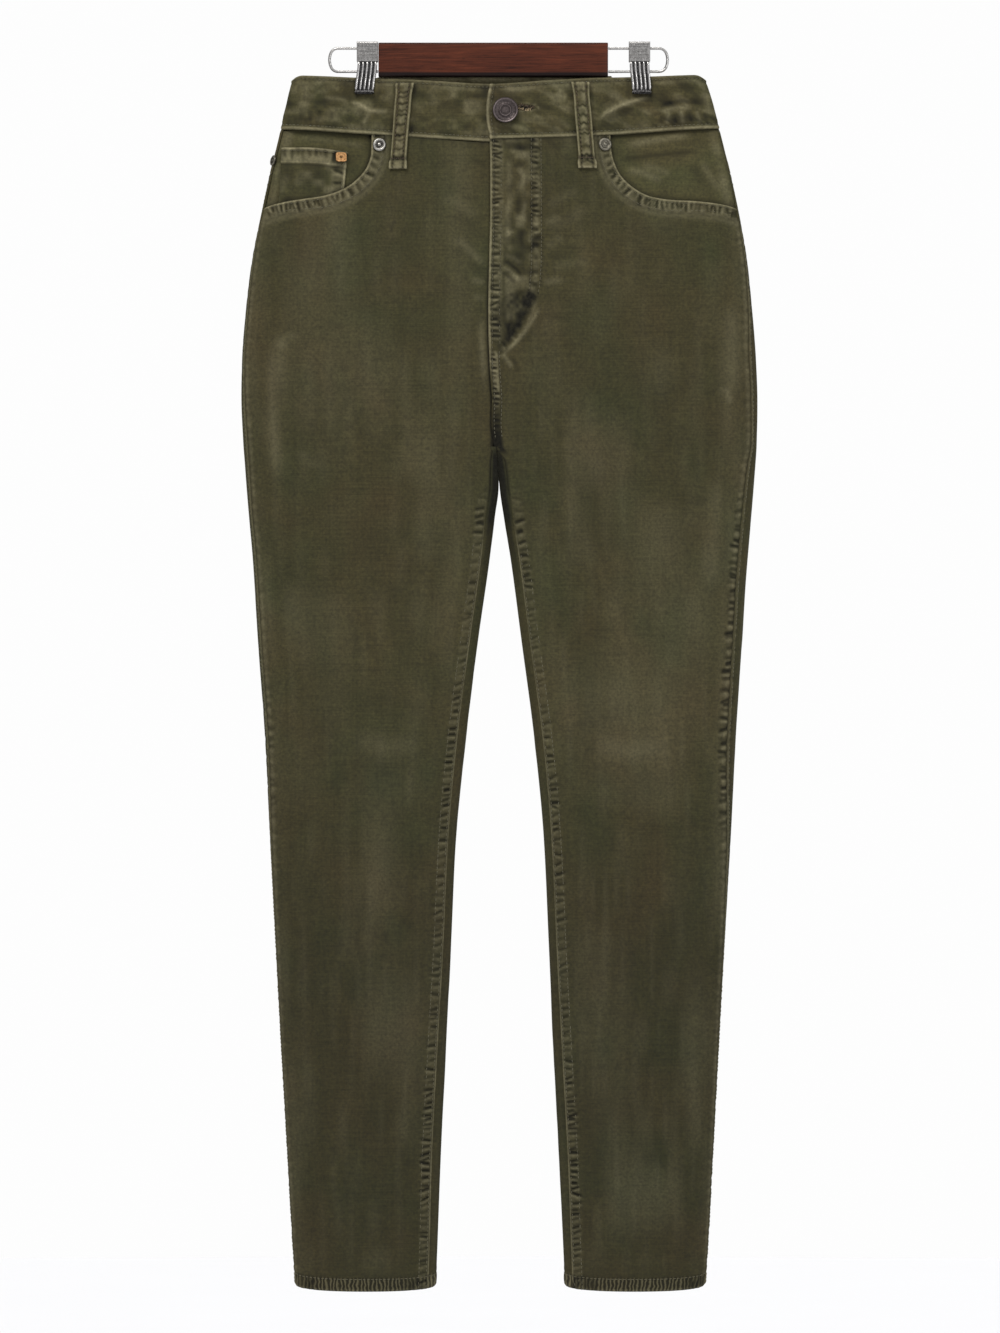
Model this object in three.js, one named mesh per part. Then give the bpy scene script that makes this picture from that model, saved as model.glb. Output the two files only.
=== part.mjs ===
// Corduroy trousers hanging flat from a clip hanger.
// Millimetres. +Z is up, the front of the garment faces -Y, +X is the wearer's left.
// The origin is the middle of the top face of the hanger's wooden bar, where the hanger is held.
// Right and left are the wearer's, so "right" is the -X half.
import * as THREE from "three";

// ---------------------------------------------------------------- driving dimensions
const WALL = 1.6; // one layer of needlecord
const HEM_WALL = 2.6; // cloth with its turned-up hem
const HEM_DEPTH = 10;
const GAP = 0.3; // between sewn pieces
const SQUARENESS = 3.5; // how flat a section's front and back are before they round into the sides
const BAND_PROUD = 0.7; // the waistband stands this far out from the panels
const BAND_WALL = 2.2; // doubled cloth
const UNDERLAP = 34; // length of the waistband's end under the button end
const PATCH_WALL = 1.2; // coin pocket
const LOOP_WIDTH = 15;
const LOOP_LENGTH = 73.5;
const LOOP_WALL = 1.8;
const BUTTON_DIAMETER = 22;
const BUTTON_THICKNESS = 3.6;
const RIVET_DIAMETER = 11.5;
const RIVET_THICKNESS = 1.8;
const BAR = { left: -102.4, right: 92.6, top: 0, bottom: -28.9, thickness: 12, edge: 1.2 };
const WIRE = { diameter: 2.4, top: -4.6, bottom: -24.3, endRight: -144.1, endLeft: 143.3, corner: 7.5 };
const CLIP_WIDTH = 18;
const CLIP_AT = { right: -111.8, left: 119.4 }; // clip centres along X
const CLIP = { top: 1.6, shoulder: -16, grip: -28, bottom: -44.2, half: 6.2, jaw: 4.2, bite: 2.85, metal: 1.3, lip: 2.2 };
const PINCH = { depth: 1.8, reach: 24, fade: 125 }; // cloth depth inside a clip, its spread in X and its fade in Z
const BACK_POCKET = { width: 122, foot: 108, top: -176, depth: 128, point: 14, centre: 94, wall: 1.4 };
const YOKE = { centre: -150, side: -111 }; // height of the yoke seam at the seat seam and at the side seam
const SEAT_DIP = 21; // how far the crotch seam hangs between its two ends

// ---------------------------------------------------------------- sections of the body and the legs
// One row for each section. Columns: height, the outer edges and the inner edges of both halves, how far each back panel
// wraps round to the front at its side seam and inseam, the front and back depth, and how much of that depth is kept at the inner edge.
const SECTION_COLUMNS = ["z", "outerR", "innerR", "innerL", "outerL", "sideR", "sideL", "inseam", "front", "back", "keepF", "keepB"];
const SECTIONS = [
  [-24, -174.0, -8.4, -8.4, 172.8, 1.8, 1.6, 0.9, 7.6, 8.0, 1.0, 1.0],
  [-40, -177.8, -8.4, -8.4, 178.0, 1.8, 1.4, 0.9, 9.2, 9.4, 1.0, 1.0],
  [-70, -184.6, -8.4, -8.4, 186.6, 1.7, 1.1, 0.9, 12.2, 12.8, 1.0, 1.0],
  [-108, -194.0, -7.8, -7.8, 196.0, 1.4, 0.9, 0.9, 15.6, 16.8, 1.0, 1.0],
  [-142, -201.4, -7.8, -7.8, 203.4, 1.6, 2.0, 0.9, 18.0, 20.0, 1.0, 1.0],
  [-184, -209.8, -8.6, -8.6, 210.9, 2.2, 2.5, 0.9, 20.0, 23.0, 1.0, 1.0],
  [-227, -215.1, -9.4, -9.4, 215.2, 2.6, 3.6, 0.9, 21.6, 25.0, 1.0, 1.0],
  [-269, -218.2, -8.6, -8.6, 218.6, 2.6, 6.4, 0.9, 22.6, 26.2, 0.97, 0.97],
  [-303, -218.9, -6.4, -6.4, 219.8, 3.4, 6.0, 0.9, 23.0, 26.4, 0.91, 0.93],
  [-341.7, -217.2, -2.4, -2.4, 219.0, 4.2, 5.2, 0.9, 22.8, 25.6, 0.76, 0.84],
  [-358, -215.9, -0.8, -0.8, 217.9, 4.0, 7.0, 4.2, 22.5, 25.0, 0.66, 0.74],
  [-375.7, -214.6, -0.1, 0.2, 216.4, 3.8, 7.8, 8.0, 22.2, 24.2, 0.56, 0.62],
  [-405, -212.2, -3.8, 4.3, 213.9, 3.4, 8.4, 7.8, 21.6, 22.8, 0.42, 0.48],
  [-439.5, -209.1, -7.9, 9.9, 211.0, 3.4, 8.5, 7.4, 21.0, 21.8, 0.32, 0.36],
  [-507.5, -204.9, -17.6, 18.9, 206.1, 3.4, 7.8, 7.2, 19.8, 20.4, 0.22, 0.24],
  [-592.5, -198.9, -28.3, 30.0, 200.9, 3.2, 7.4, 7.4, 18.4, 19.0, 0.18, 0.18],
  [-677.5, -194.7, -36.5, 38.0, 196.8, 1.8, 3.4, 6.8, 17.2, 17.8, 0.16, 0.16],
  [-762.5, -190.1, -40.4, 42.0, 192.0, 1.2, 1.6, 6.8, 16.2, 16.8, 0.16, 0.16],
  [-847.5, -185.5, -44.6, 45.8, 187.2, 1.0, 1.2, 7.4, 15.2, 15.8, 0.16, 0.16],
  [-946, -179.9, -49.3, 50.8, 181.9, 1.0, 1.0, 7.8, 14.0, 14.6, 0.16, 0.16],
  [-1031, -174.9, -52.5, 54.8, 177.2, 1.0, 1.0, 7.0, 13.0, 13.4, 0.16, 0.16],
  [-1062, -172.4, -53.8, 56.2, 174.2, 1.0, 1.0, 7.0, 12.6, 13.0, 0.16, 0.16],
];

// Edges that run across the garment. Columns: x along the garment, z of the edge.
const BAND_TOP_FRONT = [[-173, -28.0], [-98.6, -30.6], [-54, -33.0], [-8.5, -35.4], [40, -32.6], [92.6, -29.9], [173, -27.6]];
const BAND_TOP_BACK = [[-173, -28.0], [-112, -29.6], [0, -29.9], [119, -29.2], [173, -27.6]];
const BAND_BOTTOM_RIGHT = [[-187, -73.2], [-97.8, -78.5], [-54, -82.0], [-8.5, -85.0]];
const BAND_BOTTOM_LEFT = [[-8.5, -82.6], [64.6, -80.4], [136, -75.4], [189, -72.6]];
const BAND_BOTTOM_BACK = [[-187, -73.2], [0, -73.8], [189, -72.6]];
// Mouth of the front pockets, from the waistband to the side seam. Columns: z, distance from the garment's middle.
const MOUTH_RIGHT = [[-74, -108.2], [-93.5, -108.6], [-104.6, -111.6], [-117.3, -121.6], [-125.0, -132.8], [-130.9, -149.6], [-133.2, -165.0], [-135.2, -178.6], [-137.4, -190.0], [-140.6, -200.6]];
const MOUTH_LEFT = [[-74, 94.6], [-90.1, 95.4], [-108.8, 100.8], [-124.1, 114.8], [-131.3, 129.2], [-134.3, 148.0], [-135.2, 166.0], [-136.6, 181.0], [-138.4, 192.6], [-141.1, 203.2]];
// Heights of the rows of the panels below the pocket, with more of them where the outline turns.
const ROWS = [-168, -205, -248, -292, -322, -341.7, -358, -375.7, -400, -439.5, -478, -516, -567, -626, -694, -770, -847.5, -924, -992, -1036, -1048.6, -1058.6];
const FORK_ROW = ROWS.indexOf(-341.7);
const HEM_ROW = ROWS.indexOf(-1048.6);

// ---------------------------------------------------------------- interpolation
const column = Object.fromEntries(SECTION_COLUMNS.map((name, k) => [name, k]));
const lerp = (a, b, t) => a + (b - a) * t;
const clamp = (v, low, high) => Math.min(high, Math.max(low, v));
const smooth = (t) => { const c = clamp(t, 0, 1); return c * c * (3 - 2 * c); };

// Smooth curve through a table's rows, read at `at`, that doesn't overshoot between them.
function through(table, at, from = 0, to = 1) {
  const up = table[0][from] < table[table.length - 1][from];
  const rows = up ? table : [...table].reverse();
  const x = rows.map((r) => r[from]), y = rows.map((r) => r[to]), n = x.length;
  if (at <= x[0]) return y[0];
  if (at >= x[n - 1]) return y[n - 1];
  let k = 0;
  while (at > x[k + 1]) k += 1;
  const slope = (i) => (y[i + 1] - y[i]) / (x[i + 1] - x[i]);
  const tangent = (i) => {
    if (i === 0) return slope(0);
    if (i === n - 1) return slope(n - 2);
    const a = slope(i - 1), b = slope(i);
    return a * b <= 0 ? 0 : (2 * a * b) / (a + b);
  };
  const h = x[k + 1] - x[k], t = (at - x[k]) / h, t2 = t * t, t3 = t2 * t;
  return (2 * t3 - 3 * t2 + 1) * y[k] + (t3 - 2 * t2 + t) * h * tangent(k) + (3 * t2 - 2 * t3) * y[k + 1] + (t3 - t2) * h * tangent(k + 1);
}
const section = (name, z) => through(SECTIONS, z, column.z, column[name]);

// ---------------------------------------------------------------- the surface that every piece lies on
// A half's loop runs from the side (0) over the front to the inner edge (1), along the inner wall (1 to WALL_END) and
// over the back to the side again (LOOP_END). Past LOOP_END it goes on round to the front.
const WALL_END = 1.2;
const LOOP_END = 2.2;
const HALVES = {
  right: { outer: "outerR", inner: "innerR", side: "sideR" },
  left: { outer: "outerL", inner: "innerL", side: "sideL" },
};

function pinch(x, depth, z) {
  const fade = smooth(1 + (z + 44) / PINCH.fade);
  let held = 0;
  for (const at of [CLIP_AT.right, CLIP_AT.left]) {
    const off = Math.max(0, Math.abs(x - at) - CLIP_WIDTH / 2);
    held = Math.max(held, Math.exp(-((off / PINCH.reach) ** 2)));
  }
  return lerp(depth, Math.min(depth, PINCH.depth), held * fade);
}

function onLoop(half, s, z) {
  const names = HALVES[half];
  const xo = section(names.outer, z), xi = section(names.inner, z);
  const toward = half === "right" ? -1 : 1;
  const edge = xi + toward * 0.15; // the two halves keep clear of each other
  const arc = (along, depth, keep) => {
    const t = (1 - Math.cos(Math.PI * along)) / 2;
    const round = Math.sqrt(Math.max(0, 1 - Math.abs(1 - 2 * t) ** SQUARENESS));
    const x = xo + (edge - xo) * t;
    const share = t < 0.5 ? round : keep + (1 - keep) * round;
    return [x, pinch(x, depth * share, z)];
  };
  const front = section("front", z), back = section("back", z);
  const keepF = section("keepF", z), keepB = section("keepB", z);
  if (s < 0) return onLoop(half, s + LOOP_END, z);
  if (s >= LOOP_END) { const [x, d] = arc(s - LOOP_END, front, keepF); return new THREE.Vector3(x, -d, z); }
  if (s <= 1) { const [x, d] = arc(s, front, keepF); return new THREE.Vector3(x, -d, z); }
  if (s < WALL_END) {
    const k = (s - 1) / (WALL_END - 1);
    return new THREE.Vector3(edge, lerp(-front * keepF, back * keepB, k), z);
  }
  const [x, d] = arc(LOOP_END - s, back, keepB);
  return new THREE.Vector3(x, d, z);
}

// Outward normal, from neighbouring points of the surface.
function normal(half, s, z) {
  const e = 0.004;
  const a = onLoop(half, s + e, z).sub(onLoop(half, s - e, z));
  const b = onLoop(half, s, z + 1.5).sub(onLoop(half, s, z - 1.5));
  const n = new THREE.Vector3().crossVectors(a, b).normalize();
  if (half === "left") n.negate();
  return n;
}
const lifted = (half, s, z, out) => onLoop(half, s, z).addScaledVector(normal(half, s, z), out);

// Loop coordinate of a distance from the side, or of an x, on the front or the back.
function atShare(t) { return Math.acos(clamp(1 - 2 * t, -1, 1)) / Math.PI; }
function sOfX(half, x, z, face = "front") {
  const xo = section(HALVES[half].outer, z), xi = section(HALVES[half].inner, z);
  const s = atShare(clamp((x - xo) / (xi - xo), 0, 1));
  return face === "front" ? s : LOOP_END - s;
}
function seamShare(half, wrap, z) {
  const xo = section(HALVES[half].outer, z), xi = section(HALVES[half].inner, z);
  return atShare(wrap / Math.abs(xi - xo));
}
const sideSeam = (half, z) => seamShare(half, section(HALVES[half].side, z), z);
const inseam = (half, z) => 1 - seamShare(half, section("inseam", z), z);
// A step of so many millimetres along the surface, as a step of the loop coordinate.
function step(half, s, z, mm) {
  return mm / Math.max(1, onLoop(half, s + 0.01, z).distanceTo(onLoop(half, s - 0.01, z)) / 0.02);
}

// ---------------------------------------------------------------- solids
// Closed solid between two grids of points: near is the outer face, far the inner one. has(i, j) says which cells exist.
function slab(near, far, has = () => true) {
  const rows = near.length, cols = near[0].length, place = new Map(), positions = [], index = [];
  const vertex = (layer, i, j) => {
    const key = `${layer},${i},${j}`;
    if (!place.has(key)) {
      place.set(key, positions.length / 3);
      const p = (layer ? far : near)[i][j];
      positions.push(p.x, p.y, p.z);
    }
    return place.get(key);
  };
  const cell = (i, j) => i >= 0 && j >= 0 && i < rows - 1 && j < cols - 1 && has(i, j);
  const quad = (a, b, c, d) => index.push(a, b, c, a, c, d);
  for (let i = 0; i < rows - 1; i += 1) {
    for (let j = 0; j < cols - 1; j += 1) {
      if (!cell(i, j)) continue;
      const v = (layer, di, dj) => vertex(layer, i + di, j + dj);
      quad(v(0, 0, 0), v(0, 1, 0), v(0, 1, 1), v(0, 0, 1));
      quad(v(1, 0, 0), v(1, 0, 1), v(1, 1, 1), v(1, 1, 0));
      if (!cell(i - 1, j)) quad(v(0, 0, 0), v(0, 0, 1), v(1, 0, 1), v(1, 0, 0));
      if (!cell(i + 1, j)) quad(v(0, 1, 1), v(0, 1, 0), v(1, 1, 0), v(1, 1, 1));
      if (!cell(i, j - 1)) quad(v(0, 1, 0), v(0, 0, 0), v(1, 0, 0), v(1, 1, 0));
      if (!cell(i, j + 1)) quad(v(0, 0, 1), v(0, 1, 1), v(1, 1, 1), v(1, 0, 1));
    }
  }
  let volume = 0;
  const at = (k) => new THREE.Vector3(positions[3 * k], positions[3 * k + 1], positions[3 * k + 2]);
  for (let k = 0; k < index.length; k += 3) volume += at(index[k]).dot(at(index[k + 1]).cross(at(index[k + 2])));
  if (volume < 0) for (let k = 0; k < index.length; k += 3) [index[k], index[k + 1]] = [index[k + 1], index[k]];
  const geometry = new THREE.BufferGeometry();
  geometry.setAttribute("position", new THREE.Float32BufferAttribute(positions, 3));
  geometry.setIndex(index);
  geometry.computeVertexNormals();
  return geometry;
}
// Cloth over a grid of [half, s, z], from `out` millimetres proud of the surface to `wall` millimetres under that.
function cloth(grid, out, wall, has) {
  const layer = (depth) => grid.map((row, i) => row.map(([half, s, z]) => lifted(half, s, z, depth(i))));
  const thick = typeof wall === "function" ? wall : () => wall;
  return slab(layer(() => out), layer((i) => out - thick(i)), has);
}
const shares = (n, bend = 0) => Array.from({ length: n + 1 }, (_, k) => lerp(k / n, (1 - Math.cos((Math.PI * k) / n)) / 2, bend));

const object = new THREE.Group();
const OLIVE = 0x45412f;
const olive = (tint = 1) => new THREE.MeshStandardMaterial({ color: new THREE.Color(OLIVE).multiplyScalar(tint), roughness: 0.9, metalness: 0 });
const SILVER = { color: 0xb9b7b0, roughness: 0.3, metalness: 1 };
function add(name, geometry, material) {
  const mesh = new THREE.Mesh(geometry, material);
  mesh.name = name;
  object.add(mesh);
  return mesh;
}

// ---------------------------------------------------------------- fronts
const bandBottom = (half, x) => through(half === "right" ? BAND_BOTTOM_RIGHT : BAND_BOTTOM_LEFT, x);
const hemRound = (half, s, z) => z - (s > 0 && s < 1 ? 2.2 * Math.sin(Math.PI * s) : 0) * smooth((-1020 - z) / 38);

function mouthX(half, x, z) {
  const sign = half === "right" ? -1 : 1;
  return sign * Math.min(sign * x, sign * section(HALVES[half].outer, z) - section(HALVES[half].side, z) - GAP);
}
function frontPanel(half) {
  const mouth = half === "right" ? MOUTH_RIGHT : MOUTH_LEFT;
  const grid = [];
  const across = shares(11);
  // Beside the pocket the panel starts at the pocket's mouth. Each row starts where the mouth has that height.
  mouth.forEach(([z, x], k) => {
    const row = across.map((u) => {
      const level = lerp(z, k === 0 ? -78 : lerp(-88, -142, k / (mouth.length - 1)), u);
      const edge = section(HALVES[half].inner, level);
      // No further out than the side seam, where the back wraps round.
      const start = mouthX(half, x, z);
      const px = lerp(start, edge, u);
      const height = k === 0 ? bandBottom(half, px) - GAP : level;
      return [half, u === 1 ? 1 : sOfX(half, px, height), height];
    });
    grid.push(row);
  });
  for (const z of ROWS) {
    const start = sideSeam(half, z), first = start + step(half, start, z, GAP / 2);
    const below = z < -341.8;
    const end = inseam(half, z), last = below || z === -341.7 ? end - step(half, end, z, GAP / 2) : 1;
    grid.push(across.map((u) => {
      const s = lerp(first, last, u);
      return [half, s, hemRound(half, s, z)];
    }));
  }
  const top = mouth.length;
  return cloth(grid, 0, (i) => (i - top >= HEM_ROW ? HEM_WALL : WALL));
}

// ---------------------------------------------------------------- backs and yokes
const yokeSeam = (half, s, z) => {
  const x = onLoop(half, s, z).x;
  const xo = section(HALVES[half].outer, z), xi = section(HALVES[half].inner, z);
  return lerp(YOKE.side, YOKE.centre, clamp((x - xo) / (xi - xo), 0, 1) ** 0.8);
};
function backColumns(half, z, withInner) {
  const side = LOOP_END + sideSeam(half, z);
  const last = side - step(half, side, z, GAP / 2);
  const over = shares(9, 0.35).map((u) => lerp(WALL_END, LOOP_END, u));
  const wrapOut = [lerp(LOOP_END, last, 0.5), last];
  const start = inseam(half, z), first = start + step(half, start, z, GAP / 2);
  const inner = withInner ? [first, lerp(first, 1, 0.5), 1, (1 + WALL_END) / 2] : [1, 1, 1, 1];
  return [...inner, ...over, ...wrapOut];
}
function backPanel(half) {
  const grid = [];
  const INNER = 4;
  const top = backColumns(half, -142, false).map((s) => {
    const z = yokeSeam(half, Math.max(s, WALL_END), -142) - GAP;
    return [half, s > LOOP_END ? LOOP_END + (s - LOOP_END) : s, z];
  });
  grid.push(top);
  grid.push(top.map(([, s, z]) => [half, s, lerp(z, ROWS[0], 0.5)]));
  for (const [k, z] of ROWS.entries()) {
    const low = k >= FORK_ROW;
    const columns = backColumns(half, z, low);
    grid.push(columns.map((s, j) => {
      // The top of the inner wall is the crotch seam, which hangs between the fork at the front and the seat.
      const wall = j === 3 || j === 2 || j === 1;
      const near = clamp(1 - (k - FORK_ROW) / 3, 0, 1);
      const dip = low && wall ? SEAT_DIP * near * (j === 3 ? 1 : j === 2 ? 0.35 : 0.1) : 0;
      return [half, s, hemRound(half, s, z) - dip];
    }));
  }
  const wall = (i) => (i - 2 >= HEM_ROW ? HEM_WALL : WALL);
  return cloth(grid, 0, wall, (i, j) => i - 2 >= FORK_ROW || j >= INNER);
}
function yoke(half) {
  const over = clipColumns(half, -80, [34, 12, -12, -24, -36, -52, -76]).map((s) => LOOP_END - s).reverse();
  const grid = shares(3).map((v) => {
    const guess = lerp(-76, -130, v);
    const side = LOOP_END + sideSeam(half, guess);
    const last = side - step(half, side, guess, GAP / 2);
    return [...over, last].map((s) => {
      const x = onLoop(half, s, guess).x;
      const top = (s > LOOP_END ? bandBottom(half, x) : through(BAND_BOTTOM_BACK, x)) - 2.5 * GAP;
      return [half, s, lerp(top, yokeSeam(half, s, guess), v)];
    });
  });
  return cloth(grid, 0, WALL);
}

// ---------------------------------------------------------------- pockets
// The facing fills the pocket's mouth from behind the front, and goes on under it.
function facing(half, under) {
  const inner = half === "right" ? -100 : 86;
  const across = shares(7).map((u) => u ** 1.5), down = shares(4);
  const grid = down.map((v) => across.map((u) => {
    const edge = (z) => { const xo = section(HALVES[half].outer, z); return xo + (half === "right" ? 1 : -1) * (section(HALVES[half].side, z) + 0.4); };
    const foot = lerp(-143.6, -128, u);
    const topX = lerp(edge(-80), inner, u);
    const z = lerp(bandBottom(half, topX) - GAP, foot, v);
    const x = lerp(edge(z), inner, u);
    return [half, sOfX(half, x, z), z];
  }));
  return cloth(grid, -under, WALL);
}
function coinPocket(under) {
  const corner = [[-184.6, -89.0], [-127.8, -92.6], [-132.4, -142.0], [-187.0, -139.2]]; // outline: x, z
  const across = shares(6).map((u) => u ** 1.4), down = shares(3);
  const grid = down.map((v) => across.map((u) => {
    const top = [lerp(corner[0][0], corner[1][0], u), lerp(corner[0][1], corner[1][1], u)];
    const foot = [lerp(corner[3][0], corner[2][0], u), lerp(corner[3][1], corner[2][1], u)];
    const z = lerp(top[1], foot[1], v), x = lerp(top[0], foot[0], v);
    return ["right", sOfX("right", x, z), z];
  }));
  return cloth(grid, -under, PATCH_WALL);
}
function backPocket(half) {
  const sign = half === "right" ? -1 : 1, b = BACK_POCKET;
  const grid = shares(5).map((v) => shares(4).map((u) => {
    const width = lerp(b.width, b.foot, v), x = sign * b.centre - 2 + (u - 0.5) * width;
    const point = v * b.point * (1 - Math.abs(2 * u - 1));
    const z = b.top - v * (b.depth - b.point) - point;
    return [half, sOfX(half, x, z, "back"), z];
  }));
  return cloth(grid, GAP + b.wall, b.wall);
}
function flyShield() {
  // Lies behind both edges of the fly, mostly under the left front.
  const grid = shares(5).map((v) => {
    const z = lerp(-88, -262, v);
    const middle = section("innerL", z);
    return [-5, 2, 14, 26].map((off) => {
      const x = middle + off * lerp(1, 0.75, v);
      return x < middle ? ["right", sOfX("right", x, z), z] : ["left", sOfX("left", x, z), z];
    });
  });
  return cloth(grid, -(WALL + GAP), PATCH_WALL);
}

// ---------------------------------------------------------------- waistband
// Loop coordinates from the side to the middle, with columns at the given distances outward from the clip.
function clipColumns(half, z, offsets) {
  const inner = section(HALVES[half].inner, z), sign = half === "right" ? -1 : 1;
  const beside = offsets.map((off) => sOfX(half, CLIP_AT[half] + sign * off, z));
  return [0, 0.05, 0.1, ...beside, 1].filter((s, k, all) => k === 0 || s > all[k - 1] + 0.015 || s === 1)
    .filter((s) => s === 1 || Math.abs(onLoop(half, s, z).x - inner) > 6);
}
function waistband() {
  const columns = [];
  const z0 = -55;
  // The underlap, then the right front, the back, and the left front up to its lapped end.
  for (const off of [UNDERLAP, UNDERLAP * 0.5, 1.5]) columns.push(["left", off, "under"]);
  const at = (half) => clipColumns(half, z0, [46, 34, 22, 10.4, -10.4, -22, -34, -48, -64, -84]);
  for (const s of [...at("right")].reverse()) columns.push(["right", s === 1 ? 0.985 : s, "front"]);
  for (const s of at("right").slice(1)) columns.push(["right", LOOP_END - s, "back"]);
  for (const s of [...at("left")].reverse().slice(1)) columns.push(["left", LOOP_END - s, "back"]);
  for (const s of at("left").slice(1)) columns.push(["left", LOOP_END + s, "front"]);
  const topZ = (x, face) => through(face === "back" ? BAND_TOP_BACK : BAND_TOP_FRONT, x);
  const footZ = (x, half, face) => (face === "back" ? through(BAND_BOTTOM_BACK, x) : bandBottom(half, x));
  const layer = (depth) => shares(3).map((v) => columns.map(([half, s, face]) => {
    let sAt = s, lift = BAND_PROUD;
    if (face === "under") { sAt = sOfX("left", section("innerL", z0) + s, z0); lift = BAND_PROUD - BAND_WALL - GAP; }
    const x = onLoop(half, sAt, z0).x;
    const z = lerp(topZ(x, face), footZ(x, face === "under" ? "right" : half, face), v) + (face === "under" ? -0.6 * (1 - 2 * v) : 0);
    return lifted(half, sAt, z, lift - depth);
  }));
  return slab(layer(0), layer(BAND_WALL));
}

// A flat strap that lies on the waistband and the panel under it, straight down from (x, top).
function beltLoop(half, x, lean, face) {
  const top = face === "front" ? through(BAND_TOP_FRONT, x) - 3.2 : through(BAND_TOP_BACK, x) - 1.5;
  const out = BAND_PROUD + GAP;
  const sections = [0, 0.07, 0.3, 0.6, 0.9, 1];
  const bulge = [1.0, 1.3, 1.2, 1.0, 0.9, 0.9];
  const layer = (extra) => sections.map((v, k) => [-1, 0, 1].map((side) => {
    const z = top - v * LOOP_LENGTH, px = x + lean * v + (side * LOOP_WIDTH) / 2;
    const where = px < section("innerL", z) ? "right" : "left";
    return lifted(where, sOfX(where, px, z, face), z, out + extra + 0.2 * bulge[k]);
  }));
  return slab(layer(LOOP_WALL), layer(0));
}

// ---------------------------------------------------------------- round metal pieces
function disc(profile, half, x, z, out, face = "front", segments = 20) {
  const geometry = new THREE.LatheGeometry(profile.map(([r, h]) => new THREE.Vector2(r, h)), segments);
  const s = sOfX(half, x, z, face), n = normal(half, s, z);
  const turn = new THREE.Quaternion().setFromUnitVectors(new THREE.Vector3(0, 1, 0), n);
  geometry.applyQuaternion(turn);
  const p = lifted(half, s, z, out);
  geometry.translate(p.x, p.y, p.z);
  return geometry;
}
const domed = (diameter, height) => [[0, 0], [diameter / 2 - 0.5, 0], [diameter / 2, height * 0.35], [diameter / 2 - 0.9, height * 0.85], [diameter / 4, height], [0, height]];

// ---------------------------------------------------------------- hanger
function block({ left, right, top, bottom, thickness, edge }) {
  const shape = new THREE.Shape();
  const y = thickness / 2, e = edge;
  shape.moveTo(-y + e, bottom); shape.lineTo(y - e, bottom); shape.lineTo(y, bottom + e); shape.lineTo(y, top - e);
  shape.lineTo(y - e, top); shape.lineTo(-y + e, top); shape.lineTo(-y, top - e); shape.lineTo(-y, bottom + e);
  shape.closePath();
  return sideways(shape, left, right - left);
}
// Extrudes a (y, z) outline along X.
function sideways(shape, from, length) {
  const geometry = new THREE.ExtrudeGeometry(shape, { depth: length, bevelEnabled: false, steps: 1, curveSegments: 6 });
  geometry.applyMatrix4(new THREE.Matrix4().set(0, 0, 1, from, 1, 0, 0, 0, 0, 1, 0, 0, 0, 0, 0, 1));
  return geometry;
}
function clip(at) {
  const c = CLIP, m = c.metal;
  // The outline goes down the front leg, up inside it, over under the bridge and down the back leg.
  const outer = [[c.half - 1.5, c.top], [c.half, c.top - 1.5], [c.half, c.shoulder], [c.jaw, c.grip], [c.jaw, c.bottom + 3], [c.jaw + c.lip, c.bottom]];
  const inner = [[c.jaw + c.lip - m, c.bottom - 0.0], [c.bite, c.bottom + 3.4], [c.bite, c.grip], [c.half - m, c.shoulder - 0.4], [c.half - m, c.top - 1.5 - m]];
  const shape = new THREE.Shape();
  const front = [...outer, ...inner].map(([y, z]) => [-y, z]);
  const back = [...outer, ...inner].reverse();
  [...front, ...back].forEach(([y, z], k) => (k ? shape.lineTo(y, z) : shape.moveTo(y, z)));
  shape.closePath();
  return sideways(shape, at - CLIP_WIDTH / 2, CLIP_WIDTH);
}
function wire(from, end) {
  const { top, bottom, corner, diameter } = WIRE, out = Math.sign(end - from);
  const path = new THREE.CurvePath();
  const v = (x, z) => new THREE.Vector3(x, 0, z);
  const turn = end - out * corner;
  path.add(new THREE.LineCurve3(v(from, top), v(turn, top)));
  path.add(new THREE.QuadraticBezierCurve3(v(turn, top), v(end - out * 0.5, top), v(end, (top + bottom) / 2)));
  path.add(new THREE.QuadraticBezierCurve3(v(end, (top + bottom) / 2), v(end - out * 0.5, bottom), v(turn, bottom)));
  path.add(new THREE.LineCurve3(v(turn, bottom), v(from, bottom)));
  const ring = new THREE.Shape();
  for (let k = 0; k < 8; k += 1) {
    const a = (k / 8) * 2 * Math.PI + Math.PI / 8, x = (Math.cos(a) * diameter) / 2, y = (Math.sin(a) * diameter) / 2;
    if (k) ring.lineTo(x, y); else ring.moveTo(x, y);
  }
  ring.closePath();
  return new THREE.ExtrudeGeometry(ring, { steps: 22, bevelEnabled: false, extrudePath: path });
}

// ---------------------------------------------------------------- assembly
const COIN_UNDER = WALL + 2 * GAP;
const FACING_UNDER_COIN = COIN_UNDER + PATCH_WALL + 3 * GAP;

add("front_right", frontPanel("right"), olive());
add("front_left", frontPanel("left"), olive());
add("back_right", backPanel("right"), olive(0.96));
add("back_left", backPanel("left"), olive(0.96));
add("yoke_right", yoke("right"), olive(1.02));
add("yoke_left", yoke("left"), olive(1.02));
add("pocket_facing_right", facing("right", FACING_UNDER_COIN), olive(0.95));
add("pocket_facing_left", facing("left", WALL + 4 * GAP), olive(0.95));
add("coin_pocket", coinPocket(COIN_UNDER), olive(1.05));
add("fly_shield", flyShield(), olive(0.9));
add("waistband", waistband(), olive(1.12));
add("belt_loop_front_right", beltLoop("right", -79.4, -6, "front"), olive(1.1));
add("belt_loop_front_left", beltLoop("left", 68.8, 6, "front"), olive(1.1));
add("belt_loop_side_right", beltLoop("right", -84, 0, "back"), olive(1.1));
add("belt_loop_side_left", beltLoop("left", 88, 0, "back"), olive(1.1));
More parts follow.
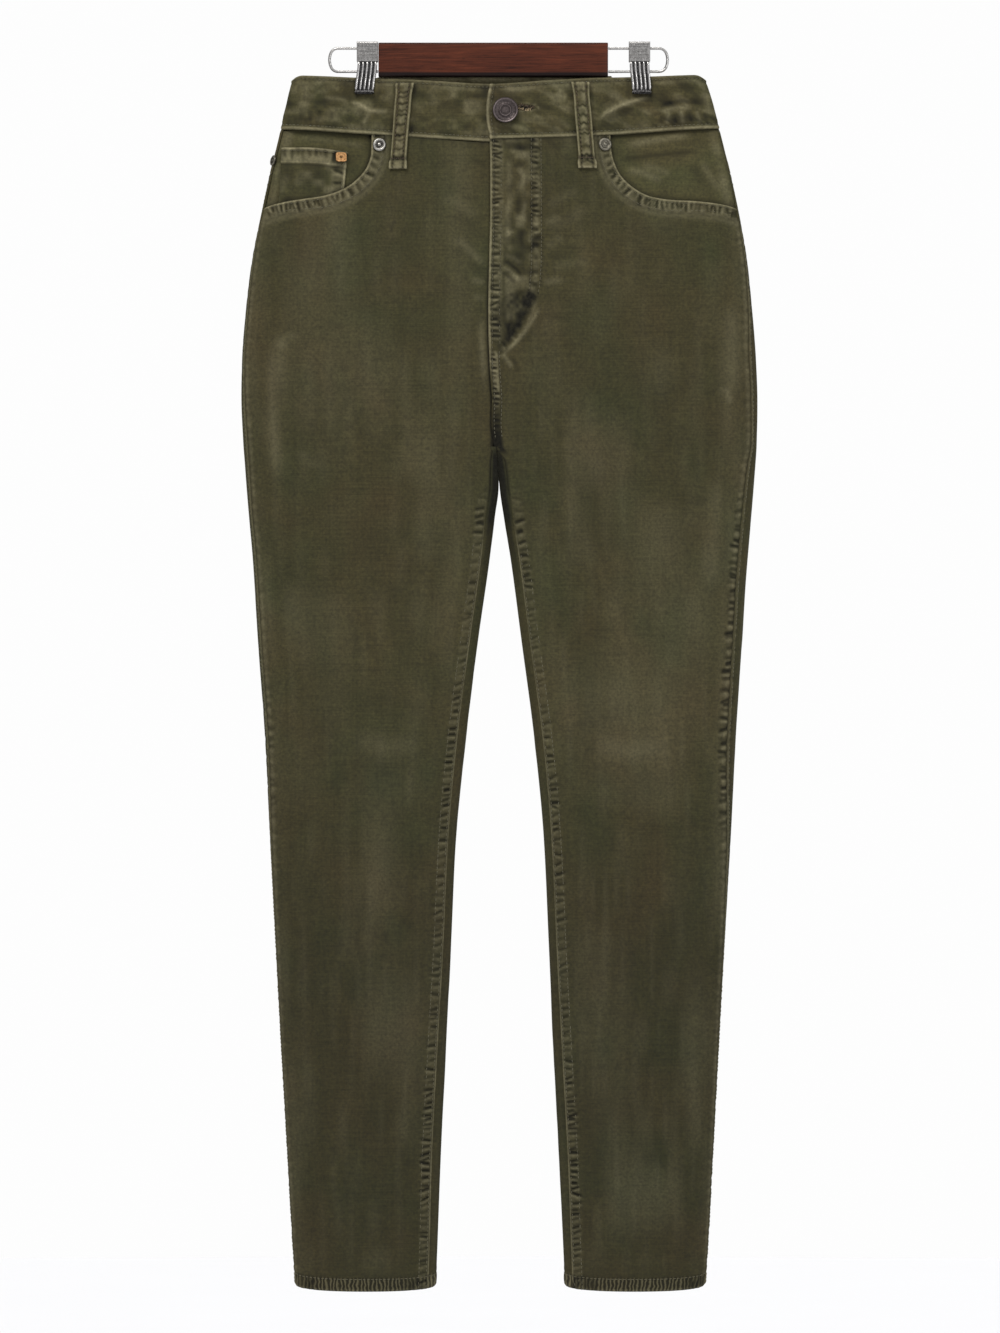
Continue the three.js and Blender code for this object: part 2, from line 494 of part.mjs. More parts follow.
add("belt_loop_back", beltLoop("left", -4, 0, "back"), olive(1.1));
add("back_pocket_right", backPocket("right"), olive(1.03));
add("back_pocket_left", backPocket("left"), olive(1.03));
add("button", disc(domed(BUTTON_DIAMETER, BUTTON_THICKNESS), "left", 5.4, -58.3, BAND_PROUD + GAP, "front", 28), new THREE.MeshStandardMaterial({ color: 0x5a5954, roughness: 0.4, metalness: 0.9 }));
add("rivet_right", disc(domed(RIVET_DIAMETER, RIVET_THICKNESS), "right", -101.5, -87.0, GAP + 0.4), new THREE.MeshStandardMaterial(SILVER));
add("rivet_left", disc(domed(RIVET_DIAMETER, RIVET_THICKNESS), "left", 89.7, -87.0, GAP + 0.4), new THREE.MeshStandardMaterial(SILVER));
add("rivet_coin_inner", disc(domed(9.4, RIVET_THICKNESS), "right", -133.8, -97.3, GAP + 0.1 - COIN_UNDER), new THREE.MeshStandardMaterial({ color: 0xb0763c, roughness: 0.4, metalness: 0.9 }));
add("rivet_coin_outer", disc(domed(9.4, RIVET_THICKNESS), "right", -191.6, -100.1, GAP + 0.1), new THREE.MeshStandardMaterial(SILVER));
add("hanger_bar", block(BAR), new THREE.MeshStandardMaterial({ color: 0x532f23, roughness: 0.45, metalness: 0 }));
add("hanger_wire_right", wire(BAR.left - GAP, WIRE.endRight), new THREE.MeshStandardMaterial(SILVER));
add("hanger_wire_left", wire(BAR.right + GAP, WIRE.endLeft), new THREE.MeshStandardMaterial(SILVER));
add("hanger_clip_right", clip(CLIP_AT.right), new THREE.MeshStandardMaterial(SILVER));
add("hanger_clip_left", clip(CLIP_AT.left), new THREE.MeshStandardMaterial(SILVER));

export default object;
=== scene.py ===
# Corduroy trousers hanging flat from a clip hanger: cloth, seams, stitches, metal and wood.
# Lengths in the tables are millimetres in the row frame; meshes are made in metres.
# Right and left are the wearer's, so "right" is the -X half.
import json
import math
import bpy
import numpy as np
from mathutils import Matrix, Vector


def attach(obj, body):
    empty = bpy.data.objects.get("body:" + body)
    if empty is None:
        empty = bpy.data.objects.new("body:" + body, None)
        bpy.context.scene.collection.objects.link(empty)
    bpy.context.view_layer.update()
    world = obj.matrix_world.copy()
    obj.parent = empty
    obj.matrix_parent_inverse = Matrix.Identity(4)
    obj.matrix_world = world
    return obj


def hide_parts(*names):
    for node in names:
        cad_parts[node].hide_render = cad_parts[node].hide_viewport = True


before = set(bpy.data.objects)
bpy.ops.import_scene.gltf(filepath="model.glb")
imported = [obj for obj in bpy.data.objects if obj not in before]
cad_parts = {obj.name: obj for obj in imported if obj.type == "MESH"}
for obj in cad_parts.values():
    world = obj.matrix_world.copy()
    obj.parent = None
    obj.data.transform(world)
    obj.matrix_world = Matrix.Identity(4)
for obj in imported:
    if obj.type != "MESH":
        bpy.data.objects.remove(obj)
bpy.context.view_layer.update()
MM = 0.001

# ------------------------------------------------------------------ the form, as in the part's source
WALL, HEM_WALL, GAP = 1.6, 2.6, 0.3
SQUARENESS, BAND_PROUD, BAND_WALL, UNDERLAP = 3.5, 0.7, 2.2, 34.0
PATCH_WALL, LOOP_WIDTH, LOOP_LENGTH, LOOP_WALL = 1.2, 15.0, 73.5, 1.8
CLIP_WIDTH, CLIP_AT = 18.0, (-111.8, 119.4)
PINCH_DEPTH, PINCH_REACH, PINCH_FADE = 1.8, 24.0, 125.0
YOKE_CENTRE, YOKE_SIDE, SEAT_DIP = -150.0, -111.0, 21.0
WALL_END, LOOP_END = 1.2, 2.2
FORK = -341.7
NAMES = ["z", "outerR", "innerR", "innerL", "outerL", "sideR", "sideL", "inseam", "front", "back", "keepF", "keepB"]
SECTIONS = [
    [-24, -174.0, -8.4, -8.4, 172.8, 1.8, 1.6, 0.9, 7.6, 8.0, 1.0, 1.0],
    [-40, -177.8, -8.4, -8.4, 178.0, 1.8, 1.4, 0.9, 9.2, 9.4, 1.0, 1.0],
    [-70, -184.6, -8.4, -8.4, 186.6, 1.7, 1.1, 0.9, 12.2, 12.8, 1.0, 1.0],
    [-108, -194.0, -7.8, -7.8, 196.0, 1.4, 0.9, 0.9, 15.6, 16.8, 1.0, 1.0],
    [-142, -201.4, -7.8, -7.8, 203.4, 1.6, 2.0, 0.9, 18.0, 20.0, 1.0, 1.0],
    [-184, -209.8, -8.6, -8.6, 210.9, 2.2, 2.5, 0.9, 20.0, 23.0, 1.0, 1.0],
    [-227, -215.1, -9.4, -9.4, 215.2, 2.6, 3.6, 0.9, 21.6, 25.0, 1.0, 1.0],
    [-269, -218.2, -8.6, -8.6, 218.6, 2.6, 6.4, 0.9, 22.6, 26.2, 0.97, 0.97],
    [-303, -218.9, -6.4, -6.4, 219.8, 3.4, 6.0, 0.9, 23.0, 26.4, 0.91, 0.93],
    [-341.7, -217.2, -2.4, -2.4, 219.0, 4.2, 5.2, 4.6, 22.8, 25.6, 0.76, 0.84],
    [-358, -215.9, -0.8, -0.8, 217.9, 4.0, 7.0, 6.8, 22.5, 25.0, 0.66, 0.74],
    [-375.7, -214.6, -0.1, 0.2, 216.4, 3.8, 7.8, 8.0, 22.2, 24.2, 0.56, 0.62],
    [-405, -212.2, -3.8, 4.3, 213.9, 3.4, 8.4, 7.8, 21.6, 22.8, 0.42, 0.48],
    [-439.5, -209.1, -7.9, 9.9, 211.0, 3.4, 8.5, 7.4, 21.0, 21.8, 0.32, 0.36],
    [-507.5, -204.9, -17.6, 18.9, 206.1, 3.4, 7.8, 7.2, 19.8, 20.4, 0.22, 0.24],
    [-592.5, -198.9, -28.3, 30.0, 200.9, 3.2, 7.4, 7.4, 18.4, 19.0, 0.18, 0.18],
    [-677.5, -194.7, -36.5, 38.0, 196.8, 1.8, 3.4, 6.8, 17.2, 17.8, 0.16, 0.16],
    [-762.5, -190.1, -40.4, 42.0, 192.0, 1.2, 1.6, 6.8, 16.2, 16.8, 0.16, 0.16],
    [-847.5, -185.5, -44.6, 45.8, 187.2, 1.0, 1.2, 7.4, 15.2, 15.8, 0.16, 0.16],
    [-946, -179.9, -49.3, 50.8, 181.9, 1.0, 1.0, 7.8, 14.0, 14.6, 0.16, 0.16],
    [-1031, -174.9, -52.5, 54.8, 177.2, 1.0, 1.0, 7.0, 13.0, 13.4, 0.16, 0.16],
    [-1062, -172.4, -53.8, 56.2, 174.2, 1.0, 1.0, 7.0, 12.6, 13.0, 0.16, 0.16],
]
BAND_TOP_FRONT = [[-173, -28.0], [-98.6, -30.6], [-54, -33.0], [-8.5, -35.4], [40, -32.6], [92.6, -29.9], [173, -27.6]]
BAND_TOP_BACK = [[-173, -28.0], [-112, -29.4], [-106, -29.0], [-101, -27.2], [-94, -26.2], [-88, -25.9], [-60, -25.4], [60, -25.4], [92, -26.0], [101, -28.8], [119, -29.2], [173, -27.6]]
BAND_BOTTOM = {
    "right": [[-187, -73.2], [-97.8, -78.5], [-54, -82.0], [-8.5, -85.0]],
    "left": [[-8.5, -82.6], [64.6, -80.4], [136, -75.4], [189, -72.6]],
    "back": [[-187, -73.2], [0, -73.8], [189, -72.6]],
}
MOUTH = {
    "right": [[-74, -108.2], [-93.5, -108.6], [-104.6, -111.6], [-117.3, -121.6], [-125.0, -132.8], [-130.9, -149.6], [-133.2, -165.0], [-135.2, -178.6], [-137.4, -190.0], [-140.6, -200.6]],
    "left": [[-74, 94.6], [-90.1, 95.4], [-108.8, 100.8], [-124.1, 114.8], [-131.3, 129.2], [-134.3, 148.0], [-135.2, 166.0], [-136.6, 181.0], [-138.4, 192.6], [-141.1, 203.2]],
}
HEM_TOP, HEM_BOTTOM = -1048.6, -1055.0
BACK_POCKET = {"width": 122, "foot": 108, "top": -176, "depth": 128, "point": 14, "centre": 94, "wall": 1.4}
BAR = {"left": -102.4, "right": 92.6, "top": 0.0, "bottom": -28.9, "thickness": 12.0}
WIRE = {"top": -4.6, "bottom": -24.3, "endRight": -144.1, "endLeft": 143.3, "corner": 7.5}
CLIP = {"top": 1.6, "shoulder": -16, "grip": -28, "bottom": -44.2, "half": 6.2, "jaw": 4.2, "bite": 2.85, "metal": 1.3, "lip": 2.2}


def px(x, y):
    """A place of the front, from its place in a 1000 by 1333 picture, in millimetres (x, z)."""
    return (x - 499) * 0.85, -(y - 43) * 0.85


def smooth(t):
    c = np.clip(t, 0, 1)
    return c * c * (3 - 2 * c)


def bell(d, width):
    return np.exp(-((d / width) ** 2))


def lerp(a, b, t):
    return a + (b - a) * t


def through(table, at, a=0, b=1):
    rows = np.array([[r[a], r[b]] for r in table], float)
    if rows[0, 0] > rows[-1, 0]:
        rows = rows[::-1]
    x, y = rows[:, 0], rows[:, 1]
    slope = np.diff(y) / np.diff(x)
    tangent = np.empty(len(x))
    tangent[0], tangent[-1] = slope[0], slope[-1]
    both, total = slope[:-1] * slope[1:], slope[:-1] + slope[1:]
    tangent[1:-1] = np.where(both > 0, 2 * both / np.where(np.abs(total) < 1e-12, 1, total), 0)
    at = np.clip(np.asarray(at, float), x[0], x[-1])
    k = np.clip(np.searchsorted(x, at, side="right") - 1, 0, len(x) - 2)
    h = x[k + 1] - x[k]
    t = (at - x[k]) / h
    t2, t3 = t * t, t * t * t
    return (2 * t3 - 3 * t2 + 1) * y[k] + (t3 - 2 * t2 + t) * h * tangent[k] + (3 * t2 - 2 * t3) * y[k + 1] + (t3 - t2) * h * tangent[k + 1]


FINE_Z = np.linspace(-1064, -20, 4177)
FINE = {n: through(SECTIONS, FINE_Z, 0, k) for k, n in enumerate(NAMES)}


def section(name, z):
    return np.interp(z, FINE_Z, FINE[name])


SIDES = {"right": ("outerR", "innerR", "sideR", -1), "left": ("outerL", "innerL", "sideL", 1)}


def pinch(x, depth, z, over_front):
    fade = smooth(1 + (z + 44) / PINCH_FADE)
    held = 0
    reach = np.where(over_front, PINCH_REACH, lerp(PINCH_REACH, 9.0, smooth((z + 60) / 25)))
    for at in CLIP_AT:
        off = np.maximum(0, np.abs(x - at) - CLIP_WIDTH / 2)
        held = np.maximum(held, np.exp(-((off / reach) ** 2)))
    return lerp(depth, np.minimum(depth, PINCH_DEPTH), held * fade)


def on_loop(half, s, z):
    s, z = np.broadcast_arrays(np.asarray(s, float), np.asarray(z, float))
    outer, inner, _, toward = SIDES[half]
    xo, xi = section(outer, z), section(inner, z)
    edge = xi + toward * 0.15
    front, back, keep_f, keep_b = (section(n, z) for n in ("front", "back", "keepF", "keepB"))
    s = np.where(s < 0, s + LOOP_END, s)
    over_front = (s <= 1) | (s >= LOOP_END)
    along = np.where(s >= LOOP_END, s - LOOP_END, np.where(s <= 1, s, LOOP_END - s))
    along = np.clip(along, 0, 1)
    t = (1 - np.cos(np.pi * along)) / 2
    rounded = np.sqrt(np.maximum(0, 1 - np.abs(1 - 2 * t) ** SQUARENESS))
    x = xo + (edge - xo) * t
    keep = np.where(over_front, keep_f, keep_b)
    share = np.where(t < 0.5, rounded, keep + (1 - keep) * rounded)
    d = pinch(x, np.where(over_front, front, back) * share, z, over_front)
    y = np.where(over_front, -d, d)
    wall = (s > 1) & (s < WALL_END)
    k = (s - 1) / (WALL_END - 1)
    x = np.where(wall, edge, x)
    y = np.where(wall, lerp(-front * keep_f, back * keep_b, k), y)
    return np.stack([x, y, z], -1)


def normal(half, s, z):
    e = 0.004
    a = on_loop(half, s + e, z) - on_loop(half, s - e, z)
    b = on_loop(half, s, z + 1.5) - on_loop(half, s, z - 1.5)
    n = np.cross(a, b)
    n /= np.maximum(1e-9, np.linalg.norm(n, axis=-1, keepdims=True))
    return -n if half == "left" else n


def at_share(t):
    return np.arccos(np.clip(1 - 2 * t, -1, 1)) / np.pi


def s_of_x(half, x, z, face="front"):
    outer, inner = SIDES[half][:2]
    xo, xi = section(outer, z), section(inner, z)
    s = at_share(np.clip((x - xo) / (xi - xo), 0, 1))
    return s if face == "front" else LOOP_END - s


def seam_share(half, wrap, z):
    outer, inner = SIDES[half][:2]
    return at_share(wrap / np.abs(section(inner, z) - section(outer, z)))


def side_seam(half, z):
    return seam_share(half, section(SIDES[half][2], z), z)


def inseam(half, z):
    return 1 - seam_share(half, section("inseam", z), z)


def band_bottom(half, x):
    return through(BAND_BOTTOM[half], x)


def hem_round(s, z):
    return z - np.where((s > 0) & (s < 1), 5.4 * np.sin(np.pi * np.clip(s, 0, 1)) ** 0.8, 0) * smooth((-1010 - z) / 42)


# ------------------------------------------------------------------ unevenness, the same on every run
def noise1(t, seed, step):
    table = np.random.RandomState(seed).uniform(-1, 1, 4096)
    t = np.asarray(t, float) / step + 1000.0
    k = np.floor(t).astype(int)
    f = t - k
    f = f * f * (3 - 2 * f)
    return lerp(table[k % 4096], table[(k + 1) % 4096], f)


def noise2(x, y, seed, sx, sy):
    table = np.random.RandomState(seed).uniform(-1, 1, (256, 256))
    x, y = np.asarray(x, float) / sx + 500.0, np.asarray(y, float) / sy + 500.0
    i, j = np.floor(x).astype(int), np.floor(y).astype(int)
    f, g = x - i, y - j
    f, g = f * f * (3 - 2 * f), g * g * (3 - 2 * g)
    at = lambda a, b: table[a % 256, b % 256]
    return lerp(lerp(at(i, j), at(i + 1, j), f), lerp(at(i, j + 1), at(i + 1, j + 1), f), g)


class Puckers:
    """Short troughs across a seam. a runs along the seam, d away from it."""

    def __init__(self, start, end, spacing, seed, near=1.8, far=11.0, lean=0.0, strength=None, uneven=0.38, wide=1.0):
        rs = np.random.RandomState(seed)
        at, places = start, []
        gap = spacing if callable(spacing) else (lambda a: spacing)
        while at < end:
            step = gap(at)
            at += step * (1 + uneven * rs.uniform(-1, 1))
            places.append((at, step))
        n = len(places)
        self.a = np.array([p[0] for p in places])
        gaps = np.array([p[1] for p in places])
        self.w = gaps * rs.uniform(0.2, 0.34, n) * wide
        self.deep = rs.uniform(0.35, 1.15, n) * (1 if strength is None else np.array([strength(a) for a in self.a]))
        self.near = near + rs.uniform(-0.5, 0.7, n)
        self.far = far * rs.uniform(0.68, 1.08, n)
        self.lean = lean + rs.normal(0, 0.17, n)
        self.bow = rs.uniform(-1.0, 1.0, n)
        self.mid = (near + far) / 2

    def __call__(self, a, d):
        a, d = np.asarray(a, float), np.asarray(d, float)
        found = np.zeros(np.broadcast(a, d).shape)
        near = np.searchsorted(self.a, a)
        for off in (-2, -1, 0, 1):
            k = np.clip(near + off, 0, len(self.a) - 1)
            across = a - self.a[k] - self.lean[k] * (d - (self.near[k] + self.far[k]) / 2)
            across = across - 0.16 * self.w[k] * self.bow[k] * (d - self.mid) ** 2 / max(1.0, self.mid)
            inside = smooth((d - self.near[k] + 1.0) / 1.8) * smooth((self.far[k] - d) / (0.45 * (self.far[k] - self.near[k])))
            found = np.maximum(found, self.deep[k] * np.exp(-((across / self.w[k]) ** 2)) * inside)
        return found

    def lit(self, a, d, off=1.0):
        """Painted highlight on the shoulder beside each trough."""
        return np.clip(self(np.asarray(a, float) - off * float(self.w.mean()) * 1.9, d) - self(a, d), 0, 1)


def stroke(x, z, points, width, taper=0.25, blunt=False):
    """0 to 1 along a soft line through points (millimetres), fading to its ends."""
    pts = np.array(points, float)
    lengths = np.linalg.norm(np.diff(pts, axis=0), axis=1)
    total, done, best, where = lengths.sum(), 0.0, np.full(np.shape(x), 1e9), np.zeros(np.shape(x))
    for k in range(len(pts) - 1):
        a, b = pts[k], pts[k + 1]
        t = np.clip(((x - a[0]) * (b[0] - a[0]) + (z - a[1]) * (b[1] - a[1])) / lengths[k] ** 2, 0, 1)
        d = np.hypot(x - a[0] - t * (b[0] - a[0]), z - a[1] - t * (b[1] - a[1]))
        closer = d < best
        best = np.where(closer, d, best)
        where = np.where(closer, (done + t * lengths[k]) / total, where)
        done += lengths[k]
    fade = smooth(where / taper) * (1 if blunt else smooth((1 - where) / taper))
    return np.exp(-((best / width) ** 2)) * fade


def patch(x, z, corners, soft):
    """1 inside an outline of points, falling to 0 over a soft border outside and inside it."""
    pts = np.array(corners, float)
    inside, d = np.zeros(np.shape(x), bool), np.full(np.shape(x), 1e9)
    for k in range(len(pts)):
        a, b = pts[k], pts[(k + 1) % len(pts)]
        t = np.clip(((x - a[0]) * (b[0] - a[0]) + (z - a[1]) * (b[1] - a[1])) / max(1e-9, ((b - a) ** 2).sum()), 0, 1)
        d = np.minimum(d, np.hypot(x - a[0] - t * (b[0] - a[0]), z - a[1] - t * (b[1] - a[1])))
        crosses = ((a[1] > z) != (b[1] > z)) & (x < (b[0] - a[0]) * (z - a[1]) / (b[1] - a[1] + 1e-12) + a[0])
        inside ^= crosses
    return smooth(0.5 + np.where(inside, d, -d) / (2 * soft))


def arclength(points):
    """Distance along each row of a (rows, columns, 3) grid."""
    steps = np.linalg.norm(np.diff(points, axis=1), axis=-1)
    return np.concatenate([np.zeros((len(points), 1)), np.cumsum(steps, 1)], 1)


def spread(edges):
    """Column places from (end, spacing) pairs: how far to go, and how far apart."""
    out, at = [0.0], 0.0
    for end, gap in edges:
        n = max(1, round((end - at) / gap))
        out += [at + (end - at) * (k + 1) / n for k in range(n)]
        at = end
    return np.array(out)


# ------------------------------------------------------------------ meshes
class Shape:
    """Closed cloth between a fine outer grid and a coarse inner one."""

    def __init__(self):
        self.verts, self.quads, self.tris, self.uv_quads, self.uv_tris = [], [], [], [], []
        self.attrs, self.count = {}, 0

    def add_points(self, pts, attrs):
        first = self.count
        self.verts.append(pts.reshape(-1, 3))
        n = len(self.verts[-1])
        self.count += n
        for name in ("wear_and_highlight", "dark", "across", "tone", "hem"):
            self.attrs.setdefault(name, []).append(np.broadcast_to(attrs.get(name, 0.0), (n,)).astype(np.float32) if np.ndim(attrs.get(name, 0.0)) == 0 else np.asarray(attrs[name], np.float32).ravel())
        return first + np.arange(n)


def slab(outer, inner, kr, kc, attrs, mask=None):
    R, C = outer.shape[:2]
    Rc, Cc = inner.shape[:2]
    assert (R - 1) == kr * (Rc - 1) and (C - 1) == kc * (Cc - 1), (R, C, Rc, Cc, kr, kc)
    mask = np.ones((Rc - 1, Cc - 1), bool) if mask is None else mask
    fine = np.kron(mask, np.ones((kr, kc), bool)).astype(bool)
    shape = Shape()

    def used(cells):
        u = np.zeros((cells.shape[0] + 1, cells.shape[1] + 1), bool)
        for di in (0, 1):
            for dj in (0, 1):
                u[di:u.shape[0] - 1 + di, dj:u.shape[1] - 1 + dj] |= cells
        return u

    keep_o, keep_i = used(fine), used(mask)
    oi = np.full((R, C), -1)
    oi[keep_o] = shape.add_points(outer[keep_o], {k: v[keep_o] for k, v in attrs.items()})
    ii = np.full((Rc, Cc), -1)
    coarse = {k: v[::kr, ::kc][keep_i] for k, v in attrs.items()}
    ii[keep_i] = shape.add_points(inner[keep_i], coarse)
    # columns spread by their length, so that a texel is about as wide everywhere
    lengths = np.linalg.norm(np.diff(outer, axis=1), axis=-1).mean(0)
    u = np.concatenate([[0], np.cumsum(lengths)])
    u /= u[-1]
    heights = np.linalg.norm(np.diff(outer, axis=0), axis=-1).mean(1)
    v = np.concatenate([[0], np.cumsum(heights)])
    v /= v[-1]
    uo = np.stack(np.meshgrid(0.01 + 0.68 * u, 0.01 + 0.98 * (1 - v), indexing="xy"), -1)
    ui = np.stack(np.meshgrid(0.72 + 0.18 * u[::kc], 0.01 + 0.98 * (1 - v[::kr]), indexing="xy"), -1)

    def grid_quads(index, uv, cells, flip):
        i, j = np.nonzero(cells)
        order = [(0, 0), (1, 0), (1, 1), (0, 1)]
        if flip:
            order = order[::-1]
        shape.quads.append(np.stack([index[i + a, j + b] for a, b in order], 1))
        shape.uv_quads.append(np.stack([uv[i + a, j + b] for a, b in order], 1))

    grid_quads(oi, uo, fine, False)
    grid_quads(ii, ui, mask, True)
    tris, uvs = [], []
    edge_at = [0]

    def has(i, j):
        return 0 <= i < Rc - 1 and 0 <= j < Cc - 1 and mask[i, j]

    rims = []
    for i, j in zip(*np.nonzero(mask)):
        if not has(i - 1, j):
            rims.append(("fan", [oi[i * kr, j * kc + q] for q in range(kc + 1)], ii[i, j], ii[i, j + 1], False))
        if not has(i + 1, j):
            rims.append(("fan", [oi[(i + 1) * kr, j * kc + q] for q in range(kc, -1, -1)], ii[i + 1, j + 1], ii[i + 1, j], False))
        if not has(i, j - 1):
            rims.append(("fan", [oi[i * kr + q, j * kc] for q in range(kr, -1, -1)], ii[i + 1, j], ii[i, j], False))
        if not has(i, j + 1):
            rims.append(("fan", [oi[i * kr + q, (j + 1) * kc] for q in range(kr + 1)], ii[i, j + 1], ii[i + 1, j + 1], False))
    n = max(1, len(rims))
    per = max(1, math.ceil(n / 4))
    for k, (_, fan, a, b, _) in enumerate(rims):
        lane, place = divmod(k, per)
        x0, x1 = 0.915 + 0.02 * lane, 0.93 + 0.02 * lane
        y0, y1 = 0.01 + 0.98 * place / per, 0.01 + 0.98 * (place + 0.92) / per
        m = len(fan) - 1
        pt = lambda q: (x0, lerp(y0, y1, q / m))
        for q in range(m):
            tris.append((a, fan[q], fan[q + 1]))
            uvs.append(((x1, y0), pt(q), pt(q + 1)))
        tris.append((a, fan[m], b))
        uvs.append(((x1, y0), pt(m), (x1, y1)))
    shape.tris.append(np.array(tris).reshape(-1, 3))
    shape.uv_tris.append(np.array(uvs, float).reshape(-1, 3, 2))
    return shape


def build(name, shape, material):
    verts = np.concatenate(shape.verts)
    quads = np.concatenate(shape.quads) if shape.quads else np.zeros((0, 4), int)
    tris = np.concatenate(shape.tris) if shape.tris else np.zeros((0, 3), int)
    uq = np.concatenate(shape.uv_quads) if shape.uv_quads else np.zeros((0, 4, 2))
    ut = np.concatenate(shape.uv_tris) if shape.uv_tris else np.zeros((0, 3, 2))
    corner = lambda idx: verts[idx]
    volume = 0.0
    if len(quads):
        a, b, c, d = (corner(quads[:, k]) for k in range(4))
        volume += np.einsum("ij,ij->i", a, np.cross(b, c)).sum() + np.einsum("ij,ij->i", a, np.cross(c, d)).sum()
    if len(tris):
        a, b, c = (corner(tris[:, k]) for k in range(3))
        volume += np.einsum("ij,ij->i", a, np.cross(b, c)).sum()
    if volume < 0:
        quads, tris, uq, ut = quads[:, ::-1], tris[:, ::-1], uq[:, ::-1], ut[:, ::-1]
    me = bpy.data.meshes.new(name)
    me.vertices.add(len(verts))
    me.vertices.foreach_set("co", (verts * MM).astype(np.float32).ravel())
    nq, nt = len(quads), len(tris)
    me.loops.add(4 * nq + 3 * nt)
    me.loops.foreach_set("vertex_index", np.concatenate([quads.ravel(), tris.ravel()]).astype(np.int32))
    me.polygons.add(nq + nt)
    me.polygons.foreach_set("loop_start", np.concatenate([np.arange(nq) * 4, 4 * nq + np.arange(nt) * 3]).astype(np.int32))
    me.polygons.foreach_set("use_smooth", np.ones(nq + nt, bool))
    me.update(calc_edges=True)
    layer = me.uv_layers.new(name="OFBake")
    layer.uv.foreach_set("vector", np.concatenate([uq.reshape(-1), ut.reshape(-1)]).astype(np.float32))
    for key, parts in shape.attrs.items():
        a = me.attributes.new(key, "FLOAT", "POINT")
        a.data.foreach_set("value", np.concatenate(parts))
    if me.validate():
        print("mesh repaired:", name)
    ob = bpy.data.objects.new(name, me)
    bpy.context.scene.collection.objects.link(ob)
    me.materials.append(material)
    TRIANGLES[name] = 2 * nq + nt
    return ob


TRIANGLES = {}


def cloth(name, half, s, z, height, thick, kr, kc, attrs, material, mask=None, out=0.0):
    """A cloth piece over a grid (s, z) of a half, its outer face raised by height, its inner face thick under the plain surface."""
    base = on_loop(half, s, z) if isinstance(half, str) else np.where(half[..., None] == 0, on_loop("right", s, z), on_loop("left", s, z))
    n = normal(half, s, z) if isinstance(half, str) else np.where(half[..., None] == 0, normal("right", s, z), normal("left", s, z))
    outer = base + n * (out + height)[..., None]
    low = np.minimum(height, 0)[::kr, ::kc]
    inner = (base + n * (out - np.broadcast_to(thick, height.shape))[..., None])[::kr, ::kc] + n[::kr, ::kc] * low[..., None] * 0.6
    GRIDS[name] = (outer, n)
    return build(name, slab(outer, inner, kr, kc, attrs, mask), material)


GRIDS = {}

# ------------------------------------------------------------------ materials
def srgb(r, g, b):
    lin = lambda v: v / 12.92 if v <= 0.04045 else ((v + 0.055) / 1.055) ** 2.4
    return (lin(r / 255), lin(g / 255), lin(b / 255), 1.0)


class Nodes:
    def __init__(self, name):
        self.mat = bpy.data.materials.new(name)
        self.mat.use_nodes = True
        self.t = self.mat.node_tree
        self.t.nodes.clear()
        self.out = self.t.nodes.new("ShaderNodeOutputMaterial")
        self.bsdf = self.t.nodes.new("ShaderNodeBsdfPrincipled")
        self.t.links.new(self.bsdf.outputs[0], self.out.inputs["Surface"])

    def put(self, socket, value):
        if isinstance(value, bpy.types.NodeSocket):
            self.t.links.new(value, socket)
        elif value is not None:
            socket.default_value = value

    def node(self, kind, **sets):
        n = self.t.nodes.new(kind)
        for k, v in sets.items():
            setattr(n, k, v)
        return n

    def attr(self, name):
        return self.node("ShaderNodeAttribute", attribute_type="GEOMETRY", attribute_name=name).outputs["Fac"]

    def place(self, scale=(1, 1, 1)):
        c = self.node("ShaderNodeTexCoord").outputs["Object"]
        m = self.node("ShaderNodeMapping")
        self.put(m.inputs["Vector"], c)
        m.inputs["Scale"].default_value = scale
        return m.outputs[0]

    def noise(self, vector, scale, detail=2.0, rough=0.5, distortion=0.0):
        n = self.node("ShaderNodeTexNoise")
        self.put(n.inputs["Vector"], vector)
        for k, v in (("Scale", scale), ("Detail", detail), ("Roughness", rough), ("Distortion", distortion)):
            n.inputs[k].default_value = v
        return n.outputs["Fac"]

    def math(self, op, a, b=None, c=None, clamp=False):
        n = self.node("ShaderNodeMath", operation=op, use_clamp=clamp)
        for k, v in enumerate((a, b, c)):
            if v is not None:
                self.put(n.inputs[k], v)
        return n.outputs[0]

    def remap(self, v, a, b, c, d, kind="LINEAR"):
        n = self.node("ShaderNodeMapRange", interpolation_type=kind, clamp=True)
        self.put(n.inputs[0], v)
        for k, x in enumerate((a, b, c, d)):
            n.inputs[k + 1].default_value = x
        return n.outputs[0]

    def mix(self, fac, a, b, blend="MIX"):
        n = self.node("ShaderNodeMix", data_type="RGBA", blend_type=blend, clamp_factor=True)
        self.put(n.inputs[0], fac)
        self.put(n.inputs[6], a)
        self.put(n.inputs[7], b)
        return n.outputs[2]

    def grey(self, v):
        n = self.node("ShaderNodeCombineColor")
        for k in range(3):
            self.put(n.inputs[k], v)
        return n.outputs[0]

    def bump(self, height, strength, distance, before=None):
        n = self.node("ShaderNodeBump")
        n.inputs["Strength"].default_value = strength
        n.inputs["Distance"].default_value = distance
        self.put(n.inputs["Height"], height)
        if before is not None:
            self.put(n.inputs["Normal"], before)
        return n.outputs[0]

    def set(self, **values):
        for k, v in values.items():
            self.put(self.bsdf.inputs[k.replace("_", " ")], v)


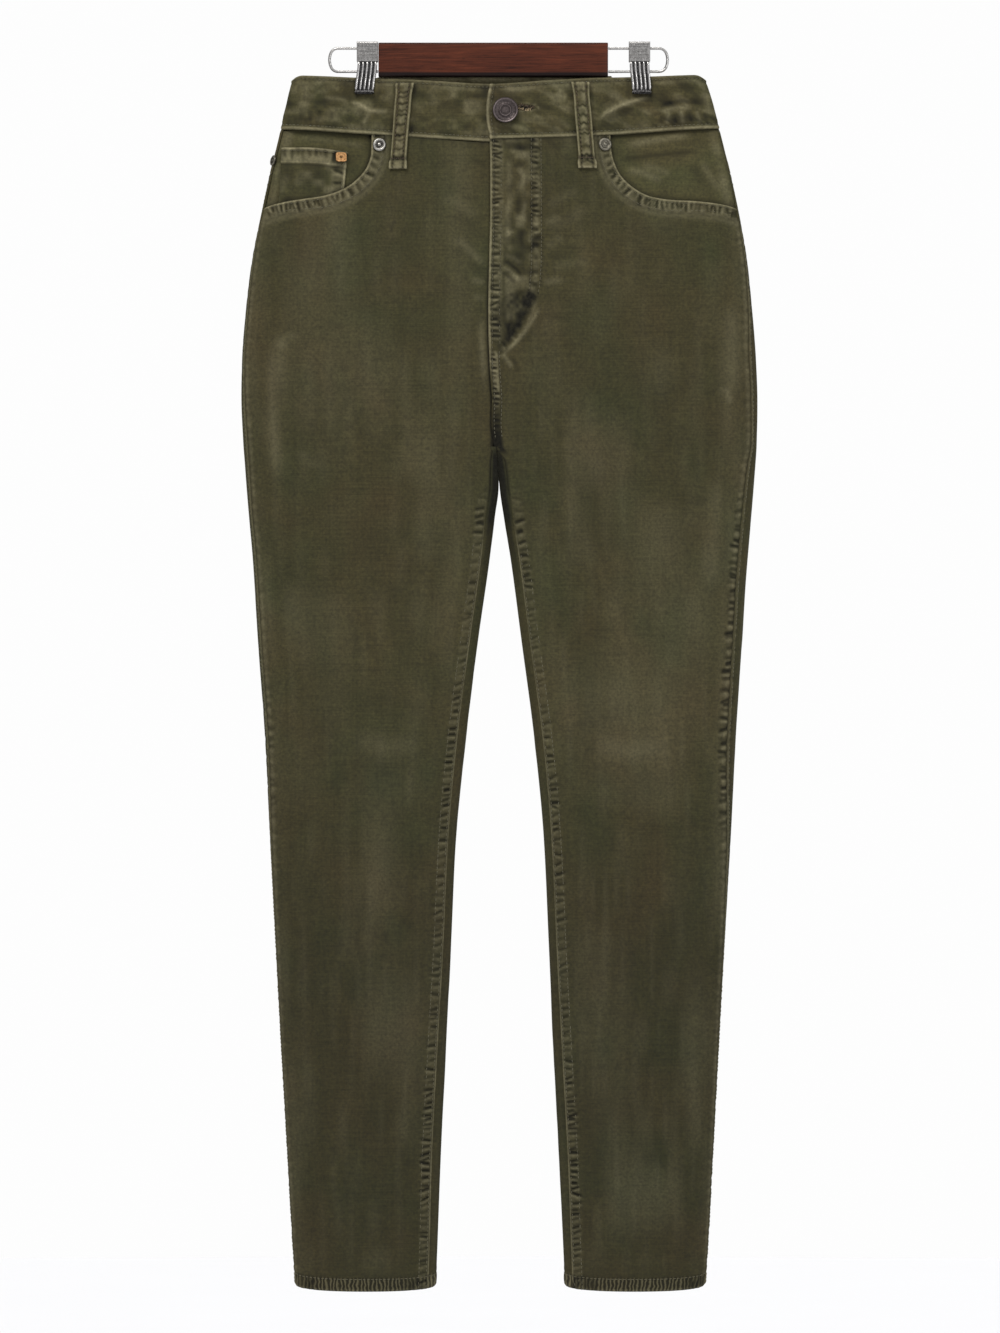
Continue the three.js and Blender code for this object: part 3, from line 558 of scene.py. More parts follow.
def cord_cloth(name, lift=1.0, green=0.0):
    """Needlecord: piled olive cloth, patchy, lightened by wear and by painted highlights, darkened by painted shade,
    its wales about a millimetre apart.
    """
    m = Nodes(name)
    wear_and_highlight, dark, tone, across = (m.attr(k) for k in ("wear_and_highlight", "dark", "tone", "across"))
    here = m.place()
    patch = m.noise(here, 13, 3.0, 0.55, 0.6)
    blotch = m.noise(here, 46, 3.0, 0.6, 0.4)
    grain = m.noise(here, 420, 2.0, 0.6)
    streak = m.noise(m.place((520, 520, 26)), 1.0, 3.0, 0.6)
    long_streak = m.noise(m.place((120, 120, 7)), 1.0, 2.0, 0.55)
    brown = m.math("ADD", m.math("MULTIPLY_ADD", tone, 0.30, 0.5 - green), m.math("MULTIPLY_ADD", patch, 1.0, -0.48), clamp=True)
    base = m.mix(brown, srgb(*GREEN), srgb(*BROWN))
    z = m.node("ShaderNodeSeparateXYZ")
    m.put(z.inputs[0], here)
    # painted light from above: the cloth lighter near the top and darker down the lower legs
    fall = m.remap(z.outputs[2], -0.54, -0.82, 1.0, 0.71, "SMOOTHSTEP")
    top = m.remap(z.outputs[2], -0.30, -0.10, 1.0, 1.10, "SMOOTHSTEP")
    light = m.math("MULTIPLY", m.math("MULTIPLY", fall, top), lift)
    weave = m.noise(m.place((26, 520, 900)), 1.0, 3.0, 0.6)
    for v, amount in ((blotch, 0.42), (grain, 1.3), (streak, 0.34), (long_streak, 0.2), (weave, 0.7)):
        light = m.math("MULTIPLY", light, m.math("MULTIPLY_ADD", v, amount, 1 - amount / 2))
    base = m.mix(1.0, base, m.grey(light), "MULTIPLY")
    # the hem's ropes: a bump, with painted highlights on their crests and painted shade in their troughs
    hem = m.attr("hem")
    rope = m.math("SINE", m.math("ADD", m.math("MULTIPLY", across, 2 * math.pi / 3.3), m.math("MULTIPLY", m.noise(here, 150, 2.0, 0.5), 10.0)))
    # wear_and_highlight: edges and seams lightened by real wear, with painted highlights on ridges and beside puckers
    worn_and_lit = m.math("MULTIPLY", wear_and_highlight, m.math("MULTIPLY_ADD", grain, 1.3, 0.22), clamp=True)
    worn_and_lit = m.math("ADD", worn_and_lit, m.math("MULTIPLY", hem, m.remap(rope, -0.95, -0.1, 0.24, 0.0)), clamp=True)
    base = m.mix(worn_and_lit, base, srgb(*WORN_AND_LIT))
    # dark: painted shade in pucker troughs, along seams and stitch lines, in hollows and the crotch, and under and
    # beside other parts, with some random mottling
    shade = m.math("MULTIPLY", dark, m.math("MULTIPLY_ADD", grain, 0.6, 0.66), clamp=True)
    shade = m.math("ADD", shade, m.math("MULTIPLY", hem, m.remap(rope, -0.1, 0.8, 0.0, 0.62)), clamp=True)
    base = m.mix(shade, base, srgb(*DEEP))
    wale = m.math("SINE", m.math("MULTIPLY", across, 2 * math.pi / 1.15))
    wale = m.math("MULTIPLY", wale, m.math("MULTIPLY_ADD", streak, 0.8, 0.1))
    height = m.math("ADD", m.math("MULTIPLY", wale, 0.16), m.math("ADD", m.math("MULTIPLY", grain, 0.55), m.math("MULTIPLY", streak, 0.35)))
    height = m.math("ADD", height, m.math("MULTIPLY", hem, m.math("MULTIPLY", rope, -0.5)))
    m.put(m.bsdf.inputs["Normal"], m.bump(height, 0.55, 0.0005))
    m.set(Base_Color=base, Roughness=m.remap(m.math("ADD", grain, m.math("MULTIPLY", wear_and_highlight, -0.2)), 0.2, 0.8, 0.78, 0.96))
    m.bsdf.inputs["Specular IOR Level"].default_value = 0.2
    m.bsdf.inputs["Sheen Weight"].default_value = 0.08
    m.bsdf.inputs["Sheen Roughness"].default_value = 0.45
    m.bsdf.inputs["Sheen Tint"].default_value = srgb(150, 146, 104)
    return m.mat


def metal(name, colour, other, rough=(0.25, 0.45), grime_and_shade=(60, 55, 45), scale=900):
    m = Nodes(name)
    # grime_and_shade: real grime in hollows, and painted shade in corners, on undersides and where the metal meets the
    # cloth
    hollow = m.attr("grime_and_shade")
    here = m.place()
    scratch = m.noise(m.place((900, 900, 120)), 1.0, 4.0, 0.65, 0.3)
    patch = m.noise(here, scale, 3.0, 0.6)
    base = m.mix(m.remap(patch, 0.35, 0.7, 0.0, 1.0), srgb(*colour), srgb(*other))
    base = m.mix(m.remap(scratch, 0.62, 0.8, 0.0, 0.5), base, srgb(*grime_and_shade))
    base = m.mix(m.math("MULTIPLY", hollow, m.math("MULTIPLY_ADD", patch, 0.5, 0.72), clamp=True), base, srgb(*[v * 0.45 for v in grime_and_shade]))
    m.set(Base_Color=base, Roughness=m.remap(scratch, 0.3, 0.75, rough[0], rough[1]))
    m.bsdf.inputs["Metallic"].default_value = 1.0
    m.put(m.bsdf.inputs["Normal"], m.bump(scratch, 0.25, 0.0002))
    return m.mat


def timber(name):
    m = Nodes(name)
    here = m.place()
    bend = m.noise(m.place((14, 60, 60)), 1.0, 3.0, 0.5)
    grain = m.noise(m.place((30, 700, 900)), 1.0, 5.0, 0.65, 0.8)
    pores = m.noise(m.place((160, 2600, 2600)), 1.0, 2.0, 0.6)
    base = m.mix(m.remap(m.math("ADD", m.math("MULTIPLY", grain, 0.75), m.math("MULTIPLY", bend, 0.4)), 0.40, 0.70, 0.0, 1.0), srgb(38, 15, 8), srgb(86, 41, 24))
    base = m.mix(m.remap(pores, 0.62, 0.72, 0.0, 0.75), base, srgb(30, 12, 8))
    z = m.node("ShaderNodeSeparateXYZ")
    m.put(z.inputs[0], here)
    # painted shade along the bar's underside; the top edge is also darker
    edge = m.remap(z.outputs[2], -0.0262, -0.0244, 0.92, 0.0, "SMOOTHSTEP")
    rim = m.remap(z.outputs[2], -0.0022, -0.0008, 0.0, 0.5, "SMOOTHSTEP")
    base = m.mix(edge, base, srgb(9, 7, 8))
    base = m.mix(rim, base, srgb(24, 12, 10))
    m.set(Base_Color=base, Roughness=m.remap(grain, 0.3, 0.7, 0.42, 0.6))
    m.bsdf.inputs["Specular IOR Level"].default_value = 0.14
    m.put(m.bsdf.inputs["Normal"], m.bump(m.math("ADD", grain, m.math("MULTIPLY", pores, -0.6)), 0.3, 0.0003))
    return m.mat


def thread(name, a, b):
    m = Nodes(name)
    here = m.place()
    twist = m.noise(m.place((2600, 2600, 2600)), 1.0, 2.0, 0.5)
    patch = m.noise(here, 90, 2.0, 0.5)
    m.set(Base_Color=m.mix(m.math("ADD", m.math("MULTIPLY", twist, 0.6), m.math("MULTIPLY", patch, 0.5), clamp=True), srgb(*a), srgb(*b)), Roughness=m.remap(twist, 0.3, 0.7, 0.6, 0.85))
    m.bsdf.inputs["Sheen Weight"].default_value = 0.2
    m.put(m.bsdf.inputs["Normal"], m.bump(twist, 0.4, 0.0002))
    return m.mat


GREEN, BROWN, WORN_AND_LIT, DEEP = (46.5, 48, 28), (56.5, 49.5, 30), (136, 129, 101), (15, 14, 8)
# The same cloth in copies made lighter by lift for the band, back, facings and loops.
CLOTH = cord_cloth("needlecord")
BAND_CLOTH = cord_cloth("needlecord_band", 1.17)
BACK_CLOTH = cord_cloth("needlecord_back", 1.02)
FACING_CLOTH = cord_cloth("needlecord_facing", 1.30, -0.06)
LOOP_CLOTH = cord_cloth("needlecord_loops", 1.28)
THREAD = thread("thread_olive", (60, 57, 38), (88, 83, 57))
LIGHT_THREAD = thread("thread_pale", (142, 118, 84), (176, 156, 120))
DARK_THREAD = thread("thread_dark", (26, 21, 14), (96, 76, 48))
GUNMETAL = metal("gunmetal_button", (108, 99, 98), (80, 72, 72), (0.34, 0.55), (40, 36, 32))
NICKEL = metal("nickel_rivet", (176, 174, 168), (120, 117, 111), (0.28, 0.48), (60, 54, 46))
DULL = metal("dull_rivet", (132, 128, 116), (86, 82, 73), (0.38, 0.58), (50, 46, 38))
COPPER = metal("copper_rivet", (196, 152, 104), (150, 106, 68), (0.35, 0.55), (70, 44, 24))
CHROME = metal("hanger_chrome", (196, 194, 192), (150, 148, 146), (0.2, 0.42), (56, 54, 58))
WOOD = timber("mahogany")

# ------------------------------------------------------------------ threads: short stitches along a line of points
class Threads:
    def __init__(self, name, material):
        self.name, self.material, self.v, self.f, self.n = name, material, [], [], 0

    def bar(self, a, b, up, radius, sides=5):
        """One stitch from a to b, pulled down at its ends."""
        a, b, up = np.array(a), np.array(b), np.array(up)
        along = b - a
        length = np.linalg.norm(along)
        if length < 1e-6:
            return
        along /= length
        side = np.cross(along, up)
        side /= max(1e-9, np.linalg.norm(side))
        up = np.cross(side, along)
        rings = []
        for t, r, lift in ((0.0, 0.35, -0.35), (0.18, 0.9, 0.05), (0.5, 1.0, 0.25), (0.82, 0.9, 0.05), (1.0, 0.35, -0.35)):
            c = a + along * length * t + up * radius * lift
            rings.append([c + (side * math.cos(q) + up * math.sin(q)) * radius * r for q in (2 * math.pi * k / sides for k in range(sides))])
        base = self.n
        for ring in rings:
            self.v += ring
        for i in range(len(rings) - 1):
            for k in range(sides):
                p, q = base + i * sides + k, base + i * sides + (k + 1) % sides
                self.f.append((p, q, q + sides, p + sides))
        self.f.append(tuple(base + k for k in range(sides))[::-1])
        self.f.append(tuple(base + (len(rings) - 1) * sides + k for k in range(sides)))
        self.n += len(rings) * sides

    def line(self, points, normals, length=2.7, gap=0.9, radius=0.3, lift=0.12, seed=1, keep=1.0):
        pts, nor = np.array(points), np.array(normals)
        steps = np.linalg.norm(np.diff(pts, axis=0), axis=1)
        at = np.concatenate([[0], np.cumsum(steps)])
        rs = np.random.RandomState(seed)
        t = rs.uniform(0, gap)
        read = lambda q: np.array([np.interp(q, at, pts[:, k]) for k in range(3)])
        read_n = lambda q: np.array([np.interp(q, at, nor[:, k]) for k in range(3)])
        while t + length < at[-1]:
            own = length * rs.uniform(0.88, 1.1)
            if rs.uniform() < keep:
                n = read_n(t + own / 2)
                up = n / np.linalg.norm(n)
                self.bar(read(t) + up * lift, read(t + own) + up * lift, up, radius * rs.uniform(0.85, 1.1))
            t += own + gap * rs.uniform(0.8, 1.25)

    def make(self):
        me = bpy.data.meshes.new(self.name)
        me.from_pydata([tuple(np.asarray(p) * MM) for p in self.v], [], self.f)
        me.polygons.foreach_set("use_smooth", np.ones(len(me.polygons), bool))
        me.update()
        ob = bpy.data.objects.new(self.name, me)
        bpy.context.scene.collection.objects.link(ob)
        me.materials.append(self.material)
        TRIANGLES[self.name] = sum(len(f) - 2 for f in self.f)
        return ob


def iso(outer, normals, field, value, axis=1, keep=None):
    """Points and normals where a field has a value, one for each row (axis 1) or each column (axis 0) that has it."""
    if axis == 0:
        outer, normals, field = outer.swapaxes(0, 1), normals.swapaxes(0, 1), field.T
        keep = None if keep is None else keep.T
    f = field - value
    pts, nor = [], []
    for i in range(f.shape[0]):
        cross = (f[i, :-1] <= 0) != (f[i, 1:] <= 0)
        if keep is not None:
            cross &= keep[i, :-1] & keep[i, 1:]
        k = np.nonzero(cross)[0]
        if not len(k):
            continue
        k = k[0]
        t = f[i, k] / (f[i, k] - f[i, k + 1])
        pts.append(lerp(outer[i, k], outer[i, k + 1], t))
        nor.append(lerp(normals[i, k], normals[i, k + 1], t))
    return np.array(pts).reshape(-1, 3), np.array(nor).reshape(-1, 3)


def lay(outer, normals, xs, zs):
    """Points and normals of a cloth's front over places (x, z)."""
    flat, nor = outer.reshape(-1, 3), normals.reshape(-1, 3)
    close = (flat[:, 0] > xs.min() - 4) & (flat[:, 0] < xs.max() + 4) & (flat[:, 2] > zs.min() - 4) & (flat[:, 2] < zs.max() + 4)
    flat, nor = flat[close], nor[close]
    pts, out = [], []
    for x, z in zip(xs, zs):
        d = np.hypot(flat[:, 0] - x, flat[:, 2] - z)
        k = np.argpartition(d, 4)[:4]
        w = 1 / (d[k] + 0.05)
        w /= w.sum()
        pts.append((x, float((flat[k, 1] * w).sum()), z))
        out.append((nor[k] * w[:, None]).sum(0))
    return np.array(pts), np.array(out)


def line_at(outer, normals, along, where):
    """Points and normals of a grid at the same distance along every row."""
    pts, nor = [], []
    for i in range(len(outer)):
        d = where[i] if np.ndim(where) else where
        pts.append([np.interp(d, along[i], outer[i, :, k]) for k in range(3)])
        nor.append([np.interp(d, along[i], normals[i, :, k]) for k in range(3)])
    return np.array(pts), np.array(nor)

# ------------------------------------------------------------------ fronts
def on_front(half, x, z):
    """The front surface over a place (x, z). Past the inner edge it goes straight on."""
    x, z = np.broadcast_arrays(np.asarray(x, float), np.asarray(z, float))
    outer, inner, _, toward = SIDES[half]
    xi = section(inner, z) + toward * 0.15
    past = np.where(toward * (xi - x) > 0, x - xi, 0.0)
    inside = np.where(past != 0, xi, x)
    s = np.where(past != 0, 1.0, s_of_x(half, inside, z))
    p = on_loop(half, np.minimum(s, 1.0), z)
    p[..., 0] = x
    return p


def front_normal(half, x, z):
    a = on_front(half, x + 0.35, z) - on_front(half, x - 0.35, z)
    b = on_front(half, x, z + 1.2) - on_front(half, x, z - 1.2)
    n = np.cross(a, b)
    n /= np.maximum(1e-9, np.linalg.norm(n, axis=-1, keepdims=True))
    return np.where(n[..., 1:2] > 0, -n, n)


def mouth_curve(half):
    """The pocket's mouth from the waistband to the side seam: points (x, z) about 0.5 mm apart."""
    pts = np.array([[x, z] for z, x in MOUTH[half]], float)
    chord = np.concatenate([[0], np.cumsum(np.linalg.norm(np.diff(pts, axis=0), axis=1))])
    t = np.linspace(0, chord[-1], 700)
    x = through(np.stack([chord, pts[:, 0]], 1), t)
    z = through(np.stack([chord, pts[:, 1]], 1), t)
    sign = SIDES[half][3]
    keep = (z < band_bottom(half, x) - GAP) & (sign * x < sign * section(SIDES[half][0], z) - section(SIDES[half][2], z) - GAP)
    x, z = x[keep], z[keep]
    a = np.concatenate([[0], np.cumsum(np.hypot(np.diff(x), np.diff(z)))])
    even = np.arange(0, a[-1], 0.5)
    return np.interp(even, a, x), np.interp(even, a, z)


def nearest(cx, cz, x, z, reach=22.0):
    """Distance and arclength along a curve of points, for places near it."""
    shape = np.shape(x)
    xf, zf = np.ravel(x), np.ravel(z)
    close = (xf > cx.min() - reach) & (xf < cx.max() + reach) & (zf > cz.min() - reach) & (zf < cz.max() + reach)
    d, a = np.full(xf.shape, 1e3), np.zeros(xf.shape)
    at = np.concatenate([[0], np.cumsum(np.hypot(np.diff(cx), np.diff(cz)))])
    idx = np.nonzero(close)[0]
    for part in np.array_split(idx, max(1, len(idx) // 4000)):
        if not len(part):
            continue
        dist = np.hypot(xf[part, None] - cx[None], zf[part, None] - cz[None])
        k = dist.argmin(1)
        d[part], a[part] = dist[np.arange(len(part)), k], at[k]
    return d.reshape(shape), a.reshape(shape)


ROW = 1.25
SEAM_OVER = {"right": 2.4, "left": 0.0}  # how far each front goes on past the middle, under the fly's edge


def front_grid(half):
    sign = SIDES[half][3]
    cx, cz = mouth_curve(half)
    a = np.concatenate([[0], np.cumsum(np.hypot(np.diff(cx), np.diff(cz)))])
    n_mouth = 5 * math.ceil(a[-1] / (5 * ROW))
    at = np.linspace(0, a[-1], n_mouth)
    sx, sz = np.interp(at, a, cx), np.interp(at, a, cz)
    tx, tz = np.gradient(sx), np.gradient(sz)
    size = np.hypot(tx, tz)
    tx, tz = tx / size, tz / size
    nx, nz = -sign * -tz, -sign * tx
    tilt = np.arctan2(-nz, -sign * nx)
    m = np.linspace(0, 1, n_mouth)
    end_tilt = math.radians(40)
    tilt = np.minimum(tilt, lerp(math.radians(84), end_tilt, smooth((m - 0.5) / 0.5)))
    ez = lerp(float(band_bottom(half, -8.5)) - GAP, -166.0, m)
    # rows that start at the side seam
    first, last = sz[-1] - ROW, HEM_BOTTOM
    n_rest = 5 * math.ceil((first - last) / (5 * ROW)) + 1
    rz = np.linspace(first, last, n_rest)
    rtilt = end_tilt * (1 - smooth((first - rz) / 120))
    rez = rz - (sz[-1] - -166.0 - 0) * (1 - smooth((first - rz) / 150))
    outer, inner, side = SIDES[half][:3]
    rx = section(outer, rz) - sign * (section(side, rz) - 1.0)
    SX, SZ = np.concatenate([sx, rx]), np.concatenate([sz, rz])
    tilt = np.concatenate([tilt, rtilt])
    EZ = np.concatenate([ez, rez])
    wrap = np.where(EZ > FORK, 0.0, section("inseam", EZ))
    fork = smooth((FORK - EZ) / 14)
    shift = 3.0 * smooth((-300 - EZ) / 30) * (1 - fork)
    EX = section(inner, EZ) - shift + sign * (0.15 + wrap * fork) - sign * SEAM_OVER[half] * (1 - smooth((-336 - EZ) / 8)) - sign * 1.1 * fork
    L = np.hypot(EX - SX, EZ - SZ)
    near = spread([(14, 1.1), (24, 2.4)])
    far = spread([(43, 1.2), (50, 2.4)]) if half == "left" else spread([(15, 1.15), (26, 2.6)])
    mid = 6 * math.ceil((len(near) + len(far) - 1 + 19) / 6) - (len(near) + len(far) - 1) + 1
    u = np.linspace(0, 1, mid + 1)[1:-1]
    W = np.concatenate([near[None] / L[:, None], (near[-1] + (L[:, None] - far[-1] - near[-1]) * u[None]) / L[:, None], 1 - far[::-1][None] / L[:, None]], 1)
    h00, h10 = 2 * W**3 - 3 * W**2 + 1, W**3 - 2 * W**2 + W
    h01, h11 = -2 * W**3 + 3 * W**2, W**3 - W**2
    T0x, T0z = -sign * np.cos(tilt) * L, -np.sin(tilt) * L
    T1x = -sign * L
    X = h00 * SX[:, None] + h10 * T0x[:, None] + h01 * EX[:, None] + h11 * T1x[:, None]
    Z = h00 * SZ[:, None] + h10 * T0z[:, None] + h01 * EZ[:, None]
    return X, Z, n_mouth


J_LINE = [px(536, 139), px(536.5, 200), px(536.5, 255), px(535, 283), px(530, 305), px(521, 326), px(511, 341), px(500, 352)]
# Sunk foot of the fly, between the double line and the edge, painted dark as shade.
FLY_FOOT = [px(494, 312), px(500, 302), px(510, 295), px(524, 291), px(537, 291), px(535, 302), px(524, 322), px(511, 341), px(500, 350), px(494, 344)]


def curve_of(points, step=0.5):
    pts = np.array(points, float)
    chord = np.concatenate([[0], np.cumsum(np.linalg.norm(np.diff(pts, axis=0), axis=1))])
    t = np.arange(0, chord[-1], step)
    return through(np.stack([chord, pts[:, 0]], 1), t), through(np.stack([chord, pts[:, 1]], 1), t)


def hem_bottom(half, x, z):
    return hem_round(s_of_x(half, x, np.full(np.shape(x), -1055.0)), np.full(np.shape(x), HEM_BOTTOM))


INSEAM_STEP = lambda a: 7.4 if a < 470 else (6.4 if a < 820 else 5.3)
# Soft creases of the front: points as picture places, width and height in millimetres, then lightening (wear and
# painted highlight) and painted shade.
FRONT_STROKES = [
    ([(542, 304), (534, 319), (524, 335), (512, 347), (499, 353)], 1.7, 1.0, 0.26, 0.0),
    ([(548, 308), (540, 322), (530, 336), (518, 347)], 3.4, -0.6, 0.0, 0.16),
    ([(502, 354), (507, 361), (513, 370)], 1.9, 0.5, 0.24, 0.0),
    ([(510, 356), (515, 365), (520, 376)], 2.2, -0.7, 0.0, 0.34),
    ([(499, 262), (508, 264), (517, 271), (524, 281)], 1.5, -0.7, 0.0, 0.55),
    ([(500, 268), (508, 271), (515, 277), (520, 284)], 1.8, 0.5, 0.24, 0.0),
    ([(499, 273), (506, 276), (512, 281), (516, 287)], 1.5, -0.7, 0.0, 0.5),
    ([(503, 256), (513, 259), (523, 266)], 1.9, 0.4, 0.18, 0.0),
    ([(507, 200), (508, 225), (507, 250)], 2.6, 0.5, 0.2, 0.0),
    ([(508, 158), (509, 178), (507, 196)], 2.6, 0.4, 0.16, 0.0),
    ([(520, 190), (518, 206), (519, 222)], 2.4, -0.6, 0.0, 0.3),
    ([(524, 228), (521, 240), (524, 252)], 2.2, -0.6, 0.0, 0.3),
    ([(517, 166), (524, 178), (521, 190)], 2.4, 0.4, 0.22, 0.0),
    ([(526, 200), (523, 214), (526, 226)], 1.8, 0.4, 0.24, 0.0),
    ([(500, 147), (512, 147), (524, 149), (536, 146)], 3.0, -0.5, 0.0, 0.50),
    ([(508, 152), (520, 153), (531, 156)], 2.2, 0.4, 0.22, 0.0),
    ([(546, 144), (556, 148), (566, 145)], 3.0, -0.4, 0.0, 0.22),
    ([(468, 158), (480, 164), (489, 169)], 3.0, -0.5, 0.0, 0.26),
    ([(560, 216), (552, 222), (543, 226)], 3.2, 0.4, 0.13, 0.0),
    ([(541, 283), (552, 283), (566, 279)], 3.0, 0.45, 0.15, 0.0),
    ([(548, 262), (561, 257), (578, 248)], 3.4, -0.7, 0.0, 0.24),
    ([(545, 319), (556, 318), (566, 322)], 3.0, -0.6, 0.0, 0.3),
    ([(545, 250), (553, 244), (563, 236)], 3.4, 0.4, 0.1, 0.0),
    ([(487, 268), (476, 258), (462, 244), (452, 236)], 3.4, 0.5, 0.13, 0.0),
    ([(486, 276), (478, 271), (470, 262)], 3.0, -0.5, 0.0, 0.2),
    ([(486, 283), (479, 283), (471, 281)], 2.6, 0.4, 0.14, 0.0),
    ([(486, 300), (478, 299), (472, 298)], 2.8, 0.3, 0.09, 0.0),
    ([(482, 312), (481, 335), (483, 358), (487, 385)], 3.6, 0.4, 0.08, 0.0),
    ([(575, 215), (560, 225), (545, 232)], 3.0, -0.5, 0.0, 0.18),
    ([(452, 212), (468, 226), (486, 238)], 3.6, -0.5, 0.0, 0.14),
    ([(545, 210), (560, 200), (580, 190)], 4.0, 0.4, 0.08, 0.0),
    ([(440, 196), (460, 206), (480, 220)], 5.0, 0.5, 0.07, 0.0),
    ([(546, 232), (566, 222), (590, 206)], 4.4, 0.5, 0.08, 0.0),
    ([(549, 270), (566, 266), (590, 262)], 4.0, 0.4, 0.07, 0.0),
    ([(598, 178), (606, 186), (612, 196)], 3.0, -0.5, 0.0, 0.16),
    ([(294, 332), (286, 340), (279, 352)], 3.5, 0.5, 0.14, 0.0),
    ([(305, 450), (309, 460), (312, 472)], 3.5, 0.45, 0.12, 0.0),
    ([(279, 330), (275, 380), (274, 430), (279, 490)], 6.0, 0.5, 0.16, 0.0),
    ([(724, 386), (727, 395), (730, 406)], 3.0, 0.5, 0.16, 0.0),
    ([(728, 300), (731, 350), (731, 400)], 8.0, 0.6, 0.10, 0.0),
    ([(716, 470), (713, 540), (712, 600)], 9.0, 0.5, 0.10, 0.0),
    ([(360, 700), (395, 712), (430, 706)], 9.0, -0.8, 0.0, 0.08),
    ([(350, 735), (385, 748), (425, 742)], 9.0, 0.7, 0.08, 0.0),
    ([(330, 772), (362, 780), (400, 772)], 9.0, -0.6, 0.0, 0.06),
    ([(570, 706), (605, 715), (640, 705)], 9.0, -0.8, 0.0, 0.08),
    ([(590, 742), (630, 752), (670, 744)], 9.0, 0.8, 0.10, 0.0),
    ([(600, 782), (640, 790), (680, 780)], 9.0, -0.6, 0.0, 0.06),
    ([(440, 470), (430, 520), (424, 575)], 10.0, 0.7, 0.06, 0.0),
    ([(566, 470), (576, 520), (582, 580)], 10.0, 0.7, 0.06, 0.0),
]


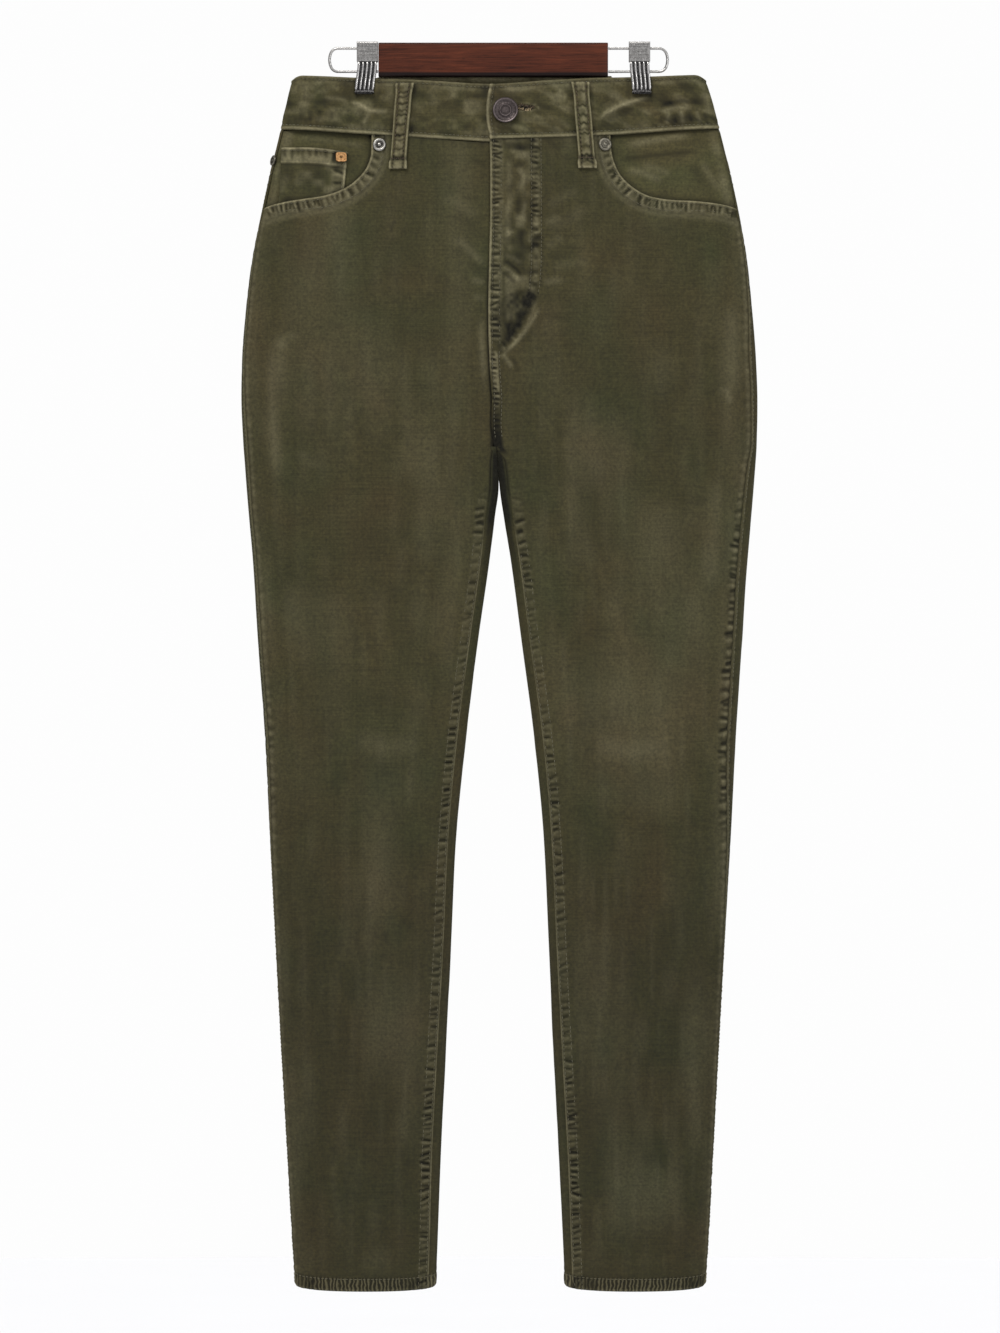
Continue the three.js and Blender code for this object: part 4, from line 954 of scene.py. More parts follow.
def front_panel(half):
    sign = SIDES[half][3]
    X, Z, n_mouth = front_grid(half)
    s_hem = s_of_x(half, X, np.clip(Z, -1060, -60))
    Z = hem_round(s_hem, Z)
    base, n = on_front(half, X, Z), front_normal(half, X, Z)
    along = arclength(base)
    c0, c1 = along, along[:, -1:] - along
    h = np.zeros(X.shape)
    wear_and_highlight, dark = np.zeros(X.shape), np.zeros(X.shape)
    seed = 100 if half == "right" else 200
    patchy = 0.72 + 0.28 * noise2(X, Z, seed + 1, 9, 9)

    # the cloth's own soft swells
    calm = smooth(np.minimum(c0, c1) / 30) * smooth((Z - HEM_BOTTOM) / 30)
    h += calm * (0.8 * noise2(X, Z, seed + 2, 74, 130) + 0.4 * noise2(X, Z, seed + 3, 30, 52) + 0.12 * noise2(X, Z, seed + 4, 9, 15))

    # under the waistband, with painted shade in a line below it and in its puckers
    below = band_bottom(half, X) - GAP - Z
    h += 0.35 * bell(below - 2.2, 2.2) - 0.25 * bell(below, 0.9)
    dark += 0.55 * bell(below, 1.5) * (below > -1)
    p = Puckers(-210, 210, 9.0, seed + 5, near=0.6, far=8.0, uneven=0.6)(X, below)
    h -= 0.4 * p
    dark += 0.25 * p

    # pocket's mouth: its edge worn light, painted shade in the puckers and along the second stitch line, painted
    # highlights beside the puckers
    cx, cz = mouth_curve(half)
    d, a = nearest(cx, cz, X, Z)
    on_mouth = (Z < -70) & (d < 20)
    band = smooth((d - 1.6) / 1.5) * smooth((12.0 - d) / 2.0)
    tucks = Puckers(-2, 150, lambda q: 4.0 if q > 62 else 5.2, seed + 6, near=1.6, far=11.5, lean=0.10 * sign)
    p = tucks(a, d)
    lit = tucks.lit(a, d) * (d < 12)
    h += on_mouth * (0.75 * bell(d - 1.3, 1.2) - 1.1 * (1 - smooth(d / 1.0)) - 0.25 * band - 1.15 * p + 0.35 * band * (1 - p) * noise1(a, seed + 7, 2.2))
    h += on_mouth * (-0.5 * bell(d - 10.6, 0.8) + 0.3 * bell(d - 12.3, 1.4))
    dark += on_mouth * (0.62 * p * (0.8 + 0.3 * noise2(X, Z, seed + 34, 3, 3)) + 0.42 * bell(d - 10.9, 1.1) * (0.7 + 0.5 * noise1(a, seed + 8, 3)) + 0.12 * band)
    wear_and_highlight += on_mouth * (0.95 * bell(d - 0.7, 1.0) * (0.8 + 0.2 * noise1(a, seed + 9, 5)) + 0.26 * band * (1 - np.minimum(1, 1.4 * p)) + 0.40 * lit + 0.16 * bell(d - 13, 2.5))

    # side seam, from the pocket to the hem: painted shade in its puckers and along the seam line, painted highlights
    # beside the puckers
    low = smooth((-146 - Z) / 10)
    if half == "left":
        strong = lambda q: 0.25 + 0.9 * float(smooth((q - 370) / 60)) * (1 - float(smooth((q - 630) / 90)))
        step = 6.4
    else:
        strong = lambda q: 0.22 + 0.3 * float(smooth((q - 520) / 60)) * (1 - float(smooth((q - 640) / 60)))
        step = 7.2
    tucks = Puckers(150, 1040, step, seed + 10, near=0.9, far=11.0, strength=strong, uneven=0.6)
    p = tucks(-Z, c0)
    wear_and_highlight += low * 0.22 * tucks.lit(-Z, c0)
    h += low * (-1.0 * p + 0.3 * bell(c0 - 2.4, 1.4) - 0.9 * (1 - smooth(c0 / 1.6)))
    dark += low * (0.75 * p + 0.62 * bell(c0 - 0.6, 1.1) * (0.75 + 0.25 * noise1(-Z, seed + 11, 18)))
    wear_and_highlight += low * 0.22 * bell(c0 - 4.2, 2.0) * (1 - np.minimum(1, p)) * (0.8 + 0.2 * noise1(-Z, seed + 31, 14))
    wear_and_highlight += low * 0.10 * bell(c0 - 9, 6.0) * (1 - np.minimum(1, p)) * (0.5 + 0.5 * noise1(-Z, seed + 12, 60))

    # inseam: painted shade in its puckers and along the stitch line, painted highlights beside the puckers, its edge
    # lighter
    leg = smooth((-372 - Z) / 30)
    strong = lambda q: (0.55 + 0.5 * float(smooth((q - 372) / 40)) + 0.5 * float(smooth((q - 900) / 90))) * (0.85 + 0.3 * math.sin(q / 43.0 + seed))
    tucks = Puckers(372, 1046, INSEAM_STEP, seed + 13, near=2.0, far=12.2, strength=strong, lean=-0.16 * sign, uneven=0.45, wide=0.72)
    p = tucks(-Z, c1 - 0.6)
    wear_and_highlight += leg * (0.20 * tucks.lit(-Z, c1 - 0.6) + 0.80 * bell(c1 - 0.9, 0.55) * smooth((-Z - 405) / 30) * (0.75 + 0.25 * noise1(-Z, seed + 35, 20)))
    strip = smooth((c1 - 0.8) / 1.2) * smooth((11.5 - c1) / 3.5)
    h += leg * (-1.3 * p + 0.22 * strip + 0.4 * strip * (1 - np.minimum(1, p)) * 0.8 - 0.6 * (1 - smooth(c1 / 0.9)))
    dark += leg * (0.80 * p + 0.22 * bell(c1 - 2.3, 0.6))
    wear_and_highlight += leg * (0.10 * strip * (1 - np.minimum(1, 1.5 * p)) * patchy)

    # middle: the fly's edge on the left, its hidden side on the right, and the crotch seam
    mid = smooth((Z + 348) / 14)
    if half == "left":
        edge = c1
        fly = smooth((Z + 258) / 10)
        jx, jz = curve_of(J_LINE)
        jd, ja = nearest(jx, jz, X, Z)
        within = (X < np.interp(-Z, -jz[np.argsort(-jz)], jx[np.argsort(-jz)])) & (Z > px(0, 352)[1])
        raised = smooth((Z + 264) / 6) * within * smooth(jd / 3.0)
        h += 0.55 * raised
        h += mid * (0.75 * bell(edge - 1.3, 1.2) - 1.0 * (1 - smooth(edge / 1.0)))
        wear_and_highlight += mid * (0.92 * bell(edge - 0.8, 1.05) * smooth((Z + 292) / 34) * (0.82 + 0.18 * noise1(-Z, seed + 14, 9)))
        # painted shade in the fly's puckers and under its stitches, painted highlights beside the puckers
        tucks = Puckers(82, 270, 4.3, seed + 15, near=2.0, far=12.0, uneven=0.5)
        p = tucks(-Z, edge)
        wear_and_highlight += fly * 0.34 * tucks.lit(-Z, edge)
        h += fly * (-0.95 * p + 0.3 * bell(edge - 6.6, 1.3) * (0.6 + 0.4 * noise1(-Z, seed + 16, 3.0)))
        tick = smooth((np.sin(2 * np.pi * Z / 3.0) + 0.25) / 0.5)
        dark += fly * (0.8 * p + 0.62 * bell(edge - 3.4, 0.6) * tick + 0.4 * bell(edge - 9.6, 0.7) * (1 - tick))
        wear_and_highlight += fly * (0.24 * smooth((edge - 3) / 2) * smooth((13 - edge) / 3) * (1 - np.minimum(1, 1.4 * p)) * patchy)
        # the curved double line, with painted shade in its puckers, under its stitches and at its foot
        line = smooth((jd < 9) * 1.0) * (Z < -80)
        signed = np.where(within, -jd, jd)
        p = Puckers(0, 240, lambda q: 4.4 if q < 66 else (9.0 if q < 128 else 5.0), seed + 17, near=0.6, far=10.6, uneven=0.45)(ja, signed + 5.2)
        wear_and_highlight += line * 0.34 * np.clip(noise2(ja, signed, seed + 33, 2.6, 4.0), 0, 1) * bell(signed, 3.6) * (1 - np.minimum(1, p))
        stitch = lambda q: smooth((np.sin(2 * np.pi * ja / 3.1 + q) + 0.25) / 0.5)
        h += line * (-1.0 * p - 0.4 * bell(signed - 4.1, 0.8) - 0.4 * bell(signed + 4.1, 0.8) + 0.5 * bell(signed, 2.4) * (1 - np.minimum(1, p)))
        at_foot = smooth((ja - 132) / 10)
        p = p * (1 - 0.75 * at_foot)
        dark += line * (0.80 * p + (1 - at_foot) * 0.62 * bell(signed - 4.2, 0.65) * stitch(0.0) + (1 - at_foot) * 0.66 * bell(signed + 4.2, 0.7) * stitch(1.7))
        dark += line * at_foot * 0.34 * bell(signed + 1.5, 3.6) * (0.8 + 0.5 * noise2(X, Z, seed + 36, 2.2, 3.0))
        wear_and_highlight += line * at_foot * 0.16 * bell(signed - 4.2, 1.3)
        wear_and_highlight += line * (1 - at_foot) * (0.32 * bell(signed, 2.6) * (1 - np.minimum(1, 1.5 * p)) * patchy)
        # loose cloth over the zip, wavy and sunk at its foot: painted shade in the waves' troughs and over the sunk
        # foot, painted highlights on their crests
        zip_area = raised * smooth((edge - 12) / 3)
        wave = noise2(X, Z, seed + 18, 9, 6.5)
        h += zip_area * (0.55 * wave + 0.3 * noise2(X, Z, seed + 19, 4, 12))
        dark += zip_area * np.clip(-wave, 0, 1) * 0.60
        wear_and_highlight += zip_area * np.clip(wave - 0.1, 0, 1) * 0.32
        foot = patch(X, Z, FLY_FOOT, 2.6)
        mottled = 0.78 + 0.5 * noise2(X, Z, seed + 29, 2.6, 3.4)
        h -= 1.5 * foot - 0.5 * foot * noise2(X, Z, seed + 30, 4.5, 6)
        dark += foot * mottled * lerp(0.52, 0.74, smooth((Z - px(0, 336)[1]) / 22)) * lerp(0.6, 1.0, smooth((X - px(500, 0)[0]) / 10))
        # crotch seam: painted shade in its puckers and lines and deep in the crotch, painted highlights beside the
        # puckers
        seam = smooth((-262 - Z) / 6) * smooth((Z + 352) / 8)
        tucks = Puckers(258, 356, 4.1, seed + 20, near=1.6, far=8.4, uneven=0.3, wide=1.15)
        p = tucks(-Z, edge)
        wear_and_highlight += seam * 0.3 * tucks.lit(-Z, edge) * smooth((Z + 324) / 26)
        h += seam * (-1.0 * p + 0.35 * bell(edge - 5.2, 2.6))
        dark += seam * (0.95 * p + 0.5 * bell(edge - 8.4, 0.9) + 0.3 * bell(edge - 2.6, 0.8) + 0.44 * smooth((-292 - Z) / 34) * smooth((8.5 - edge) / 2))
        wear_and_highlight += seam * 0.46 * smooth((edge - 2) / 1.5) * smooth((8.5 - edge) / 2) * (1 - np.minimum(1, 1.4 * p)) * smooth((Z + 318) / 30)
        deep = smooth((-324 - Z) / 14) * smooth((9.5 - edge) / 2.5) * smooth((Z + 352) / 8)
        dark += 0.95 * deep + 0.8 * smooth((-345 - Z) / 6) * smooth((2.2 - edge) / 1.6) * smooth((Z + 400) / 20)
    else:
        # the right front's middle dips under the fly's edge, with painted shade along it and deep in the crotch
        edge = c1
        h += mid * (-1.75 * (1 - smooth((edge - 0.4) / 3.4)))
        dark += mid * (0.75 * bell(edge - 2.0, 1.3) * smooth((-170 - Z) / 60) + 0.35 * bell(edge - 2.0, 1.2))
        wear_and_highlight += mid * 0.12 * bell(edge - 7.5, 2.4) * smooth((-230 - Z) / 30) * smooth((Z + 310) / 40)
        deep = smooth((-330 - Z) / 14) * smooth((2.4 - edge) / 2.0)
        dark += 0.9 * deep * smooth((Z + 400) / 20)

    # hem: doubled cloth, pulled into ropes by its seam, with painted shade in the ropes' troughs and along its top
    bottom = hem_bottom(half, X, Z)
    up = Z - bottom
    slant = 0.35 * sign
    p = Puckers(30, 230, 3.5, seed + 21, near=-1.5, far=14.5, lean=slant * 0.4, uneven=0.5, wide=1.15)(np.abs(X), up)
    fold = smooth((12.0 - up) / 1.6)
    ends = smooth((26 - np.minimum(c0, c1)) / 9)
    p = p * ends
    h += 0.45 * fold + fold * (-0.9 * p + 0.35 * (1 - np.minimum(1, p)) * bell(up - 5, 4)) - 0.55 * bell(up - 10.6, 0.9) + 0.25 * bell(up - 13.4, 2.0)
    h -= 0.9 * (1 - smooth(up / 1.1))
    dark += fold * (0.12 + 0.60 * p) + 0.45 * bell(up - 11.0, 1.0) * (0.7 + 0.3 * noise1(X, seed + 22, 5))
    wear_and_highlight += 0.34 * bell(up - 0.8, 1.0) * patchy 

    for pts, width, height, w, k in FRONT_STROKES:
        places = [px(*q) for q in pts]
        if sign * np.mean([q[0] for q in places]) < -12:
            continue
        t = stroke(X, Z, places, width)
        h += height * t
        wear_and_highlight += w * t
        dark += k * t
    # places rubbed light and left dark
    wear_and_highlight += 0.10 * calm * np.clip(noise2(X, Z, seed + 23, 34, 70), 0, 1) + 0.05 * calm * np.clip(noise2(X, Z, seed + 24, 5, 40), 0, 1)
    dark += 0.10 * calm * np.clip(noise2(X, Z, seed + 25, 40, 60), 0, 1)
    tone = 0.75 * noise2(X, Z, seed + 26, 42, 60) + 0.5 * noise2(X, Z, seed + 27, 15, 26)

    thick = WALL + 0.2 + (HEM_WALL - WALL) * smooth((12 - up) / 2)
    outer = base + n * h[..., None]
    low = np.minimum(h, 0)
    inner = (base - n * thick[..., None] + n * (low * 0.8)[..., None])[::5, ::3]
    attrs = {"wear_and_highlight": np.clip(wear_and_highlight, 0, 1), "dark": np.clip(dark, 0, 1), "tone": tone, "across": along + 2.0 * noise1(Z, seed + 28, 90), "hem": fold * (1 - 0.45 * ends)}
    shape = slab(outer, inner, 5, 3, attrs)
    ob = build("front_" + half + "_cloth", shape, CLOTH)
    return ob, outer, n, {"c0": c0, "c1": c1 + 0 * c0, "up": up, "Z": Z, "n_mouth": n_mouth}

# ------------------------------------------------------------------ backs
def yoke_seam(half, s, z):
    x = on_loop(half, s, z)[..., 0]
    outer, inner = SIDES[half][:2]
    return lerp(YOKE_SIDE, YOKE_CENTRE, np.clip((x - section(outer, z)) / (section(inner, z) - section(outer, z)), 0, 1) ** 0.8)


N_INNER, N_WALL, N_OVER_SIDE = 8, 8, 8


def back_columns(half, z, low):
    """Loop places of one row of the back, from the inseam over the inner wall and the back to the side seam."""
    outer, inner, side = SIDES[half][:3]
    z = np.asarray(z, float)[:, None]
    xo, xi = section(outer, z), section(inner, z)
    width = np.abs(xi - xo)
    start = inseam(half, z) + 0.15 / (width * 0.5)
    first = lerp(start, 1.0, np.linspace(0, 1, N_INNER + 1)[None, :-1])
    wall = np.repeat(lerp(1.0, WALL_END, np.linspace(0, 1, N_WALL + 1)[None, :-1]), len(z), 0)
    near, far = np.array([0, 0.1, 0.5, 1.2, 2.2, 3.4, 4.8, 6.2, 7.6, 9.0, 10.4, 12.0, 14.5, 18, 23]), np.array([0, 0.1, 0.5, 1.2, 2.2, 3.4, 4.8, 6.4, 8.0, 9.6, 11.4, 14, 18, 23])
    mid = 4 * math.ceil((len(near) + len(far) - 2 + 20) / 4) - (len(near) + len(far) - 2)
    u = np.linspace(0, 1, mid + 1)[1:-1][None]
    d = np.concatenate([near[None] / width, (near[-1] + (width - near[-1] - far[-1]) * u) / width, 1 - far[::-1][None] / width], 1)
    over = LOOP_END - at_share(np.clip(1 - d, 0, 1))
    wrap = section(side, z) - 0.2
    q = np.linspace(0, 1, N_OVER_SIDE + 1)[None, 1:] ** 1.6
    beyond = LOOP_END + at_share(q * wrap / width)
    return np.concatenate([first, wall, over, beyond], 1)


def hem_features(half, x, up, seed, sign):
    p = Puckers(30, 230, 3.5, seed, near=-1.5, far=14.5, lean=0.14 * sign, uneven=0.5, wide=1.15)(np.abs(x), up)
    fold = smooth((12.0 - up) / 1.6)
    p = 0.35 * p
    h = 0.45 * fold + fold * (-0.9 * p + 0.35 * (1 - np.minimum(1, p)) * bell(up - 5, 4)) - 0.55 * bell(up - 10.6, 0.9) + 0.25 * bell(up - 13.4, 2.0) - 0.9 * (1 - smooth(up / 1.1))
    # painted shade in the ropes' troughs and along the hem's top
    dark = fold * (0.10 + 0.40 * p) + 0.4 * bell(up - 11.0, 1.0) * (0.7 + 0.3 * noise1(x, seed + 1, 5))
    wear_and_highlight = 0.32 * bell(up - 0.8, 1.0) + 0.2 * fold * (1 - np.minimum(1, 1.5 * p)) * smooth((up - 1) / 2)
    return h, dark, wear_and_highlight


BACK_STROKES = [  # x outward from the middle, z, in millimetres; then width, height, lightening (wear and painted highlight), painted shade
    ([(40, -345), (90, -372), (150, -384)], 9.0, -1.3, 0.0, 0.06),
    ([(30, -372), (70, -392), (118, -402)], 7.0, 1.0, 0.06, 0.0),
    ([(52, -690), (105, -702), (168, -694)], 8.0, -1.4, 0.0, 0.08),
    ([(60, -716), (112, -724), (160, -716)], 7.5, 1.1, 0.08, 0.0),
    ([(58, -742), (100, -752), (150, -746)], 8.5, -1.2, 0.0, 0.08),
    ([(66, -776), (110, -784), (170, -774)], 8.0, 0.9, 0.06, 0.0),
    ([(76, -812), (120, -818), (158, -812)], 9.0, -0.8, 0.0, 0.05),
    ([(24, -318), (60, -338), (96, -346)], 6.0, -0.9, 0.0, 0.08),
    ([(168, -330), (176, -380), (180, -440)], 10.0, 0.8, 0.08, 0.0),
    ([(96, -880), (118, -930), (126, -990)], 12.0, 0.8, 0.05, 0.0),
]


def back_panel(half):
    sign = SIDES[half][3]
    n_low = 450
    low_z = np.linspace(FORK, HEM_BOTTOM, n_low + 1)
    cols_low = back_columns(half, low_z, True)
    C = cols_low.shape[1]
    n_top = 130
    top_cols = back_columns(half, np.array([-142.0]), False)[0]
    s_top = np.maximum(top_cols, WALL_END)
    z_top = yoke_seam(half, s_top, -142.0) - GAP
    v = np.linspace(0, 1, n_top + 1)[:-1][:, None]
    Zt = lerp(z_top[None], FORK, v)
    St = np.empty_like(Zt)
    for i in range(n_top):
        St[i] = back_columns(half, Zt[i], False)[np.arange(C), np.arange(C)]
    Zl = np.repeat(low_z[:, None], C, 1)
    S = np.concatenate([St, cols_low])
    Z = np.concatenate([Zt, Zl])
    Z = hem_round(S, Z)
    near = np.interp(-Z, [341.7, 358, 375.7, 400], [1, 0.667, 0.333, 0]) * (Z < FORK + 0.01)
    dip = np.interp(S, [0.5, 0.985, 1.0, 1.1, WALL_END, WALL_END + 0.01], [0, 0.1, 0.35, 1.0, 0, 0]) * (S < WALL_END)
    Z = Z - SEAT_DIP * near * dip
    base, n = on_loop(half, S, Z), normal(half, S, Z)
    x = base[..., 0]
    along = arclength(base)
    c_in = along  # from the inseam
    c_out = along[:, -1:] - along  # from the side seam
    seat = np.abs(x - section(SIDES[half][1], Z)) + np.where(S < WALL_END, 1e3, 0)  # from the middle of the back
    over_back = (S >= WALL_END) & (S <= LOOP_END)
    seed = 300 if half == "right" else 400
    h, wear_and_highlight, dark = (np.zeros(S.shape) for _ in range(3))
    calm = smooth(np.minimum(c_in, c_out) / 26) * smooth((Z - HEM_BOTTOM) / 30)
    h += calm * over_back * (1.3 * noise2(x, Z, seed + 1, 78, 120) + 0.55 * noise2(x, Z, seed + 2, 30, 46) + 0.15 * noise2(x, Z, seed + 3, 9, 14))

    # strip beyond the inseam, seen from the front: painted shade in its puckers and over its upper part, and a little
    # painted light lower down
    leg = smooth((FORK - Z) / 12)
    p = 0.5 * Puckers(345, 1046, lambda q: 8.0 if q < 640 else 6.2, seed + 4, near=0.6, far=7.4, uneven=0.5, wide=0.8)(-Z, c_in)
    inner = (S < 1.0)
    h += leg * inner * (-0.3 * (1 - smooth(c_in / 0.6)) - 0.45 * p)
    wear_and_highlight += leg * inner * 0.03 * bell(c_in - 5, 2.0) * smooth((-Z - 560) / 100)
    dark += leg * inner * 0.25 * p
    shade = smooth((500 + Z) / 110) * 0.62 + 0.08 * smooth((980 + Z) / 200)
    dark += (S < WALL_END) * np.clip(shade, 0, 1) * smooth((c_in - 1.2) / 1.6) * leg
    # crotch seam at the fork's lower side: painted shade over the inner wall above it
    edge = (S < WALL_END) * smooth((Z + 420) / 20)
    dark += 0.3 * edge

    # seat seam: the left back lies over the right, with painted shade in its puckers, its stitch lines and along the
    # overlap
    back = over_back & (Z > FORK - 30)
    p = Puckers(140, 372, 5.2, seed + 5, near=0.8, far=10.6, uneven=0.45)(-Z, seat)
    if half == "left":
        h += back * (0.7 * smooth((11 - seat) / 1.4) - 0.9 * p * smooth((11.5 - seat) / 2) + 0.35 * bell(seat - 1.4, 1.2))
        dark += back * (0.7 * p + 0.3 * bell(seat - 3.2, 0.8) + 0.3 * bell(seat - 9.2, 0.8) + 0.4 * bell(seat - 11.6, 0.9))
        wear_and_highlight += back * (0.55 * bell(seat - 0.8, 1.1) + 0.2 * smooth((10 - seat) / 2) * (1 - np.minimum(1, 1.5 * p)))
    else:
        h += back * (-0.7 * (1 - smooth(seat / 2.0)) - 0.4 * p * smooth((8 - seat) / 4))
        dark += back * (0.6 * bell(seat - 0.5, 1.4) + 0.3 * p * smooth((8 - seat) / 4))

    # under the yoke, with painted shade in a line below it and in its puckers
    below = yoke_seam(half, np.maximum(S, WALL_END), Z) - GAP - Z
    p = Puckers(-230, 230, 7.0, seed + 6, near=0.6, far=8.0, uneven=0.5)(x, below)
    h += over_back * (0.3 * bell(below - 2.4, 1.8) - 0.5 * (1 - smooth(below / 1.0)) - 0.45 * p)
    dark += over_back * (0.55 * bell(below, 1.4) + 0.35 * p)

    # side seam: painted shade in its puckers and along the seam
    seam = smooth((-150 - Z) / 12)
    p = Puckers(112, 1046, 6.8, seed + 7, near=0.6, far=8.4, uneven=0.5, strength=lambda q: 0.4 + 0.3 * math.sin(q / 61.0 + seed))(-Z, c_out)
    h += seam * (0.4 * bell(c_out - 1.1, 1.1) - 0.8 * (1 - smooth(c_out / 0.8)) - 0.7 * p)
    wear_and_highlight += seam * 0.30 * bell(c_out - 1.0, 0.9)
    dark += seam * (0.5 * p + 0.3 * bell(c_out - 0.2, 0.5))

    up = Z - hem_round(S, np.full(S.shape, HEM_BOTTOM))
    hh, hd, hw = hem_features(half, x, up, seed + 8, sign)
    h, dark, wear_and_highlight = h + hh, dark + hd, wear_and_highlight + hw
    for pts, width, height, w, k in BACK_STROKES:
        t = stroke(sign * x, Z, pts, width) * over_back
        h, wear_and_highlight, dark = h + height * t, wear_and_highlight + w * t, dark + k * t
    wear_and_highlight += 0.12 * calm * np.clip(noise2(x, Z, seed + 12, 34, 70), 0, 1)
    dark += 0.10 * calm * np.clip(noise2(x, Z, seed + 13, 40, 60), 0, 1)
    tone = 0.75 * noise2(x, Z, seed + 14, 42, 60) + 0.5 * noise2(x, Z, seed + 15, 15, 26)
    # the inner wall tinted greener above the crotch, the colour of its painted shade
    tone = np.where(S < WALL_END, tone - 0.9 * smooth((430 + Z) / 40), tone)

    thick = WALL + 0.2 + (HEM_WALL - WALL) * smooth((12 - up) / 2)
    outer = base + n * h[..., None]
    inner_face = (base - n * thick[..., None] + n * (np.minimum(h, 0) * 0.7)[..., None])[::5, ::4]
    Rc, Cc = inner_face.shape[:2]
    mask = np.ones((Rc - 1, Cc - 1), bool)
    mask[: n_top // 5, : (N_INNER + N_WALL) // 4] = False
    attrs = {"wear_and_highlight": np.clip(wear_and_highlight, 0, 1), "dark": np.clip(dark, 0, 1), "tone": tone, "across": along + 2.0 * noise1(Z, seed + 16, 90), "hem": smooth((12.0 - up) / 1.6)}
    fields = {"in": c_in, "out": c_out, "up": up, "seat": seat, "below": below, "over": over_back, "Z": Z}
    return build("back_" + half + "_cloth", slab(outer, inner_face, 5, 4, attrs, mask), BACK_CLOTH), outer, n, fields


def yoke_panel(half):
    sign = SIDES[half][3]
    seed = 500 if half == "right" else 540
    n = 30
    width = 190.0
    d = np.concatenate([np.linspace(0, 14, 11), np.linspace(14, 176, 65)[1:], np.linspace(176, 190, 16)[1:]]) / 190.0
    over = LOOP_END - at_share(1 - d)
    side = section(SIDES[half][2], -92.0) - 0.2
    beyond = LOOP_END + at_share(np.linspace(0, 1, 7)[1:] ** 1.6 * side / 183.0)
    cols = np.concatenate([over, beyond])
    kc = 3
    cols = cols[: (len(cols) - 1) // kc * kc + 1] if (len(cols) - 1) % kc else cols
    last = LOOP_END + at_share(side / 183.0)
    cols[-1] = last
    s0 = np.repeat(cols[None], 1, 0)[0]
    x0 = on_loop(half, s0, -90.0)[..., 0]
    top = np.where(s0 > LOOP_END, band_bottom(half, x0), through(BAND_BOTTOM["back"], x0)) + 4.0
    foot = yoke_seam(half, s0, -120.0)
    v = np.linspace(0, 1, 60 + 1)[:, None]
    Z = lerp(top[None], foot[None], v)
    S = np.repeat(s0[None], 61, 0)
    xo = section(SIDES[half][0], Z)
    # keep to the side seam all the way down
    side_here = LOOP_END + at_share((section(SIDES[half][2], Z) - 0.2) / np.abs(section(SIDES[half][1], Z) - xo))
    S = np.where(S > LOOP_END, LOOP_END + (S - LOOP_END) * (side_here - LOOP_END) / (last - LOOP_END), S)
    base = on_loop(half, S, Z)
    x, along = base[..., 0], arclength(base)
    c_out = along[:, -1:] - along
    foot_d, top_d = Z - foot[None], top[None] - Z
    h, wear_and_highlight, dark = (np.zeros(S.shape) for _ in range(3))
    h += 0.5 * noise2(x, Z, seed, 50, 30) * smooth(foot_d / 16)
    turned = 1 - 0.85 * smooth((S - LOOP_END + 0.05) / 0.06)
    p = Puckers(-230, 230, 5.0, seed + 1, near=1.4, far=10.8, uneven=0.45)(x, foot_d) * turned
    h += 0.65 * turned * smooth((11 - foot_d) / 1.6) - 0.8 * p + 0.35 * turned * bell(foot_d - 1.3, 1.1) - 0.7 * turned * (1 - smooth(foot_d / 0.8))
    # painted shade in the foot's puckers and along its stitch lines
    dark += 0.75 * p + 0.3 * bell(foot_d - 3.2, 0.8) + 0.3 * bell(foot_d - 9.2, 0.8) + 0.3 * bell(foot_d - 11.8, 0.9)
    wear_and_highlight += 0.62 * turned * bell(foot_d - 0.9, 1.1) + 0.2 * turned * smooth((10 - foot_d) / 2) * (1 - np.minimum(1, 1.5 * p))
    top_d = top_d - 4.0
    # painted shade under the waistband
    h -= 0.4 * bell(top_d - 0.6, 1.6)
    dark += 0.5 * bell(top_d - 0.5, 1.6)
    h = np.where(top_d < 0.4, lerp(h, -1.9, smooth((0.4 - top_d) / 1.2)), h)
    h += -0.3 * (1 - smooth(c_out / 0.8))
    wear_and_highlight += 0.10 * bell(c_out - 2.0, 2.0)
    if half == "left":
        h += 0.6 * smooth((11 - along) / 1.5)
        dark += 0.3 * bell(along - 11.4, 0.9) + 0.22 * bell(along - 3.2, 0.8)
        wear_and_highlight += 0.4 * bell(along - 0.8, 1.0)
    tone = 0.75 * noise2(x, Z, seed + 2, 42, 40) + 0.5 * noise2(x, Z, seed + 3, 15, 16)
    attrs = {"wear_and_highlight": np.clip(wear_and_highlight, 0, 1), "dark": np.clip(dark, 0, 1), "tone": tone, "across": along}
    return cloth("yoke_" + half + "_cloth", half, S, Z, h, WALL, 4, kc, attrs, BACK_CLOTH)


# ------------------------------------------------------------------ waistband
def band_top(x, face):
    return through(BAND_TOP_BACK if face == "back" else BAND_TOP_FRONT, x)


